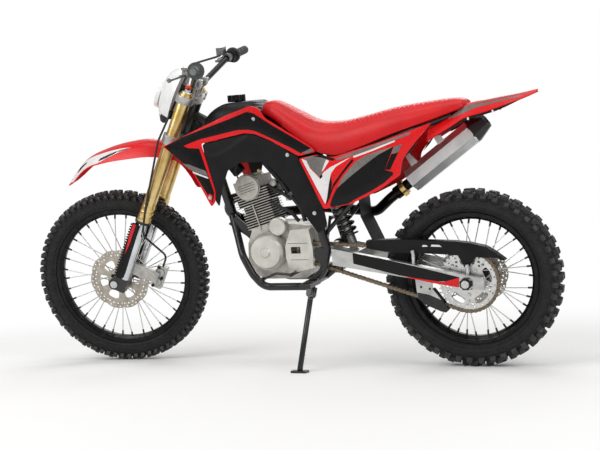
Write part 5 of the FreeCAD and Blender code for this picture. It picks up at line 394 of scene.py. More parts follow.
# Knobs by rows: a wide knob with a pair beside it, by turns with one pair, and a shoulder pair in both.
# Each is: its shift as a share of the pitch; its place across and its drop below the crown as shares of
# the width; its length, width and height as shares of the pitch, width and tread depth; and its lean.
WIDE_KNOB = (0.0, 0.0, 0.0, 0.66, 0.27, 1.0, 0.0)
OUTER_KNOB = (0.16, 0.30, 0.035, 0.60, 0.15, 0.98, 0.36)
INNER_KNOB = (0.0, 0.145, 0.004, 0.60, 0.165, 1.0, 0.10)
SHOULDER_KNOB = (0.5, 0.405, 0.125, 0.52, 0.16, 0.95, 0.84)
KNOB_ROWS = ((WIDE_KNOB, OUTER_KNOB, SHOULDER_KNOB), (INNER_KNOB, SHOULDER_KNOB))
KNOB_SCATTER = 0.02


def tread(width, rows, height, crown, rng):
    """All knobs of a tyre; each row is a little out of its place."""
    knobs = []
    pitch = 2 * math.pi / rows
    length = pitch * crown
    for row in range(rows):
        angle = pitch * row + rng.uniform(-KNOB_SCATTER, KNOB_SCATTER) * pitch
        for shift, across, drop, long, wide, tall, lean in KNOB_ROWS[row % 2]:
            for hand in (-1, 1) if across else (1,):
                knobs.append(tread_knob(angle + pitch * shift, hand * width * across, crown - width * drop,
                                        (length * long, width * wide, height * tall), -hand * lean))
    return joined_forms(knobs)


FRONT_TYRE_WIDTH = 84.0
REAR_TYRE_WIDTH = 108.0
FRONT_KNOB_HEIGHT = 12.0
REAR_KNOB_HEIGHT = 15.0
FRONT_KNOB_ROWS = 70
REAR_KNOB_ROWS = 44
rng = random.Random(11)
for name, axle, outer, width, bead, flange, rim_width, rows, height in (
        ("front", FRONT_AXLE, FRONT_RADIUS, FRONT_TYRE_WIDTH, 267.0, 275.0, 50.0, FRONT_KNOB_ROWS,
         FRONT_KNOB_HEIGHT),
        ("rear", REAR_AXLE, REAR_RADIUS, REAR_TYRE_WIDTH, 228.0, 237.0, 62.0, REAR_KNOB_ROWS,
         REAR_KNOB_HEIGHT)):
    crown = outer - height
    half = tyre_half(crown, width - height, bead, flange, rim_width)
    profile = [(-side, radius) for side, radius in half] + half[::-1]
    on_axle = Matrix.Translation(axle)
    cover = piece(name + "_tyre_cover", moved(revolved(profile, TYRE_STEPS), on_axle), name + "_wheel",
                  [tread_rubber])
    knobs = piece(name + "_tyre_knobs", moved(tread(width, rows, height, crown, rng), on_axle),
                  name + "_wheel", [knob_rubber], sharp=25.0)
    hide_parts(name + "_tyre")

# Rims, hubs and spokes: drop-centre aluminium rims anodised black, machined alloy hubs painted
# black, and stainless spokes laced three-cross into black nipples. The solids have their shape.
RIM_BLACK = "#141415"
HUB_BLACK = "#1b1b1c"
SPOKE_STEEL = "#d0d0ce"
FRONT_HUB_REACH = 47.0
REAR_HUB_REACH = 60.0
FRONT_NIPPLE_START = 222.0
REAR_NIPPLE_START = 183.0


def cad_piece(name, *finishes, edge=0.0, angle=32.0):
    """Gives a solid its finish; its edges are welded and rounded by a real radius."""
    made = frame["nodes"][name]
    made.data.materials.clear()
    for each in finishes:
        made.data.materials.append(each)
    if edge:
        weld = made.modifiers.new("welded_edges", "WELD")
        weld.merge_threshold = 0.02 * MM
        soften(made, edge, angle)
    return made


def painted_faces(made, chooser, place):
    """Gives each face of a solid the finish that a rule picks from the face's place on the upright bike."""
    back_upright = place.inverted()
    for face in made.data.polygons:
        face.material_index = chooser(back_upright @ face.center / MM)


# Black anodised aluminium: a satin skin that keeps the fine turning lines of the rolled section.
black_anodised = material("black_anodised_aluminium", (RIM_BLACK, "#222223", 22.0), (0.26, 0.38, 5.0),
                          Metallic=0.75, Specular_IOR_Level=0.6)

# Black paint on cast alloy: slightly open grain below a soft gloss.
painted_alloy = material("black_painted_cast_aluminium", (HUB_BLACK, "#262627", 12.0), (0.38, 0.52, 3.0),
                         (0.12, 0.5, 1.4, 4.0), Coat_Weight=0.3, Coat_Roughness=0.3)

# Drawn stainless wire: bright, with the long scratches of the die.
drawn_steel = material("drawn_stainless_steel", (SPOKE_STEEL, "#e0e0dd", 16.0), (0.24, 0.36, 2.0),
                       Metallic=1.0)

for name, axle, hub_reach, nipple_start in (("front", FRONT_AXLE, FRONT_HUB_REACH, FRONT_NIPPLE_START),
                                            ("rear", REAR_AXLE, REAR_HUB_REACH, REAR_NIPPLE_START)):
    cad_piece(name + "_rim", black_anodised, edge=0.8)
    hub = cad_piece(name + "_hub", drawn_steel, painted_alloy)

    def hub_or_spoke(point, axle=axle, hub_reach=hub_reach, nipple_start=nipple_start):
        out = math.hypot(point.x - axle.x, point.z - axle.z)
        return 1 if out < hub_reach or out > nipple_start else 0

    painted_faces(hub, hub_or_spoke, STEERED if name == "front" else PARKED)


# Brake discs: stainless plates, laser-cut with a wavy edge and drilled so that they clear mud and
# cool, then ground flat on a rotary table. Each is bolted to its hub with six black screws.
DISC_THICKNESS = 3.5
DISC_STEPS = 240
DISC_WAVES = 10
DISC_WAVE_DEPTH = 5.0
DISC_STEEL = "#9c958a"
DISC_DRILL = 3.4
# The drilled holes of one wave: turn from its middle, and share of the way out to the rim.
DISC_DRILLINGS = [(-0.17, 0.75), (0.0, 0.80), (0.17, 0.75), (-0.09, 0.42), (0.09, 0.42), (-0.26, 0.38),
                  (0.26, 0.38)]
FRONT_DISC = {"axle": FRONT_AXLE, "body": "front_wheel", "side": -57.5, "radius": 120.0, "inner": 86.0,
              "hub": 40.0}
REAR_DISC = {"axle": REAR_AXLE, "body": "rear_wheel", "side": 64.0, "radius": 112.0, "inner": 79.0,
             "hub": 40.0}


def plate_from(rim_line, holes, side, thickness):
    """A flat plate across the axle: an outer line less its holes, each line a list of (x, z) places."""
    shape = bmesh.new()
    edges = []
    for line in [rim_line] + holes:
        corners = [shape.verts.new((x, side, z)) for x, z in line]
        edges += [shape.edges.new((corners[index - 1], corners[index])) for index in range(len(corners))]
    bmesh.ops.triangle_fill(shape, edges=edges, use_beauty=True, normal=(0, -1, 0))
    flat = list(shape.faces)
    grown = bmesh.ops.extrude_face_region(shape, geom=flat)
    raised = [item for item in grown["geom"] if isinstance(item, bmesh.types.BMVert)]
    bmesh.ops.translate(shape, verts=raised, vec=(0, thickness, 0))
    shape.verts.index_update()
    points = [vertex.co.copy() for vertex in shape.verts]
    faces = [tuple(vertex.index for vertex in face.verts) for face in shape.faces]
    shape.free()
    return points, faces


def round_line(x, z, radius, steps, squash=1.0, turn=0.0):
    """Places round a hole; squash makes it a slot that lies along the turn."""
    line = []
    for step in range(steps):
        angle = 2 * math.pi * step / steps
        along, over = radius * math.cos(angle), radius * squash * math.sin(angle)
        line.append((x + along * math.cos(turn) + over * math.sin(turn),
                     z - along * math.sin(turn) + over * math.cos(turn)))
    return line


def out_at(angle, radius):
    return radius * math.sin(angle), radius * math.cos(angle)


def arc_window(inner, outer, start, end, steps):
    """The outline of an opening between two radii and two angles, its corners rounded."""
    line = []
    mid = (inner + outer) / 2
    for radius, first, last in ((outer, start, end), (inner, end, start)):
        for step in range(steps + 1):
            angle = first + (last - first) * step / steps
            ease = min(step, steps - step) / steps
            line.append(out_at(angle, mid + (radius - mid) * min(1.0, 0.62 + ease * 2.2)))
    return line


def disc_plate(radius, inner, hub):
    rim_line = []
    for step in range(DISC_STEPS):
        angle = 2 * math.pi * step / DISC_STEPS
        swell = abs(math.sin(angle * DISC_WAVES / 2)) ** 0.6
        rim_line.append(out_at(angle, radius - DISC_WAVE_DEPTH * (1 - swell)))
    holes = []
    for wave in range(DISC_WAVES):
        middle = 2 * math.pi * (wave + 0.5) / DISC_WAVES
        for turn, out in DISC_DRILLINGS:
            holes.append(round_line(*out_at(middle + turn, inner + (radius - inner) * out), DISC_DRILL, 10))
    for arm in range(6):
        start = 2 * math.pi * arm / 6 + 0.20
        holes.append(arc_window(hub + 9.0, inner - 4.0, start, start + 2 * math.pi / 6 - 0.40, 8))
    holes.append(round_line(0, 0, hub / 4, 36))
    return rim_line, holes


# Ground stainless steel: rings of fine grinding scratches round the axle, and a straw tinge.
ground_steel, tree, shader = finish("ground_stainless_steel", Metallic=1.0)
place = add_node(tree, "ShaderNodeTexCoord").outputs["Object"]
rings = add_node(tree, "ShaderNodeTexNoise", {"Vector": place, "Scale": per_metre(1.2), "Detail": 5.0})
tree.links.new(blended(tree, mottle(tree, 26.0), DISC_STEEL, "#b9b2a7"), shader.inputs["Base Color"])
tree.links.new(blended(tree, rings.outputs["Fac"], 0.26, 0.42), shader.inputs["Roughness"])
relief(tree, shader, rings.outputs["Fac"], 0.06, 0.5)

# Black phosphated screws: dry, dark, a little brown where oil stays in the crystals.
phosphated = material("phosphated_steel_screws", ("#1c1b1a", "#33302c", 5.0), (0.35, 0.5, 2.0),
                      Metallic=0.7)

# Zinc-plated screws: pale, faintly blue, finely brushed by their tumbling.
zinc_plated = material("zinc_plated_steel", ("#b4b6b8", "#dcdcda", 6.0), (0.22, 0.4, 1.5), Metallic=1.0)


def side_screw(x, z, side, radius, hand, flange=1.35):
    """A flanged hexagon head that stands on a face seen from the side; hand is -1 at the left."""
    height = radius * 0.9

    def ring(up, share, shape):
        return [(x + radius * share * out * math.cos(angle), side + hand * height * up,
                 z + radius * share * out * math.sin(angle)) for out, angle in zip(shape, CIRCLE_12)]

    base = [ring(up, flange, ROUND_SHAPE) for up in (0.0, 0.22)]
    head = [ring(up, share, HEX_SHAPE) for up, share in ((0.2, 1.0), (0.86, 1.0), (1.0, 0.88))]
    return joined_forms([skin(base, capped=True), skin(head, capped=True)])


CIRCLE_12 = [2 * math.pi * n / 12 for n in range(12)]
ROUND_SHAPE = [1.0] * 12
HEX_SHAPE = [1.0 if n % 2 == 0 else math.cos(math.pi / 6) for n in range(12)]

for name, disc in (("front", FRONT_DISC), ("rear", REAR_DISC)):
    rim_line, holes = disc_plate(disc["radius"], disc["inner"], disc["hub"])
    on_axle = Matrix.Translation(disc["axle"])
    plate = plate_from(rim_line, holes, disc["side"], DISC_THICKNESS)
    made = piece(name + "_brake_disc", moved(plate, on_axle), disc["body"], [ground_steel], sharp=30.0)
    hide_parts(name + "_disc")
    hand = -1 if disc["side"] < 0 else 1
    face = disc["side"] + (DISC_THICKNESS if hand > 0 else 0)
    heads = []
    for number in range(6):
        x, z = out_at(2 * math.pi * number / 6, disc["hub"] - 8.0)
        heads.append(side_screw(x, z, face, 5.2, hand))
    piece(name + "_disc_screws", moved(joined_forms(heads), on_axle), disc["body"], [phosphated])

# Rear sprocket: aluminium plate, machined and hard anodised silver, with lightening holes and slots.
SPROCKET_TEETH = 42
CHAIN_PITCH = 15.875
CHAIN_LINE = -76.0
SPROCKET_THICKNESS = 6.0
SPROCKET_ALLOY = "#c9cac8"
SPROCKET_SCREWS_OUT = 47.0
# One tooth's line: share of a tooth along the pitch circle, and distance out from it.
SPROCKET_TOOTH = [(-0.5, -3.9), (-0.36, -3.2), (-0.24, -0.6), (-0.14, 2.6), (-0.05, 4.0), (0.05, 4.0),
                  (0.14, 2.6), (0.24, -0.6), (0.36, -3.2)]


def sprocket_lines():
    """The toothed outer line, with round roots between the teeth, and the openings in the plate."""
    pitch_radius = CHAIN_PITCH * SPROCKET_TEETH / (2 * math.pi)
    rim_line = []
    for tooth in range(SPROCKET_TEETH):
        for share, out in SPROCKET_TOOTH:
            rim_line.append(out_at(2 * math.pi * (tooth + share) / SPROCKET_TEETH, pitch_radius + out))
    holes = []
    for number in range(5):
        middle = 2 * math.pi * number / 5
        holes.append(arc_window(60.0, 84.0, middle - 0.36, middle + 0.36, 8))
        for turn, out, size in ((0.52, 80.0, 5.0), (-0.52, 80.0, 5.0), (0.63, 68.0, 4.0)):
            holes.append(round_line(*out_at(middle + turn, out), size, 12))
    for number in range(20):
        holes.append(round_line(*out_at(2 * math.pi * (number + 0.5) / 20, 93.0), 3.2, 10))
    holes.append(round_line(0, 0, 30.0, 48))
    return rim_line, holes


# Hard anodised aluminium: pale satin grey, the milling marks still to be seen across it.
MILLING_MARKS = (1.6, 3.0, 0.5, (1.0, 1.0, 0.12))
milled_alloy = material("hard_anodised_aluminium", (SPROCKET_ALLOY, "#dcdcd9", 20.0),
                        (0.28, 0.42, *MILLING_MARKS), (0.05, 0.4, *MILLING_MARKS), Metallic=0.9)

rim_line, holes = sprocket_lines()
sprocket_side = CHAIN_LINE - SPROCKET_THICKNESS / 2
on_axle = Matrix.Translation(REAR_AXLE)
plate = plate_from(rim_line, holes, sprocket_side, SPROCKET_THICKNESS)
sprocket = piece("rear_sprocket_plate", moved(plate, on_axle), "rear_wheel", [milled_alloy], sharp=30.0,
                 edge=0.5)
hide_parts("rear_sprocket")
heads = [side_screw(*out_at(2 * math.pi * (number + 0.5) / 5, SPROCKET_SCREWS_OUT), sprocket_side, 6.0, -1)
         for number in range(5)]
piece("sprocket_screws", moved(joined_forms(heads), on_axle), "rear_wheel", [zinc_plated])

# Chain: 520 roller chain. Outer and inner pairs of waisted steel plates take turns, each pair pressed
# on two pins or bushes with a roller between. It lies on both sprockets' pitch circles.
FRONT_SPROCKET = Vector((-600.0, 0, 441.0))
FRONT_SPROCKET_TEETH = 13
CHAIN_INNER_WIDTH = 9.0
CHAIN_PLATE = 1.9
CHAIN_PLATE_DEPTH = 13.4
CHAIN_STEEL = "#6f6152"
CHAIN_ROLLER_RADIUS = 4.9
CHAIN_PIN_RADIUS = 2.5
CHAIN_PIN_END = 0.8


def chain_places():
    """Pin places, evenly spaced round the closed line over both sprockets."""
    front_radius = CHAIN_PITCH * FRONT_SPROCKET_TEETH / (2 * math.pi)
    rear_radius = CHAIN_PITCH * SPROCKET_TEETH / (2 * math.pi)
    run = Vector((REAR_AXLE.x - FRONT_SPROCKET.x, REAR_AXLE.z - FRONT_SPROCKET.z))
    slope = math.atan2(run.y, run.x)
    wrap = math.asin((rear_radius - front_radius) / run.length)
    straight = math.sqrt(run.length ** 2 - (rear_radius - front_radius) ** 2)
    rear_arc = (math.pi + 2 * wrap) * rear_radius
    front_arc = (math.pi - 2 * wrap) * front_radius
    total = 2 * straight + rear_arc + front_arc
    count = 2 * round(total / CHAIN_PITCH / 2)
    top = slope + math.pi / 2 + wrap
    low = slope - math.pi / 2 - wrap

    def around(centre, radius, angle):
        return Vector((centre.x + radius * math.cos(angle), CHAIN_LINE, centre.z + radius * math.sin(angle)))

    places = []
    for number in range(count):
        along = total * number / count
        if along < straight:
            places.append(around(FRONT_SPROCKET, front_radius, top).lerp(
                around(REAR_AXLE, rear_radius, top), along / straight))
            continue
        along -= straight
        if along < rear_arc:
            places.append(around(REAR_AXLE, rear_radius, top - along / rear_radius))
            continue
        along -= rear_arc
        if along < straight:
            places.append(around(REAR_AXLE, rear_radius, low).lerp(
                around(FRONT_SPROCKET, front_radius, low), along / straight))
            continue
        along -= straight
        places.append(around(FRONT_SPROCKET, front_radius, low - along / front_radius))
    return places


def waisted_plate(start, end, side, thickness):
    """One link plate: two round ends and a narrower waist, cut from strip steel."""
    middle = (start + end) / 2
    angle = math.atan2(end.z - start.z, end.x - start.x)
    half = CHAIN_PITCH / 2
    big = CHAIN_PLATE_DEPTH / 2
    line = []
    for hand in (1, -1):
        for step in range(7):
            turn = -1.9 + 3.8 * step / 6
            line.append((hand * (half + big * math.cos(turn)), hand * big * math.sin(turn)))
        line.append((0.0, hand * big * 0.72))
    rings = []
    for shift, share in ((0.0, 0.94), (0.35, 1.0), (thickness - 0.35, 1.0), (thickness, 0.94)):
        ring = []
        for along, over in line:
            along, over = along * share, over * share
            ring.append(Vector((middle.x + along * math.cos(angle) - over * math.sin(angle), side + shift,
                                middle.z + along * math.sin(angle) + over * math.cos(angle))))
        rings.append(ring)
    return skin(rings, capped=True)


def cross_pin(centre, low, high, radius, steps=12):
    """A round pin or tube across the bike."""
    rings = [[(centre.x + radius * math.cos(2 * math.pi * step / steps), side,
               centre.z + radius * math.sin(2 * math.pi * step / steps)) for step in range(steps)]
             for side in (low, high)]
    return skin(rings, capped=True)


# Oiled chain steel: browned plates with brighter worn edges.
oiled_steel = material("oiled_chain_steel", (CHAIN_STEEL, "#857a6a", 7.0, 4.0), (0.28, 0.46, 2.0),
                       Metallic=0.9)

pins = chain_places()
links = []
half = CHAIN_INNER_WIDTH / 2
pin_half = half + 2 * CHAIN_PLATE + CHAIN_PIN_END
for number, start in enumerate(pins):
    end = pins[(number + 1) % len(pins)]
    shift = CHAIN_PLATE if number % 2 else 0.0
    for side in (CHAIN_LINE - half - CHAIN_PLATE - shift, CHAIN_LINE + half + shift):
        links.append(waisted_plate(start, end, side, CHAIN_PLATE - 0.1))
    links.append(cross_pin(start, CHAIN_LINE - half, CHAIN_LINE + half, CHAIN_ROLLER_RADIUS))
    links.append(cross_pin(start, CHAIN_LINE - pin_half, CHAIN_LINE + pin_half, CHAIN_PIN_RADIUS, 8))
drive_chain = piece("drive_chain_links", joined_forms(links), "frame", [oiled_steel], sharp=35.0)
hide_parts("chain")

# Shrouds, frame covers and side panels: thin shells moulded in polypropylene, with a slight crown and
# rounded edges. They overlap: the shroud lies over the frame cover. Screws hold them to tank and frame.
PANEL_THICKNESS = 3.5
PANEL_TILT = 0.12
PANEL_BASE_Z = 633.0
PANEL_STEP = 11.0
PANEL_CORNER = 9.0
PANEL_CROWN = 3.0
CROWN_WIDTH = 34.0
PANEL_EDGE = 1.0
FILM_LIFT = 0.45
FILM_LAYER = 0.3
LEFT_TO_RIGHT = Matrix.Diagonal((1, -1, 1, 1))
RED_PLASTIC = "#d8070f"
SHROUD_PLAN = [(-1096, -226), (-1000, -216), (-900, -200), (-750, -172), (-600, -150), (-480, -140)]
SHROUD_OUTLINE = [(-1088, 864), (-842, 961), (-751, 989), (-721, 976), (-700, 940), (-530, 824),
                  (-516, 808), (-581, 796), (-684, 859), (-740, 886), (-777, 892), (-940, 865),
                  (-893, 690), (-894, 653), (-909, 633), (-985, 783)]


def eased_line(corners, radius, steps=4):
    """An outline whose corners are rounded by up to a radius."""
    line = []
    count = len(corners)
    for index in range(count):
        before, here, after = (Vector(corners[(index + shift) % count]) for shift in (-1, 0, 1))
        start = here + (before - here).normalized() * min(radius, (before - here).length / 2)
        end = here + (after - here).normalized() * min(radius, (after - here).length / 2)
        for step in range(steps + 1):
            share = step / steps
            line.append(start.lerp(here, share).lerp(here.lerp(end, share), share))
    return [place for index, place in enumerate(line) if (place - line[index - 1]).length > 0.05]


def spline(places, x):
    """A smooth line through (x, value) places that rise in x."""
    last = len(places) - 1
    index = next((number for number in range(1, last) if x <= places[number][0]), last)
    (x_low, low), (x_high, high) = places[index - 1], places[index]

    def slope(number):
        before, after = places[max(number - 1, 0)], places[min(number + 1, last)]
        return (after[1] - before[1]) / (after[0] - before[0])

    run = x_high - x_low
    t = min(1.0, max(0.0, (x - x_low) / run))
    bend = t * t * (3 - 2 * t)
    return (low * (1 - bend) + high * bend + run * slope(index - 1) * t * (1 - t) ** 2
            - run * slope(index) * t * t * (1 - t))


def line_distance(outline, x, z):
    """The distance from a place to the nearest side of an outline."""
    here = Vector((x, z))
    nearest = 1e9
    for index in range(len(outline)):
        start, end = Vector(outline[index - 1]), Vector(outline[index])
        side = end - start
        share = min(1.0, max(0.0, (here - start).dot(side) / max(side.length_squared, 1e-9)))
        nearest = min(nearest, (start + side * share - here).length)
    return nearest


def inside(outline, x, z):
    """Whether a place lies within an outline."""
    within = False
    for index in range(len(outline)):
        (x_a, z_a), (x_b, z_b) = outline[index - 1], outline[index]
        if (z_a > z) != (z_b > z) and x < x_a + (z - z_a) / (z_b - z_a) * (x_b - x_a):
            within = not within
    return within


def sheet(outline, surface, low, high, step=PANEL_STEP):
    """A sheet with an outline seen from the side, cut along a grid and laid on a surface."""
    shape = bmesh.new()
    shape.faces.new([shape.verts.new((x, 0, z)) for x, z in outline])
    for axis, direction in ((0, (1, 0, 0)), (1, (0, 0, 1))):
        values = [place[axis] for place in outline]
        first = math.floor(min(values) / step) + 1
        for number in range(first, math.ceil(max(values) / step)):
            cut = Vector(direction) * (number * step)
            bmesh.ops.bisect_plane(shape, geom=shape.verts[:] + shape.edges[:] + shape.faces[:], dist=0.01,
                                   plane_co=cut, plane_no=direction)
    shape.verts.index_update()
    count = len(shape.verts)
    points = [surface(vertex.co.x, vertex.co.z, high) for vertex in shape.verts]
    points += [surface(vertex.co.x, vertex.co.z, low) for vertex in shape.verts]
    faces = []
    for face in shape.faces:
        around = [vertex.index for vertex in face.verts]
        faces.append(tuple(around))
        faces.append(tuple(count + index for index in reversed(around)))
    for edge in shape.edges:
        if edge.is_boundary:
            a, b = (vertex.index for vertex in edge.verts)
            faces.append((a, b, count + b, count + a))
    shape.free()
    return points, faces


def panel_surface(outline, plan, inset=0.0, crown=PANEL_CROWN, fields=()):
    """How a left panel's face lies: its plan line and slant, falling in towards its edges. A field is an
    area with its height above the face and the width of its slope."""
    def place(x, z, lift):
        edge = min(1.0, line_distance(outline, x, z) / CROWN_WIDTH)
        side = spline(plan, x) + PANEL_TILT * (z - PANEL_BASE_Z) + inset + crown * (1 - edge) ** 2
        for field, height, width in fields:
            if inside(field, x, z):
                share = min(1.0, line_distance(field, x, z) / width)
                side -= height * share * share * (3 - 2 * share)
        return Vector((x, side - lift, z))

    return place


def both_sides(name, form, body, finishes, nodes=(), slot=None, **settings):
    """The left piece and its mirror image on the right."""
    for side, shape in (("left", form), ("right", moved(form, LEFT_TO_RIGHT))):
        made = piece(name + "_" + side, shape, body, finishes, **settings)
        if nodes:
            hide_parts(nodes[0 if side == "left" else 1])


def films(name, surface, areas, body="frame"):
    """Cut vinyl films on a panel: each area is a finish, its layer and its outline."""
    by_finish = {}
    for vinyl, layer, outline in areas:
        low = FILM_LIFT + FILM_LAYER * (layer - 1)
        form = sheet(eased_line(outline, 3.0, 2), surface, low - FILM_LAYER, low)
        by_finish.setdefault(vinyl.name, (vinyl, []))[1].append(form)
    for number, (vinyl, forms) in enumerate(by_finish.values()):
        both_sides("%s_film_%d" % (name, number), joined_forms(forms), body, [vinyl])


# Injection-moulded polypropylene, coloured right through: semi-gloss, with a faint orange peel.
red_plastic = material("injection_moulded_red_plastic", (RED_PLASTIC, "#e00e16", 120.0),
                       (0.26, 0.36, 9.0), (0.05, 0.3, 5.0), IOR=1.49, Specular_IOR_Level=0.35,
                       Coat_Weight=0.06, Coat_Roughness=0.12)

# The same plastic in black, its mould etched with a fine leather grain.
black_plastic, tree, shader = finish("grained_black_plastic", IOR=1.49, Specular_IOR_Level=0.2)
place = add_node(tree, "ShaderNodeTexCoord").outputs["Object"]
grain = add_node(tree, "ShaderNodeTexVoronoi", {"Vector": place, "Scale": per_metre(2.2)})
tree.links.new(blended(tree, mottle(tree, 60.0), "#101011", "#18181a"), shader.inputs["Base Color"])
tree.links.new(blended(tree, mottle(tree, 7.0), 0.42, 0.56), shader.inputs["Roughness"])
relief(tree, shader, grain.outputs["Distance"], 0.06, 0.2)

# Printed vinyl under a clear laminate: deep, even colour with a sharp gloss.
black_film = material("black_laminated_vinyl", ("#0a0a0b", "#0f0f10", 90.0), (0.22, 0.32, 14.0), IOR=1.5,
                      Specular_IOR_Level=0.2, Coat_Weight=0.05, Coat_Roughness=0.06)
grey_film, tree, shader = finish("grey_laminated_vinyl", IOR=1.5, Coat_Weight=0.2, Coat_Roughness=0.06)
tree.links.new(blended(tree, mottle(tree, 70.0), "#64605c", "#7b7773", 0.3, 0.7), shader.inputs["Base Color"])
tree.links.new(blended(tree, mottle(tree, 14.0), 0.22, 0.32), shader.inputs["Roughness"])
white_film = material("white_laminated_vinyl", ("#dedcda", "#e9e7e6", 70.0), (0.22, 0.32, 14.0), IOR=1.5,
                      Coat_Weight=0.2, Coat_Roughness=0.06)
red_film = material("red_laminated_vinyl", ("#d8070f", "#e00e16", 70.0), (0.22, 0.32, 14.0), IOR=1.5,
                    Specular_IOR_Level=0.35, Coat_Weight=0.06, Coat_Roughness=0.06)

shroud_line = eased_line(SHROUD_OUTLINE, PANEL_CORNER)
shroud_face = panel_surface(shroud_line, SHROUD_PLAN)
both_sides("shroud_shell", sheet(shroud_line, shroud_face, -PANEL_THICKNESS, 0.0), "frame", [red_plastic],
           nodes=("shroud_left", "shroud_right"), slot="red_plastic", edge=PANEL_EDGE)

# The shroud's films: a black blade edged in red, with grey slashes across the lower wing.
SHROUD_BLADE = [(-1080, 863), (-1010, 894), (-838, 944), (-764, 968), (-741, 961), (-678, 916), (-533, 822),
                (-572, 806), (-607, 828), (-731, 894), (-759, 903), (-802, 905), (-945, 881), (-1005, 862),
                (-990, 853), (-946, 848), (-897, 684), (-903, 648), (-976, 771), (-1050, 834)]
SHROUD_BAR = [(-1012, 798), (-990, 794), (-925, 766), (-917, 746), (-950, 759), (-985, 774)]
SHROUD_BAR_LINE = [(-976, 768), (-917, 743), (-915, 736), (-972, 760)]
SHROUD_TIP_BAR = [(-566, 808), (-533, 821), (-522, 813), (-548, 803)]
SHROUD_EYE = [(-926, 668), (-915, 683), (-903, 676), (-905, 655), (-916, 655)]
films("shroud", shroud_face, [(black_film, 1, SHROUD_BLADE), (grey_film, 2, SHROUD_BAR),
                              (grey_film, 2, SHROUD_TIP_BAR), (white_film, 3, SHROUD_BAR_LINE),
                              (red_film, 2, SHROUD_EYE)])

# Frame covers: one facet above a crease sits deeper, and a ridge follows the engine opening. The right
# one ends higher, clear of the exhaust pipe.
FRAME_COVER_OUTLINE = [(-938, 862), (-777, 889), (-745, 884), (-688, 857), (-585, 792), (-497, 604),
                       (-486, 545), (-520, 515), (-572, 592), (-624, 686), (-684, 759), (-719, 784),
                       (-800, 786), (-846, 762), (-871, 690), (-882, 632), (-896, 655)]
RIGHT_COVER_OUTLINE = FRAME_COVER_OUTLINE[:6] + [(-576, 604)] + FRAME_COVER_OUTLINE[9:]
COVER_FACET = [(-960, 880), (-935, 829), (-899, 814), (-844, 834), (-772, 880), (-772, 900), (-960, 900)]
COVER_RIDGE = [(-560, 640), (-520, 660), (-478, 560), (-470, 500), (-540, 500)]
cover_inset = PANEL_THICKNESS + 0.6
for side, outline in (("left", FRAME_COVER_OUTLINE), ("right", RIGHT_COVER_OUTLINE)):
    cover_line = eased_line(outline, PANEL_CORNER)
    cover_face = panel_surface(cover_line, SHROUD_PLAN, cover_inset, PANEL_CROWN,
                               [(COVER_FACET, -3.0, 7.0), (COVER_RIDGE, -2.4, 5.0)])
    form = sheet(cover_line, cover_face, -PANEL_THICKNESS, 0.0, 8.0)
    if side == "right":
        form = moved(form, LEFT_TO_RIGHT)
    made = piece("frame_cover_shell_" + side, form, "frame", [black_plastic], edge=PANEL_EDGE)
    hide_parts("frame_cover_" + side)

# Side panels below the seat: red shells almost covered by their films.
SIDE_PANEL_OUTLINE = [(-490, 604), (-577, 788), (-512, 798), (-450, 786), (-276, 829), (-85, 886),
                      (-146, 823), (-194, 765), (-206, 710), (-282, 663), (-388, 618)]
SIDE_PANEL_PLAN = [(-600, -158), (-480, -152), (-380, -150), (-230, -146), (-60, -140)]
side_line = eased_line(SIDE_PANEL_OUTLINE, PANEL_CORNER)
side_face = panel_surface(side_line, SIDE_PANEL_PLAN)
both_sides("side_panel_shell", sheet(side_line, side_face, -PANEL_THICKNESS, 0.0), "frame", [red_plastic],
           nodes=("side_panel_left", "side_panel_right"), slot="red_plastic", edge=PANEL_EDGE)
PANEL_FILMS = [
    (white_film, 1, [(-566, 787), (-546, 779), (-535, 752), (-498, 713), (-485, 734), (-458, 752),
                     (-379, 784), (-438, 752), (-456, 731), (-466, 694), (-475, 644), (-483, 622)]),
    (grey_film, 1, [(-556, 790), (-520, 795), (-471, 781), (-489, 734), (-498, 716), (-535, 755)]),
    (white_film, 2, [(-473, 780), (-462, 774), (-485, 741), (-492, 737)]),
    (black_film, 2, [(-524, 794), (-490, 797), (-440, 781), (-446, 773), (-487, 786)]),
    (black_film, 2, [(-498, 724), (-491, 728), (-488, 720), (-499, 711)]),
    (grey_film, 1, [(-437, 780), (-363, 803), (-270, 827), (-163, 857), (-162, 850), (-271, 818),
                    (-370, 788), (-431, 774)]),
    (white_film, 2, [(-373, 786), (-304, 806), (-218, 833), (-217, 828), (-304, 799), (-369, 780)]),
    (black_film, 1, [(-457, 730), (-455, 690), (-464, 645), (-479, 618), (-475, 644), (-465, 694)]),
    (black_film, 1, [(-376, 777), (-370, 771), (-416, 722), (-451, 677), (-472, 630), (-464, 657),
                     (-450, 692), (-416, 733)]),
    (grey_film, 1, [(-364, 766), (-331, 784), (-281, 799), (-224, 812), (-282, 785), (-322, 759),
                    (-373, 724), (-436, 678), (-416, 712)]),
    (black_film, 1, [(-438, 675), (-373, 724), (-322, 759), (-282, 785), (-223, 811), (-237, 781),
                     (-258, 732), (-229, 724), (-229, 714), (-263, 687), (-310, 662), (-377, 632),
                     (-397, 620), (-460, 610), (-466, 616), (-457, 641)]),
    (grey_film, 1, [(-222, 811), (-192, 819), (-206, 793), (-216, 789), (-232, 787)]),
    (black_film, 1, [(-232, 786), (-216, 788), (-206, 792), (-229, 750), (-238, 732), (-257, 733)])]
films("side_panel", side_face, PANEL_FILMS)

# A black film painted as the shade in the slit where the side panel ends over the tail's bracket.
TAIL_SLIT_SHADE = [(-136, 826), (-149, 816), (-168, 797), (-188, 768), (-160, 795)]
films("tail_slit_shade", side_face, [(black_film, 1, TAIL_SLIT_SHADE)])

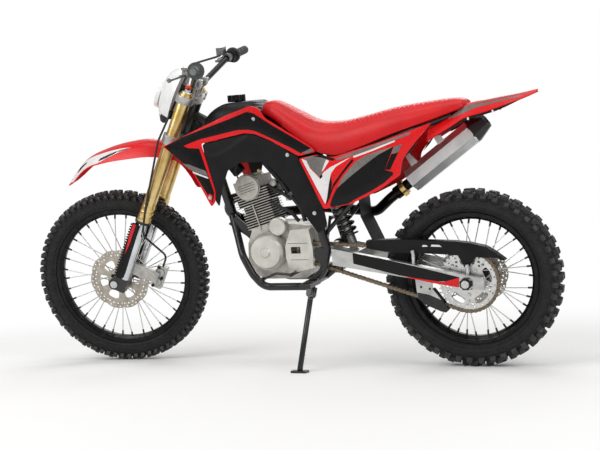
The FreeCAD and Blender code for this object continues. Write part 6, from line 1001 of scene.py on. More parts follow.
# Panel screws: plated, with flanged heads.
screws = []
for x, z, inset, plan in ((-741, 940, 0.0, SHROUD_PLAN), (-912, 668, 0.0, SHROUD_PLAN),
                          (-622, 803, cover_inset, SHROUD_PLAN), (-530, 590, cover_inset, SHROUD_PLAN)):
    side = spline(plan, x) + PANEL_TILT * (z - PANEL_BASE_Z) + inset - FILM_LIFT
    screws.append(side_screw(x, z, side, 4.6, -1, 1.55))
both_sides("panel_screws", joined_forms(screws), "frame", [zinc_plated])

# Tank: blow-moulded black polyethylene with soft edges, low between the shrouds, and a screw cap.
TANK_HALF_WIDTH = 112.0
TANK_PLACES = [(-985, 905, 948, 0.36), (-950, 880, 974, 0.62), (-895, 862, 997, 0.92),
               (-850, 852, 1003, 1.0), (-768, 846, 1000, 1.0), (-735, 846, 944, 0.96),
               (-655, 846, 886, 0.86)]
TANK_SECTIONS = 56
TANK_TOP = 1003.0
TANK_CORNER = 16.0
TANK_TOP_SHARE = 0.72


def tank_form():
    """A loft of rounded sections along the bike."""
    rings = []
    lows = [(x, low) for x, low, high, wide in TANK_PLACES]
    highs = [(x, high) for x, low, high, wide in TANK_PLACES]
    wides = [(x, wide) for x, low, high, wide in TANK_PLACES]
    for number in range(TANK_SECTIONS + 1):
        x = lows[0][0] + (lows[-1][0] - lows[0][0]) * number / TANK_SECTIONS
        low, high = spline(lows, x), min(spline(highs, x), TANK_TOP)
        half = TANK_HALF_WIDTH * spline(wides, x)
        end = min(1.0, min(number, TANK_SECTIONS - number) / 3 + 0.75)
        edge = high - (high - low) * 0.28
        flat = half * TANK_TOP_SHARE
        corners = [(-half, low), (half, low), (half, edge), (flat, high), (-flat, high), (-half, edge)]
        middle = (low + high) / 2
        rings.append([Vector((x, y * end, middle + (z - middle) * end))
                      for y, z in eased_line(corners, TANK_CORNER, 5)])
    return skin(rings, capped=True)


# Blow-moulded polyethylene: waxy black, softer than the covers and without their grain.
tank_plastic = material("blow_moulded_black_polyethylene", ("#0e0e0f", "#151516", 50.0),
                        (0.34, 0.46, 12.0), (0.5, 0.25, 18.0), IOR=1.51, Specular_IOR_Level=0.35)
tank = piece("tank_shell", tank_form(), "frame", [tank_plastic], sharp=50.0)
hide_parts("fuel_tank")
cad_piece("fuel_cap", black_film, edge=1.2)

# Tail: red mudguard, moulded in one with its slanted sides, which narrow to a tip. Grey films lie
# along the sides and a black stiffening rail is clipped below.
TAIL_STATIONS = [(-110, 862, 100, 72, 40), (-20, 908, 92, 62, 38), (24, 938, 84, 54, 44),
                 (98, 949, 70, 44, 38), (203, 962, 46, 28, 20), (262, 971, 22, 12, 8)]
TAIL_SECTIONS = 60
TAIL_THICKNESS = 3.5


def tail_at(x):
    """Top height, half widths at the lower edge and at the top, and depth at one place along the tail."""
    return [spline([(station[0], station[number]) for station in TAIL_STATIONS], x)
            for number in (1, 2, 3, 4)]


def tail_form():
    rings = []
    for number in range(TAIL_SECTIONS + 1):
        x = TAIL_STATIONS[0][0] + (TAIL_STATIONS[-1][0] - TAIL_STATIONS[0][0]) * number / TAIL_SECTIONS
        top, wide, flat, deep = tail_at(x)
        outer = [(-wide, top - deep), (-flat, top), (flat, top), (wide, top - deep)]
        line = []
        for index in range(4):
            here = Vector(outer[index])
            if index in (0, 3):
                line.append(here)
                continue
            before, after = Vector(outer[index - 1]), Vector(outer[index + 1])
            start, end = here.lerp(before, 0.2), here.lerp(after, 0.1)
            for step in range(5):
                share = step / 4
                line.append(start.lerp(here, share).lerp(here.lerp(end, share), share))
        inner = [Vector((y * (1 - TAIL_THICKNESS / max(wide, 12.0)), z - TAIL_THICKNESS * 0.9))
                 for y, z in line]
        rings.append([Vector((x, y, z)) for y, z in line + list(reversed(inner))])
    return skin(rings, capped=True)


def tail_side(x, z, lift):
    """The slanted left side of the tail."""
    top, wide, flat, deep = tail_at(x)
    share = min(1.0, max(0.0, (top - z) / max(deep, 1.0)))
    return Vector((x, -(flat + (wide - flat) * share) - lift, z))


tail = piece("tail_shell", tail_form(), "frame", [red_plastic], sharp=50.0)
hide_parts("rear_fender")
TAIL_UPPER = [(25, 931), (60, 941), (117, 949), (242, 966), (236, 963), (117, 945), (60, 937)]
TAIL_LOWER = [(-20, 905), (23, 932), (117, 941), (224, 957), (205, 950), (124, 936), (59, 924),
              (-11, 898), (-40, 890)]
films("tail", tail_side, [(grey_film, 1, TAIL_UPPER), (grey_film, 1, TAIL_LOWER)])

# The tail's stiffening rail: a black strip under each lower edge, held by two white clips.
RAIL_FIRST = -70.0
RAIL_LAST = 190.0
RAIL_DEPTH = 11.0
RAIL_STEPS = 12
CLIP_PLACES = (36.0, 119.0)
CLIP_SIZES = (6.0, 7.0, 9.0)


def brick(centre, along, across, sizes):
    """A block with its sizes along two given directions and square to both; its edges are rounded later."""
    first, second = Vector(along).normalized(), Vector(across).normalized()
    third = first.cross(second)
    corners = [(-1, -1), (1, -1), (1, 1), (-1, 1)]
    rings = [[centre + first * sizes[0] / 2 * end + second * sizes[1] / 2 * a + third * sizes[2] / 2 * b
              for a, b in corners] for end in (-1, 1)]
    return skin(rings, capped=True)


def rail_side(x, z, lift):
    """The left rail's face, a little inside the tail's lower edge."""
    return Vector((x, -tail_at(x)[1] + 3.0 - lift, z))


rail_top, rail_low = [], []
for number in range(RAIL_STEPS + 1):
    share = number / RAIL_STEPS
    x = RAIL_FIRST + (RAIL_LAST - RAIL_FIRST) * share
    top, wide, flat, deep = tail_at(x)
    rail_top.append((x, top - deep + 1.0))
    rail_low.append((x, top - deep - RAIL_DEPTH * math.sin(math.pi * min(0.5, 0.18 + share, 1.08 - share))))
both_sides("tail_rail", sheet(rail_top + rail_low[::-1], rail_side, -3.0, 0.0), "frame", [black_plastic])

# White glossy styrene plastic: bright and even, with a clean shine.
white_plastic = material("white_glossy_styrene_plastic", ("#e4e4e3", "#efefee", 60.0), (0.20, 0.30, 9.0),
                         IOR=1.53, Coat_Weight=0.2, Coat_Roughness=0.1)
clips = []
for x in CLIP_PLACES:
    top, wide, flat, deep = tail_at(x)
    middle = Vector((x, -wide + 1.0, top - deep - RAIL_DEPTH * 0.75))
    clips.append(brick(middle, (1, 0, 0), ACROSS, CLIP_SIZES))
both_sides("tail_rail_clips", joined_forms(clips), "frame", [white_plastic], edge=1.0)

# Inner mudguard: a plain black moulding between the wheel and the air box.
cad_piece("inner_fender", black_plastic, edge=1.0)

# Seat: one long foam block under a stretched red vinyl cover. The top is a separate ribbed panel,
# welded to the smooth side panels along a seam, and the cover is stapled below the base.
SEAT_FRONT_X = -742.0
SEAT_LENGTH = 760.0
SEAT_LOW_Z = 792.0
SEAT_SPAN_Z = 205.0
SEAT_HALF_WIDTH = 108.0
SEAT_PLACES = [(0.0, 0.80, 0.99, 0.42), (0.06, 0.71, 1.0, 0.66), (0.16, 0.44, 0.81, 0.84),
               (0.27, 0.12, 0.60, 0.95), (0.385, 0.0, 0.56, 1.0), (0.50, 0.105, 0.62, 1.0),
               (0.66, 0.30, 0.735, 0.98), (0.82, 0.47, 0.80, 0.88), (0.95, 0.62, 0.825, 0.74),
               (1.0, 0.675, 0.79, 0.62)]
SEAT_SECTIONS = 380
SEAT_ACROSS = 48
SEAM_DEPTH = 3.0
SEAM_WIDTH = 0.035
RIB_PITCH = 17.0
RIB_HEIGHT = 2.3
RIB_START = 0.40
RIB_END = 0.97
RIB_FADE = 0.02
SEAT_END = 0.018
SEAT_SQUARENESS = 0.62
SEAT_NARROWING = 0.17
SEAM_PLACE = 0.255
RIBBED_HALF = 0.235
SEAT_RED = "#c8060d"


def seat_ring(along):
    """A closed section of the seat at one share of its length: base, leaning sides, seam and arched top."""
    base, top, wide = (spline([(place[0], place[number]) for place in SEAT_PLACES], along)
                       for number in (1, 2, 3))
    low, high = SEAT_LOW_Z + SEAT_SPAN_Z * base, SEAT_LOW_Z + SEAT_SPAN_Z * top
    half = SEAT_HALF_WIDTH * wide
    end = min(1.0, min(along, 1 - along) / SEAT_END)
    round_end = math.sqrt(max(0.0, 1 - (1 - end) ** 2))
    high = low + (high - low) * (0.72 + 0.28 * round_end)
    half *= 0.90 + 0.10 * round_end
    x = SEAT_FRONT_X + SEAT_LENGTH * along
    ribbed = (min(1.0, max(0.0, (along - RIB_START) / RIB_FADE))
              * min(1.0, max(0.0, (RIB_END - along) / RIB_FADE)))
    wave = abs(math.sin(math.pi * (x - SEAT_FRONT_X) / RIB_PITCH)) ** 0.7
    ring = []
    for number in range(SEAT_ACROSS + 1):
        turn = math.pi * number / SEAT_ACROSS
        side, up = -math.cos(turn), math.sin(turn)
        squared_side = math.copysign(abs(side) ** SEAT_SQUARENESS, side)
        squared_up = up ** SEAT_SQUARENESS
        across = half * squared_side * (1 - SEAT_NARROWING * squared_up ** 2.2)
        height = low + (high - low) * squared_up
        from_middle = abs(number / SEAT_ACROSS - 0.5)
        seam = math.exp(-((from_middle - SEAM_PLACE) / SEAM_WIDTH) ** 2)
        on_top = 1.0 if from_middle < RIBBED_HALF else 0.0
        inward = SEAM_DEPTH * seam + RIB_HEIGHT * ribbed * on_top * (1 - wave)
        centre = Vector((0.0, (low + high) / 2))
        out = (Vector((across, height)) - centre).normalized()
        across, height = across - out.x * inward, height - out.y * inward
        ring.append(Vector((x, across, height)))
    ring += [Vector((x, half * share, low - 4.0)) for share in (0.86, 0.4, 0.0, -0.4, -0.86)]
    return ring


# Expanded vinyl on knitted cloth: deep red, with an embossed pebble grain that keeps its shine low.
seat_vinyl, tree, shader = finish("embossed_red_vinyl", IOR=1.52, Specular_IOR_Level=0.35)
place = add_node(tree, "ShaderNodeTexCoord").outputs["Object"]
pebbles = add_node(tree, "ShaderNodeTexVoronoi",
                   {"Vector": place, "Scale": per_metre(2.6), "Randomness": 0.9}, feature="SMOOTH_F1")
tree.links.new(blended(tree, mottle(tree, 80.0), SEAT_RED, "#d50a12"), shader.inputs["Base Color"])
tree.links.new(blended(tree, mottle(tree, 10.0), 0.36, 0.50), shader.inputs["Roughness"])
relief(tree, shader, pebbles.outputs["Distance"], 0.35, 0.55)

rings = [seat_ring(number / SEAT_SECTIONS) for number in range(SEAT_SECTIONS + 1)]
saddle = piece("seat_cushion", skin(rings, capped=True), "frame", [seat_vinyl], sharp=70.0)
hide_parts("seat")

# Fork: upside-down legs. Gold anodised outer tubes are held by two cast clamps; hard-chromed sliders
# with black cast lugs carry the axle. Machined collars and a rubber wiper close each tube's foot.
LEG_SIDE = 100.0
LEG_AHEAD = 20.0
TUBE_FOOT = 281.0
TUBE_TOP = 806.0
SLIDER_RADIUS = 20.0
LUG_REACH = 34.0
GOLD = "#d0ae68"


def circle(centre, across, over, radius, steps):
    """Points round a centre, in the plane of two directions."""
    return [centre + (across * math.cos(2 * math.pi * step / steps)
                      + over * math.sin(2 * math.pi * step / steps)) * radius for step in range(steps)]


def lathed(stations, start, direction, steps=40):
    """A turned form: (distance along a line, radius) at each station."""
    along = Vector(direction).normalized()
    across = along.cross(UP if abs(along.z) < 0.9 else ACROSS).normalized()
    over = along.cross(across)
    rings = [circle(start + along * reach, across, over, radius, steps) for reach, radius in stations]
    return skin(rings, capped=True)


def curve_through(places, steps=8):
    """A smooth line in space through given places."""
    line = []
    for number in range(len(places) - 1):
        before, start = places[max(number - 1, 0)], places[number]
        end, after = places[number + 1], places[min(number + 2, len(places) - 1)]
        for step in range(steps):
            t = step / steps
            line.append((2 * start + (end - before) * t + (2 * before - 5 * start + 4 * end - after) * t ** 2
                         + (3 * start - before - 3 * end + after) * t ** 3) / 2)
    return line + [places[-1]]


def tube_along(line, radius, steps=12):
    """A round cord, hose or bar along a line."""
    rings = []
    heading = (line[1] - line[0]).normalized()
    across = heading.cross(UP if abs(heading.z) < 0.9 else ACROSS).normalized()
    for number, place in enumerate(line):
        ahead = line[min(number + 1, len(line) - 1)] - line[max(number - 1, 0)]
        across = (across - ahead.normalized() * across.dot(ahead.normalized())).normalized()
        over = ahead.normalized().cross(across)
        rings.append(circle(place, across, over, radius, steps))
    return skin(rings, capped=True)


def fork_place(point):
    """How far up, ahead and aside a point of the straight fork lies."""
    away = point - STEM_FOOT
    return away.dot(STEM_UP), away.dot(STEM_AHEAD), away.y


def lug_or_slider(point):
    """The cast lugs at each leg's foot are painted, and the slider above them is chromed."""
    beside = abs(abs(point.y) - LEG_SIDE) > SLIDER_RADIUS + 1
    return 1 if beside or fork_place(point)[0] < LUG_REACH else 0


# Gold anodised aluminium: a clear satin skin over smooth, drawn tube.
gold_anodised = material("gold_anodised_aluminium", (GOLD, "#e0c68c", 40.0), (0.28, 0.33, 6.0),
                         (0.004, 0.2, 6.0), Metallic=1.0)

# Hard chrome: bright and smooth, with the faint haze of oil.
hard_chrome = material("hard_chromed_steel", ("#c3c5c8", "#d8d9da", 50.0), (0.10, 0.14, 12.0),
                       Metallic=1.0)

# Cast aluminium, shot-blasted and lacquered silver: dull, with a fine sand texture.
cast_silver = material("lacquered_cast_aluminium", ("#a6a5a1", "#bdbcb8", 22.0), (0.36, 0.5, 6.0),
                       (0.10, 0.4, 1.3, 4.0, 0.6), Metallic=0.85)

# Moulded nitrile rubber for seals, grips and hoses: dull black, a little grey from handling.
nitrile_rubber = material("moulded_nitrile_rubber", ("#161616", "#232323", 16.0), (0.48, 0.64, 4.0),
                          (0.10, 0.4, 1.2), IOR=1.52)

# Black powder paint on steel: a thick, glossy skin with a slight orange peel.
powder_black = material("black_powder_painted_steel", ("#0c0c0d", "#131314", 30.0), (0.28, 0.40, 8.0),
                        (0.08, 0.35, 3.5), IOR=1.5, Coat_Weight=0.2, Coat_Roughness=0.18)

tubes = cad_piece("fork_tubes", gold_anodised, nitrile_rubber, edge=0.8)
painted_faces(tubes, lambda point: 1 if fork_place(point)[0] < TUBE_FOOT - 1 else 0, STEERED)
sliders = cad_piece("fork_sliders", hard_chrome, painted_alloy, edge=1.0)
painted_faces(sliders, lug_or_slider, STEERED)
cad_piece("triple_clamps", cast_silver, edge=1.6)
cad_piece("front_axle", zinc_plated, edge=0.8)

# Turned forms on both legs: (height above the outer tube's foot or top, radius) at each station.
COLLAR = [(1, 25.2), (2, 28.2), (16, 28.6), (18, 27.2), (20, 27.2), (22, 28.8), (40, 28.8), (43, 27.0),
          (46, 27.8), (60, 27.4), (66, 25.2)]
WIPER = [(-12, 21.0), (-12, 26.0), (-3, 28.0), (0, 28.0), (0.5, 25.5)]
CAP_NUT = [(6, 19.0), (8, 17.5), (10, 11.0), (16, 10.5), (17, 9.5)]
BLEED_SCREW = [(16, 5.0), (20, 5.0), (20.6, 4.2)]


def on_legs(stations, level, steps):
    raised = [(level + height, radius) for height, radius in stations]
    return joined_forms([lathed(raised, on_stem(0, LEG_AHEAD, side), STEM_UP, steps)
                         for side in (-LEG_SIDE, LEG_SIDE)])


piece("fork_tube_collars", on_legs(COLLAR, TUBE_FOOT, 56), "fork", [gold_anodised])
piece("fork_wipers", on_legs(WIPER, TUBE_FOOT, 56), "fork", [nitrile_rubber])
piece("fork_cap_nuts", on_legs(CAP_NUT, TUBE_TOP, 6), "fork", [zinc_plated], sharp=25.0)
piece("fork_bleed_screws", on_legs(BLEED_SCREW, TUBE_TOP, 16), "fork", [phosphated])

# Slider guards: black polypropylene shells screwed to the lugs, each with a toothed rib ahead of the
# leg and a red wedge film.
GUARD_RADIUS = 27.0
GUARD_THICKNESS = 4.0
GUARD_LOW = 31.0
GUARD_HIGH = 264.0


def guard_face(up, turn, lift):
    """A place on the left guard: up along the leg, and round it in millimetres from straight ahead."""
    angle = turn / GUARD_RADIUS
    narrowing = 1.0 + 0.10 * (1 - min(1.0, (up - GUARD_LOW) / 60.0))
    radius = GUARD_RADIUS * narrowing + lift
    return on_stem(up, LEG_AHEAD + radius * math.cos(angle), -LEG_SIDE - radius * math.sin(angle))


GUARD_OUTLINE = [(31, -30), (262, -26), (266, -10), (266, 12), (262, 34), (150, 38), (60, 42), (31, 38)]
COMB_REACH = (18.0, 42.0)
COMB_SIDE = 14.0
COMB_PITCH = 11.0
COMB_TOOTH = 6.0
COMB_THICKNESS = 3.0
GUARD_WEDGE = [(258, 21), (258, 33), (200, 32), (128, 26), (170, 21)]
guard_line = eased_line(GUARD_OUTLINE, 8.0)
both_sides("fork_guard", sheet(guard_line, guard_face, -GUARD_THICKNESS, 0.0, 7.0), "fork", [black_plastic],
           edge=PANEL_EDGE)
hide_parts("fork_guards")


def comb_face(up, reach, lift):
    """A place on the left guard's comb, a flat rib that stands ahead of the leg."""
    return on_stem(up, LEG_AHEAD + reach, -LEG_SIDE - COMB_SIDE - lift)


comb = [(GUARD_HIGH, COMB_REACH[0]), (GUARD_LOW, COMB_REACH[0])]
tooth = GUARD_LOW
while tooth < GUARD_HIGH - COMB_PITCH:
    tooth_end = tooth + COMB_PITCH * 0.55
    comb += [(tooth, COMB_REACH[1]), (tooth_end, COMB_REACH[1]), (tooth_end, COMB_REACH[1] - COMB_TOOTH),
             (tooth + COMB_PITCH, COMB_REACH[1] - COMB_TOOTH)]
    tooth += COMB_PITCH
both_sides("fork_guard_comb", sheet(comb, comb_face, 0.0, COMB_THICKNESS), "fork", [black_plastic])
films("fork_guard", lambda up, reach, lift: comb_face(up, reach, lift + COMB_THICKNESS),
      [(red_film, 1, GUARD_WEDGE)], "fork")


# Front mudguard: a long beak moulded in red polypropylene, bolted up to the lower clamp. Its top is
# flatter than its sides, with a soft shoulder line between them, and a white film with black slashes
# wraps the beak.
BEAK_UP = 604.0
BEAK_LENGTH = 550.0
BEAK_HALF_WIDTH = 84.0
BEAK_DROP = 52.0
BEAK_THICKNESS = 3.5
BEAK_PLACES = [(-0.88, -0.25, 0.36, 0.30), (-0.72, -0.08, 0.78, 0.55), (-0.56, -0.01, 0.94, 0.80),
               (-0.37, 0.028, 1.0, 1.0), (-0.19, 0.03, 0.96, 1.0), (-0.03, -0.022, 0.86, 0.85),
               (0.05, -0.10, 0.78, 0.60), (0.10, -0.21, 0.70, 0.42), (0.13, -0.32, 0.58, 0.30)]
BEAK_UNIT = 90.0
SHOULDER_AT = 0.60
SHOULDER_DROP = 0.20


def beak_at(station):
    """The mudguard's middle line, its upward direction, half width and drop at a station along it."""
    def value(number, at):
        return spline([(float(index), place[number]) for index, place in enumerate(BEAK_PLACES)], at)

    last = len(BEAK_PLACES) - 1.0
    before, after = max(station - 0.1, 0.0), min(station + 0.1, last)
    heading = Vector((value(0, after) - value(0, before), 0, value(1, after) - value(1, before))).normalized()
    centre = on_stem(BEAK_UP) + Vector((value(0, station), 0, value(1, station))) * BEAK_LENGTH
    upward = Vector((-heading.z, 0, heading.x))
    return centre, upward, BEAK_HALF_WIDTH * value(2, station), BEAK_DROP * value(3, station)


def beak_face(along, across, lift):
    """A place on the mudguard; both distances are in its own units, and across runs to the left."""
    centre, up, half, drop = beak_at(along / BEAK_UNIT)
    share = min(1.0, abs(across) / BEAK_HALF_WIDTH)
    if share < SHOULDER_AT:
        fall = SHOULDER_DROP * (share / SHOULDER_AT) ** 2
    else:
        fall = SHOULDER_DROP + (1 - SHOULDER_DROP) * ((share - SHOULDER_AT) / (1 - SHOULDER_AT)) ** 1.15
    side = math.copysign(half * (share ** 0.92), across)
    return centre - up * (drop * fall) + up * lift - ACROSS * (side + math.copysign(lift * share, across))


BEAK_OUTLINE = [(0, -40), (0, 40), (25, 76), (90, 84), (720, 84), (720, -84), (90, -84), (25, -76)]
beak_line = eased_line(BEAK_OUTLINE, 30.0)
beak = piece("front_mudguard", sheet(beak_line, beak_face, -BEAK_THICKNESS, 0.0, 9.0), "fork", [red_plastic],
             edge=PANEL_EDGE)
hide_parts("front_fender")
BEAK_BAND = [(4, 26), (4, 40), (25, 75), (88, 83.5), (150, 82), (200, 72), (250, 62), (284, 57), (250, 54),
             (180, 52), (110, 46), (60, 34)]
BEAK_FILMS = [(white_film, 1, BEAK_BAND),
              (black_film, 2, [(155, 76), (168, 68), (236, 59), (226, 65), (190, 73)]),
              (grey_film, 2, [(232, 64), (240, 58.5), (280, 57), (268, 60)]),
              (black_film, 2, [(50, 62), (70, 56), (108, 60), (98, 66), (66, 67)])]
films("front_mudguard", beak_face, BEAK_FILMS, "fork")

# Headlight mask: a bowed shell of the same glossy white plastic, set ahead of the fork tubes round the
# lamp. Its lower edge is black, grained plastic.
MASK_BACK = 66.0
MASK_BOTTOM = 655.0
MASK_HEIGHT = 215.0
MASK_HALF_WIDTH = 95.0
MASK_DEPTH = 70.0
MASK_THICKNESS = 4.0
MASK_PLACES = [(0.0, 0.62, 0.55), (0.30, 0.95, 0.95), (0.62, 1.0, 1.0), (0.88, 0.78, 0.80), (1.0, 0.55, 0.45)]
LAMP_UP = 745.0
LAMP_AHEAD = 128.0
LAMP_RADIUS = 50.0
MASK_CORNER = 28.0
MASK_BLACK_TOP = 672.0
MASK_BLACK_SLOPE = 0.25


def mask_face(side, up, lift):
    """A place on the bowed mask: to the right, and up along the steering axis."""
    share = (up - MASK_BOTTOM) / MASK_HEIGHT
    half = MASK_HALF_WIDTH * spline([(place[0], place[1]) for place in MASK_PLACES], share)
    depth = MASK_DEPTH * spline([(place[0], place[2]) for place in MASK_PLACES], share)
    across = side / MASK_HALF_WIDTH
    bow = 1 - abs(across) ** 2.6
    return on_stem(up, MASK_BACK + (depth + lift) * bow + lift * 0.2, half * across + lift * across)


MASK_TOP = MASK_BOTTOM + MASK_HEIGHT
mask_line = eased_line([(-MASK_HALF_WIDTH, MASK_BOTTOM), (MASK_HALF_WIDTH, MASK_BOTTOM),
                        (MASK_HALF_WIDTH, MASK_TOP), (-MASK_HALF_WIDTH, MASK_TOP)], MASK_CORNER, 8)
mask = piece("mask_shell", sheet(mask_line, mask_face, -MASK_THICKNESS, 0.0, 8.0), "fork",
             [white_plastic, black_plastic], edge=PANEL_EDGE)
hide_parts("headlight_mask")
for face in mask.data.polygons:
    up, ahead, side = fork_place(face.center / MM)
    face.material_index = 1 if up < MASK_BLACK_TOP + MASK_BLACK_SLOPE * abs(side) else 0

# Lamp: a white bezel, an aluminised bowl and a clear, domed lens, each turned about the lamp's axis.
lamp = on_stem(LAMP_UP, LAMP_AHEAD)
bezel = [(0, LAMP_RADIUS + 1), (10, LAMP_RADIUS + 1), (15, LAMP_RADIUS - 1), (16, LAMP_RADIUS - 4),
         (13, LAMP_RADIUS - 6), (9, LAMP_RADIUS - 6.5)]
piece("lamp_bezel", lathed(bezel, lamp, STEM_AHEAD, 64), "fork", [white_plastic])
bowl = [(9.6, LAMP_RADIUS - 7), (7, 34), (4, 20), (3, 10), (8, 6)]
polished = material("aluminised_reflector", ("#dcdcdc", "#f0f0f0", 30.0), (0.05, 0.12, 9.0), Metallic=1.0)
piece("lamp_reflector", lathed(bowl, lamp, STEM_AHEAD, 64), "fork", [polished])
lens_glass = material("clear_polycarbonate_lens", ("#f4f6f6", "#ffffff", 30.0), (0.02, 0.06, 9.0),
                      IOR=1.585, Transmission_Weight=0.95)
dome = [(12, LAMP_RADIUS - 6.5), (13.4, LAMP_RADIUS - 6.5), (17, 36), (19.5, 22), (20.5, 8)]
piece("lamp_lens", lathed(dome, lamp, STEM_AHEAD, 64), "fork", [lens_glass])

# Bars: one bent steel tube, powder painted, with rubber grips, cast lever perches, a switch box
# and a throttle. The levers are die-cast and lacquered grey.
BAR_MIDDLE = (842.0, 8.0, 95.0)
BAR_BEND = (930.0, -18.0, 235.0)
BAR_END = (955.0, -42.0, 405.0)
GRIP_LENGTH = 122.0
SWITCH_WIDTH = 34.0
SWITCH_RADIUS = 23.0

cad_piece("handlebar", powder_black)
bar_end = on_stem(BAR_END[0], BAR_END[1], -BAR_END[2])
bar_run = (bar_end - on_stem(BAR_BEND[0], BAR_BEND[1], -BAR_BEND[2])).normalized()


def grip_stations():
    """A ribbed grip: a flange, then raised rings between grooves, and a rounded, paler end."""
    stations = [(-GRIP_LENGTH, 13.0), (-GRIP_LENGTH, 29.0), (-GRIP_LENGTH + 1.2, 31.0),
                (-GRIP_LENGTH + 4.0, 30.6), (-GRIP_LENGTH + 5.5, 22.0), (-GRIP_LENGTH + 10.0, 17.0)]
    reach = -GRIP_LENGTH + 14.0
    while reach < -10.0:
        stations += [(reach, 15.6), (reach + 0.8, 16.6), (reach + 3.2, 16.6), (reach + 4.0, 15.6)]
        reach += 5.6
    return stations + [(-6.0, 16.6), (-1.0, 16.4), (0.4, 15.4), (0.6, 12.5)]


grip_rubber = material("moulded_grip_rubber", ("#3b3c3c", "#4d4f4e", 12.0), (0.52, 0.68, 3.0), IOR=1.52)
grip_cap = material("grey_moulded_bar_end", ("#6d7673", "#7d8683", 12.0), (0.4, 0.5, 3.0), IOR=1.5)
both_sides("grip", lathed(grip_stations(), bar_end, bar_run, 40), "fork", [grip_rubber], sharp=30.0)
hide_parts("grips")
grip_end = [(0.5, 12.0), (1.6, 11.6), (1.9, 10.4), (1.2, 9.6)]
both_sides("grip_end", lathed(grip_end, bar_end, bar_run, 40), "fork", [grip_cap])

cast_grey = material("grey_lacquered_die_casting", ("#6f7072", "#86878a", 15.0), (0.3, 0.42, 4.0),
                     (0.08, 0.35, 1.3, 4.0), Metallic=0.7)
controls = cad_piece("hand_controls", cast_grey, black_plastic, edge=1.2)


def lever_or_body(point):
    """The switch and throttle bodies are black plastic; perches, levers and the master are castings."""
    aside = Vector((point.x, -abs(point.y), point.z))
    reach = (bar_end - aside).dot(bar_run)
    away = (aside - (bar_end - bar_run * reach)).length
    return 1 if away < SWITCH_RADIUS and GRIP_LENGTH < reach < GRIP_LENGTH + SWITCH_WIDTH + 1 else 0


painted_faces(controls, lever_or_body, STEERED)

# The clamps' pinch screws and the bar mounts' cap screws.
CLAMP_SCREW_UPS = (612.0, 630.0, 776.0, 792.0)
CLAMP_SCREW_SIDE = 72.0
CLAMP_SCREW_BACK = 30.0
CLAMP_SCREW = [(0, 6.5), (7, 6.5), (8, 5.6), (8, 3.0), (4, 2.8)]
BAR_SCREW = [(0, 4.6), (6, 4.6), (6.6, 4.0), (6.6, 2.4), (3, 2.2)]
BAR_MOUNT_SIDE = 41.0
BAR_MOUNT_TOP = 858.0
bolts = []
for side in (-1, 1):
    for up in CLAMP_SCREW_UPS:
        foot = on_stem(up, LEG_AHEAD - CLAMP_SCREW_BACK, side * CLAMP_SCREW_SIDE)
        bolts.append(lathed(CLAMP_SCREW, foot, ACROSS * -side - STEM_AHEAD * 0.6, 16))
    for ahead in (-14.0, 14.0):
        for shift in (-8.0, 8.0):
            foot = on_stem(BAR_MOUNT_TOP, BAR_MIDDLE[1] + ahead, side * BAR_MOUNT_SIDE + shift)
            bolts.append(lathed(BAR_SCREW, foot, STEM_UP, 14))
piece("clamp_bolts", joined_forms(bolts), "fork", [zinc_plated], sharp=30.0)

# A black relay with an orange nylon plug hangs beside the top clamp.
piece("relay_body", brick(on_stem(812.0, 42.0, -52.0), STEM_UP, ACROSS, (34.0, 40.0, 30.0)), "fork",
      [black_plastic], edge=2.0)
orange_plastic = material("orange_moulded_nylon", ("#d8481c", "#e65a26", 20.0), (0.35, 0.45, 4.0),
                          IOR=1.53)
piece("relay_plug", brick(on_stem(828.0, 24.0, -78.0), STEM_UP, ACROSS, (15.0, 26.0, 22.0)), "fork",
      [orange_plastic], edge=2.0)

# Front caliper: a cast aluminium body with two piston bosses and three black screws. Its hose is
# rubber over braid.
caliper = cad_piece("front_caliper", cast_silver, edge=3.0)
cad_piece("brake_hose", nitrile_rubber)
CALIPER_FACE = -72.5
BOSS = [(0, 17.0), (3, 17.0), (5.5, 15.0), (6.5, 9.0), (6.5, 5.0)]
CALIPER_SCREW = [(0, 6.0), (6, 6.0), (7, 5.0), (7, 3.0), (4, 2.8)]
bosses = [lathed(BOSS, on_stem(up, -102.0, CALIPER_FACE), -ACROSS, 32) for up in (58.0, 98.0)]
heads = [lathed(CALIPER_SCREW, on_stem(up, ahead, CALIPER_FACE), -ACROSS, 16)
         for up, ahead in ((118.0, -90.0), (38.0, -90.0), (78.0, -114.0))]
piece("front_caliper_bosses", joined_forms(bosses), "fork", [cast_silver])
piece("front_caliper_screws", joined_forms(heads), "fork", [phosphated], sharp=30.0)

# Frame: round steel tubes welded into a double cradle and powder painted black, with bolted engine
# mounts. The footpegs and foot levers are forged steel in the same paint.
for name in ("frame_head", "engine_cradle", "rear_spars", "subframe", "stand_bracket", "side_stand"):
    cad_piece(name, powder_black, edge=0.8)
for name in ("footpegs", "foot_levers"):
    cad_piece(name, powder_black, edge=1.0)

# Swingarm: two extruded aluminium beams, each with a black film band and a red wedge along it.
ARM_SIDE = -116.0


def arm_face(x, z, lift):
    return Vector((x, ARM_SIDE - lift, z))


# Extruded aluminium, satin anodised: long extrusion lines along the beam.
EXTRUSION_LINES = (4.0, 3.0, 0.5, (0.08, 1.0, 1.0))
satin_alloy = material("satin_anodised_extrusion", ("#b4b4b2", "#c8c8c6", 40.0),
                       (0.26, 0.40, *EXTRUSION_LINES), (0.04, 0.3, *EXTRUSION_LINES), Metallic=0.9)
arm = cad_piece("swingarm", satin_alloy, edge=2.5)
ARM_BAND = [(-408, 437), (-299, 414), (-138, 374), (-22, 343), (-24, 332), (-60, 329), (-116, 330),
            (-240, 353), (-408, 398)]
ARM_WEDGE = [(-232, 350), (-116, 332), (-80, 327), (-54, 334), (-23, 342), (-26, 307), (-60, 313),
             (-116, 323), (-200, 342)]
films("swingarm", arm_face, [(black_film, 1, ARM_BAND), (red_film, 2, ARM_WEDGE)])

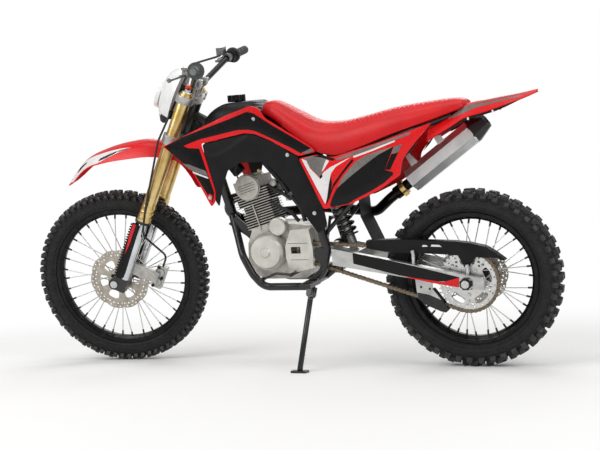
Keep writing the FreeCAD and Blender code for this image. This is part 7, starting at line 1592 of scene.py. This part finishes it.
# Rear axle, caliper and chain guard. The guard is a black moulding on two plated posts, with two
# screws and two short white marks.
cad_piece("rear_axle", zinc_plated, edge=1.0)
cad_piece("rear_caliper", cast_silver, edge=2.5)
guard = cad_piece("chain_guard", black_plastic, zinc_plated, edge=1.2)
GUARD_SIDE = -94.0
painted_faces(guard, lambda point: 1 if point.y < GUARD_SIDE - 0.6 else 0, PARKED)


def outer_side(made):
    """How far to the left a solid reaches on the upright bike."""
    upright = PARKED.inverted()
    return min((upright @ vertex.co / MM).y for vertex in made.data.vertices)


screws = [side_screw(x, z, outer_side(guard) + 0.4, 4.2, -1) for x, z in ((-188.0, 434.0), (4.0, 379.0))]
piece("chain_guard_screws", joined_forms(screws), "frame", [zinc_plated], sharp=30.0)
GUARD_MARKS = [[(-156, 450), (-150, 457), (-139, 456), (-134, 450)],
               [(-124, 450), (-119, 457), (-92, 455), (-84, 448)]]
marks = [sheet(mark, lambda x, z, lift: Vector((x, GUARD_SIDE - lift, z)), 0.0, 0.4) for mark in GUARD_MARKS]
piece("chain_guard_marks", joined_forms(marks), "frame", [white_film])

# Rear axle's end: a notched black washer under the nut.
NUT_SIDE = -126.0
WASHER_RADIUS = 22.0
WASHER_NOTCH = 2.5
WASHER_THICKNESS = 2.6
washer = []
for step in range(24):
    angle = 2 * math.pi * step / 24
    radius = WASHER_RADIUS if step % 3 else WASHER_RADIUS - WASHER_NOTCH
    washer.append(Vector((math.sin(angle) * radius, NUT_SIDE, REAR_RADIUS + math.cos(angle) * radius)))
outer_ring = [point - ACROSS * WASHER_THICKNESS for point in washer]
piece("axle_washer_left", skin([washer, outer_ring], capped=True), "frame", [phosphated], edge=0.5)

# Chain guide: a rubber block with an aluminium face plate and two black bolts.
GUIDE_PLATE_SIDE = -92.9
GUIDE_PLATE_LOW = 276.0
guide = cad_piece("chain_guide", nitrile_rubber, satin_alloy, edge=1.2)
painted_faces(guide, lambda point: 1 if point.y < GUIDE_PLATE_SIDE and point.z > GUIDE_PLATE_LOW else 0,
              PARKED)
bolts = [cross_pin(Vector((x, 0, z)), outer_side(guide) - 0.4, outer_side(guide) + 1.0, 4.4)
         for x, z in ((-168.0, 306.0), (-137.0, 299.0))]
piece("chain_guide_bolts", joined_forms(bolts), "frame", [phosphated])

# Shock absorber: a coil spring of black painted steel round a cast aluminium body, with the spring's
# seats and the eyes in the body's metal.
black_spring = material("black_painted_spring_steel", ("#111112", "#1a1a1b", 20.0), (0.22, 0.34, 6.0),
                        IOR=1.5, Coat_Weight=0.5, Coat_Roughness=0.12)
shock = cad_piece("rear_shock", black_spring, cast_silver)
SHOCK_TOP = Vector((-520, 0, 700))
SHOCK_FOOT = Vector((-440, 0, 446))
SHOCK_BODY_RADIUS = 25.0


def spring_or_body(point):
    run = SHOCK_FOOT - SHOCK_TOP
    share = (point - SHOCK_TOP).dot(run) / run.length_squared
    away = (point - SHOCK_TOP - run * share).length
    return 0 if away > SHOCK_BODY_RADIUS and 0.1 < share < 0.9 else 1


painted_faces(shock, spring_or_body, PARKED)

# Engine: air-cooled single. Its aluminium castings are silver painted, and the gaps between its fins
# are painted dark as the shade that falls in them. Covers are die-cast and smoother.
silver_casting = material("silver_painted_sand_casting", ("#b4b1a9", "#cbc8c0", 26.0), (0.38, 0.52, 5.0),
                          (0.14, 0.5, 1.4, 5.0, 0.65), Metallic=0.55)
cover_paint = material("silver_painted_die_casting", ("#c6c4bb", "#d6d4cc", 40.0), (0.30, 0.42, 8.0),
                       (0.06, 0.4, 1.6, 4.0), Metallic=0.6)
cad_piece("crankcase", silver_casting, edge=2.0)

# The roots and flat faces between the fins are painted dark, as the shade that falls deep in the gaps.
CRANK = Vector((-750.0, 0.0, 444.0))
CYLINDER_LEAN = math.radians(15.5)
BARREL_UP = Vector((-math.sin(CYLINDER_LEAN), 0, math.cos(CYLINDER_LEAN)))
BARREL_BACK = Vector((math.cos(CYLINDER_LEAN), 0, math.sin(CYLINDER_LEAN)))
FINS_TOP = 238.5
FIN_SIDE = 66.5
ROOT_HALF = 50.0
# Painted shade: a dark, dull casting colour that stands in for the shade in the fins' gaps, grooves and
# scribed lines.
painted_shade_casting = material("painted_shade_aluminium_casting", ("#24221f", "#37342f", 18.0), (0.6, 0.75, 5.0),
                         Metallic=0.2)
for name in ("cylinder", "cylinder_head"):
    made = cad_piece(name, silver_casting, painted_shade_casting, edge=0.5)
    upright = PARKED.inverted()
    for face in made.data.polygons:
        away = upright @ face.center / MM - CRANK
        flat = abs((upright.to_3x3() @ face.normal).dot(BARREL_UP)) > 0.9
        root = abs(away.y) < ROOT_HALF and abs(away.dot(BARREL_BACK)) < ROOT_HALF
        in_gap = away.dot(BARREL_UP) < FINS_TOP and abs(away.y) < FIN_SIDE and (flat or root)
        face.material_index = 1 if in_gap else 0
cad_piece("engine_covers", cover_paint, edge=1.6)
cad_piece("carburettor", cast_silver, edge=1.0)
cad_piece("air_box", black_plastic, edge=2.0)

# Dark blocks deep between the fins are painted shade, as dark as the painted roots. One silver rib runs up
# their left edge.
BARREL_FOOT = 96.0
HEAD_FOOT = 181.5
SHADE_BLOCK_GAP = 2.0


def on_cylinder(along, back, side=0.0):
    return CRANK + BARREL_UP * along + BARREL_BACK * back + ACROSS * side


FIN_GAP_SHADES = [(BARREL_FOOT, HEAD_FOOT, 102.0, 106.0), (HEAD_FOOT, FINS_TOP, 118.0, 130.0)]
gap_shade_blocks = [brick(on_cylinder((low + high) / 2, 0), BARREL_UP, ACROSS, (high - low - SHADE_BLOCK_GAP, wide, deep))
        for low, high, wide, deep in FIN_GAP_SHADES]
piece("fin_gap_shade_blocks", joined_forms(gap_shade_blocks), "frame", [painted_shade_casting], edge=1.0)
rib_foot, rib_top = Vector((-780.0, -60.0, 521.0)), Vector((-806.0, -64.0, 622.0))
rib_run = rib_top - rib_foot
piece("fin_rib", brick((rib_foot + rib_top) / 2, rib_run, ACROSS, (rib_run.length, 5.0, 4.5)), "frame",
      [silver_casting], edge=1.0)

# Cam cover: a turned cap with a raised rim and four cast grooves, each drawn as a thin dark strip painted as
# the groove's shade.
CAM_FACE = -78.0
CAM_RADIUS = 46.0
CAM_UP = 250.0
RIM_FOOT = -64.0
# How far below the cap's middle each groove lies, and half its length.
GROOVES = [(-12.0, 34.0), (-3.0, 37.0), (6.0, 36.0), (15.0, 33.0)]
cam_centre = on_cylinder(CAM_UP, 0.0)
grooves = []
for drop, half in GROOVES:
    middle = cam_centre - BARREL_UP * drop + ACROSS * (CAM_FACE - 0.1)
    grooves.append(brick(middle, BARREL_BACK, ACROSS, (2 * half, 0.8, 1.8)))
piece("cam_cover_groove_shades", joined_forms(grooves), "frame", [painted_shade_casting])
rim = [(0.0, CAM_RADIUS + 4.0), (8.0, CAM_RADIUS + 4.0), (9.0, CAM_RADIUS + 3.0), (9.0, CAM_RADIUS + 1.2),
       (4.0, CAM_RADIUS + 0.6)]
piece("cam_cover_rim", lathed(rim, cam_centre + ACROSS * RIM_FOOT, -ACROSS, 56), "frame", [silver_casting])

# Sprocket cover: two scribed lines across it, drawn as thin dark strips painted as their shade.
COVER_SIDE = -104.0
lines = []
for first, last, height in ((-662.0, -582.0, 475.0), (-655.0, -584.0, 414.0)):
    middle = Vector(((first + last) / 2, COVER_SIDE - 0.1, height))
    lines.append(brick(middle, (1, 0, 0), ACROSS, (last - first, 0.7, 1.6)))
piece("cover_line_shades", joined_forms(lines), "frame", [painted_shade_casting])

# Round the carburettor: breather and vent hoses of black rubber, its slide cap, a brass-coloured plug,
# and the ignition coil under the tank with its lead. Each hose: the places it runs through, its radius.
HOSES = [([(-759, -30, 775), (-725, -30, 734), (-692, -30, 692), (-671, -30, 654)], 11.0),
         ([(-742, -45, 682), (-692, -45, 657), (-655, -45, 632)], 7.0),
         ([(-728, -50, 618), (-692, -50, 600), (-657, -50, 582), (-630, -50, 549)], 7.0),
         ([(-654, -45, 644), (-621, -45, 597), (-607, -45, 548)], 8.0),
         ([(-852, -60, 774), (-864, -60, 752), (-860, -60, 729), (-846, -58, 700)], 3.0)]
hoses = [tube_along(curve_through([Vector(place) for place in places]), radius) for places, radius in HOSES]
piece("engine_hoses", joined_forms(hoses), "frame", [nitrile_rubber])
COIL = Vector((-876, -20, 752))
SLIDE_CAP = Vector((-726, -20, 697))
PLUG = Vector((-779, -32, 744))
piece("ignition_coil", brick(COIL, (0.8, 0, 0.6), ACROSS, (44.0, 34.0, 40.0)), "frame", [black_plastic],
      edge=4.0)
cap = [(0, 11.0), (20, 11.0), (20, 15.0), (25, 15.0), (26.5, 13.0)]
piece("carburettor_cap", lathed(cap, SLIDE_CAP, -ACROSS, 32), "frame", [cast_silver])
plug = [(0, 6.0), (9, 6.0), (9, 4.0), (14, 4.0), (15, 3.0)]
piece("brass_plug", lathed(plug, PLUG, -ACROSS, 6), "frame", [gold_anodised], sharp=25.0)

# Exhaust: a bent steel pipe, blackened by heat and soot, and a muffler with a brushed aluminium sleeve
# and riveted end caps.
heated_steel = material("heat_tinted_steel_pipe", ("#1c1a19", "#2e2926", 60.0), (0.28, 0.42, 8.0),
                        Metallic=1.0)
cad_piece("exhaust_pipe", heated_steel, edge=0.6)
BRUSH_LINES = (3.0, 3.0, 0.5, (0.06, 1.0, 0.12))
brushed_alloy = material("brushed_aluminium_sleeve", ("#d2d3d3", "#e3e4e4", 50.0),
                         (0.42, 0.56, *BRUSH_LINES), (0.03, 0.3, *BRUSH_LINES), Metallic=1.0)
black_enamel = material("black_enamelled_end_cap", ("#121212", "#1c1b1a", 24.0), (0.38, 0.5, 6.0),
                        IOR=1.5)
SLEEVE_FRONT = Vector((-222.0, 75.0, 668.0))
SLEEVE_REAR = Vector((9.0, 96.0, 833.0))
sleeve_run = (SLEEVE_REAR - SLEEVE_FRONT).normalized()
sleeve_length = (SLEEVE_REAR - SLEEVE_FRONT).length


def cap_or_sleeve(point):
    """The rear end cap is black, and what lies ahead of it is bare."""
    return 1 if (point - SLEEVE_FRONT).dot(sleeve_run) > sleeve_length + 0.5 else 0


muffler = cad_piece("muffler", brushed_alloy, black_enamel, edge=1.2)
painted_faces(muffler, cap_or_sleeve, PARKED)

# Rivets hold both end caps to the sleeve, and a gold-coloured clamp closes its joint with the pipe.
RIVET_COUNT = 12
RIVET_RADIUS = 3.2
RIVET = [(0, RIVET_RADIUS), (1.6, RIVET_RADIUS), (2.4, RIVET_RADIUS * 0.6)]
SLEEVE_HALF = 44.0
rivets = []
sleeve_out = (ACROSS - sleeve_run * sleeve_run.y).normalized()
sleeve_up = sleeve_run.cross(sleeve_out).normalized()
for along in (10.0, sleeve_length - 8.0):
    for turn in range(RIVET_COUNT):
        angle = 2 * math.pi * (turn + 0.5) / RIVET_COUNT
        outward = sleeve_out * math.cos(angle) + sleeve_up * math.sin(angle)
        start = SLEEVE_FRONT + sleeve_run * along + outward * (SLEEVE_HALF - 1.0)
        rivets.append(lathed(RIVET, start, outward, 12))
piece("muffler_rivets", joined_forms(rivets), "frame", [zinc_plated])
CLAMP_BACK = 52.0
clamp_foot = SLEEVE_FRONT - sleeve_run * CLAMP_BACK
clamp = [(0, 24.0), (0, 28.0), (1.0, 29.0), (19.0, 29.0), (20.0, 28.0), (20.0, 24.0)]
lug_middle = clamp_foot + sleeve_run * 10.0 - sleeve_out * 20.0 - sleeve_up * 26.0
lug = brick(lug_middle, sleeve_run, sleeve_out, (16.0, 12.0, 14.0))
piece("muffler_clamp", joined_forms([lathed(clamp, clamp_foot, sleeve_run, 40), lug]), "frame",
      [gold_anodised], edge=1.0)
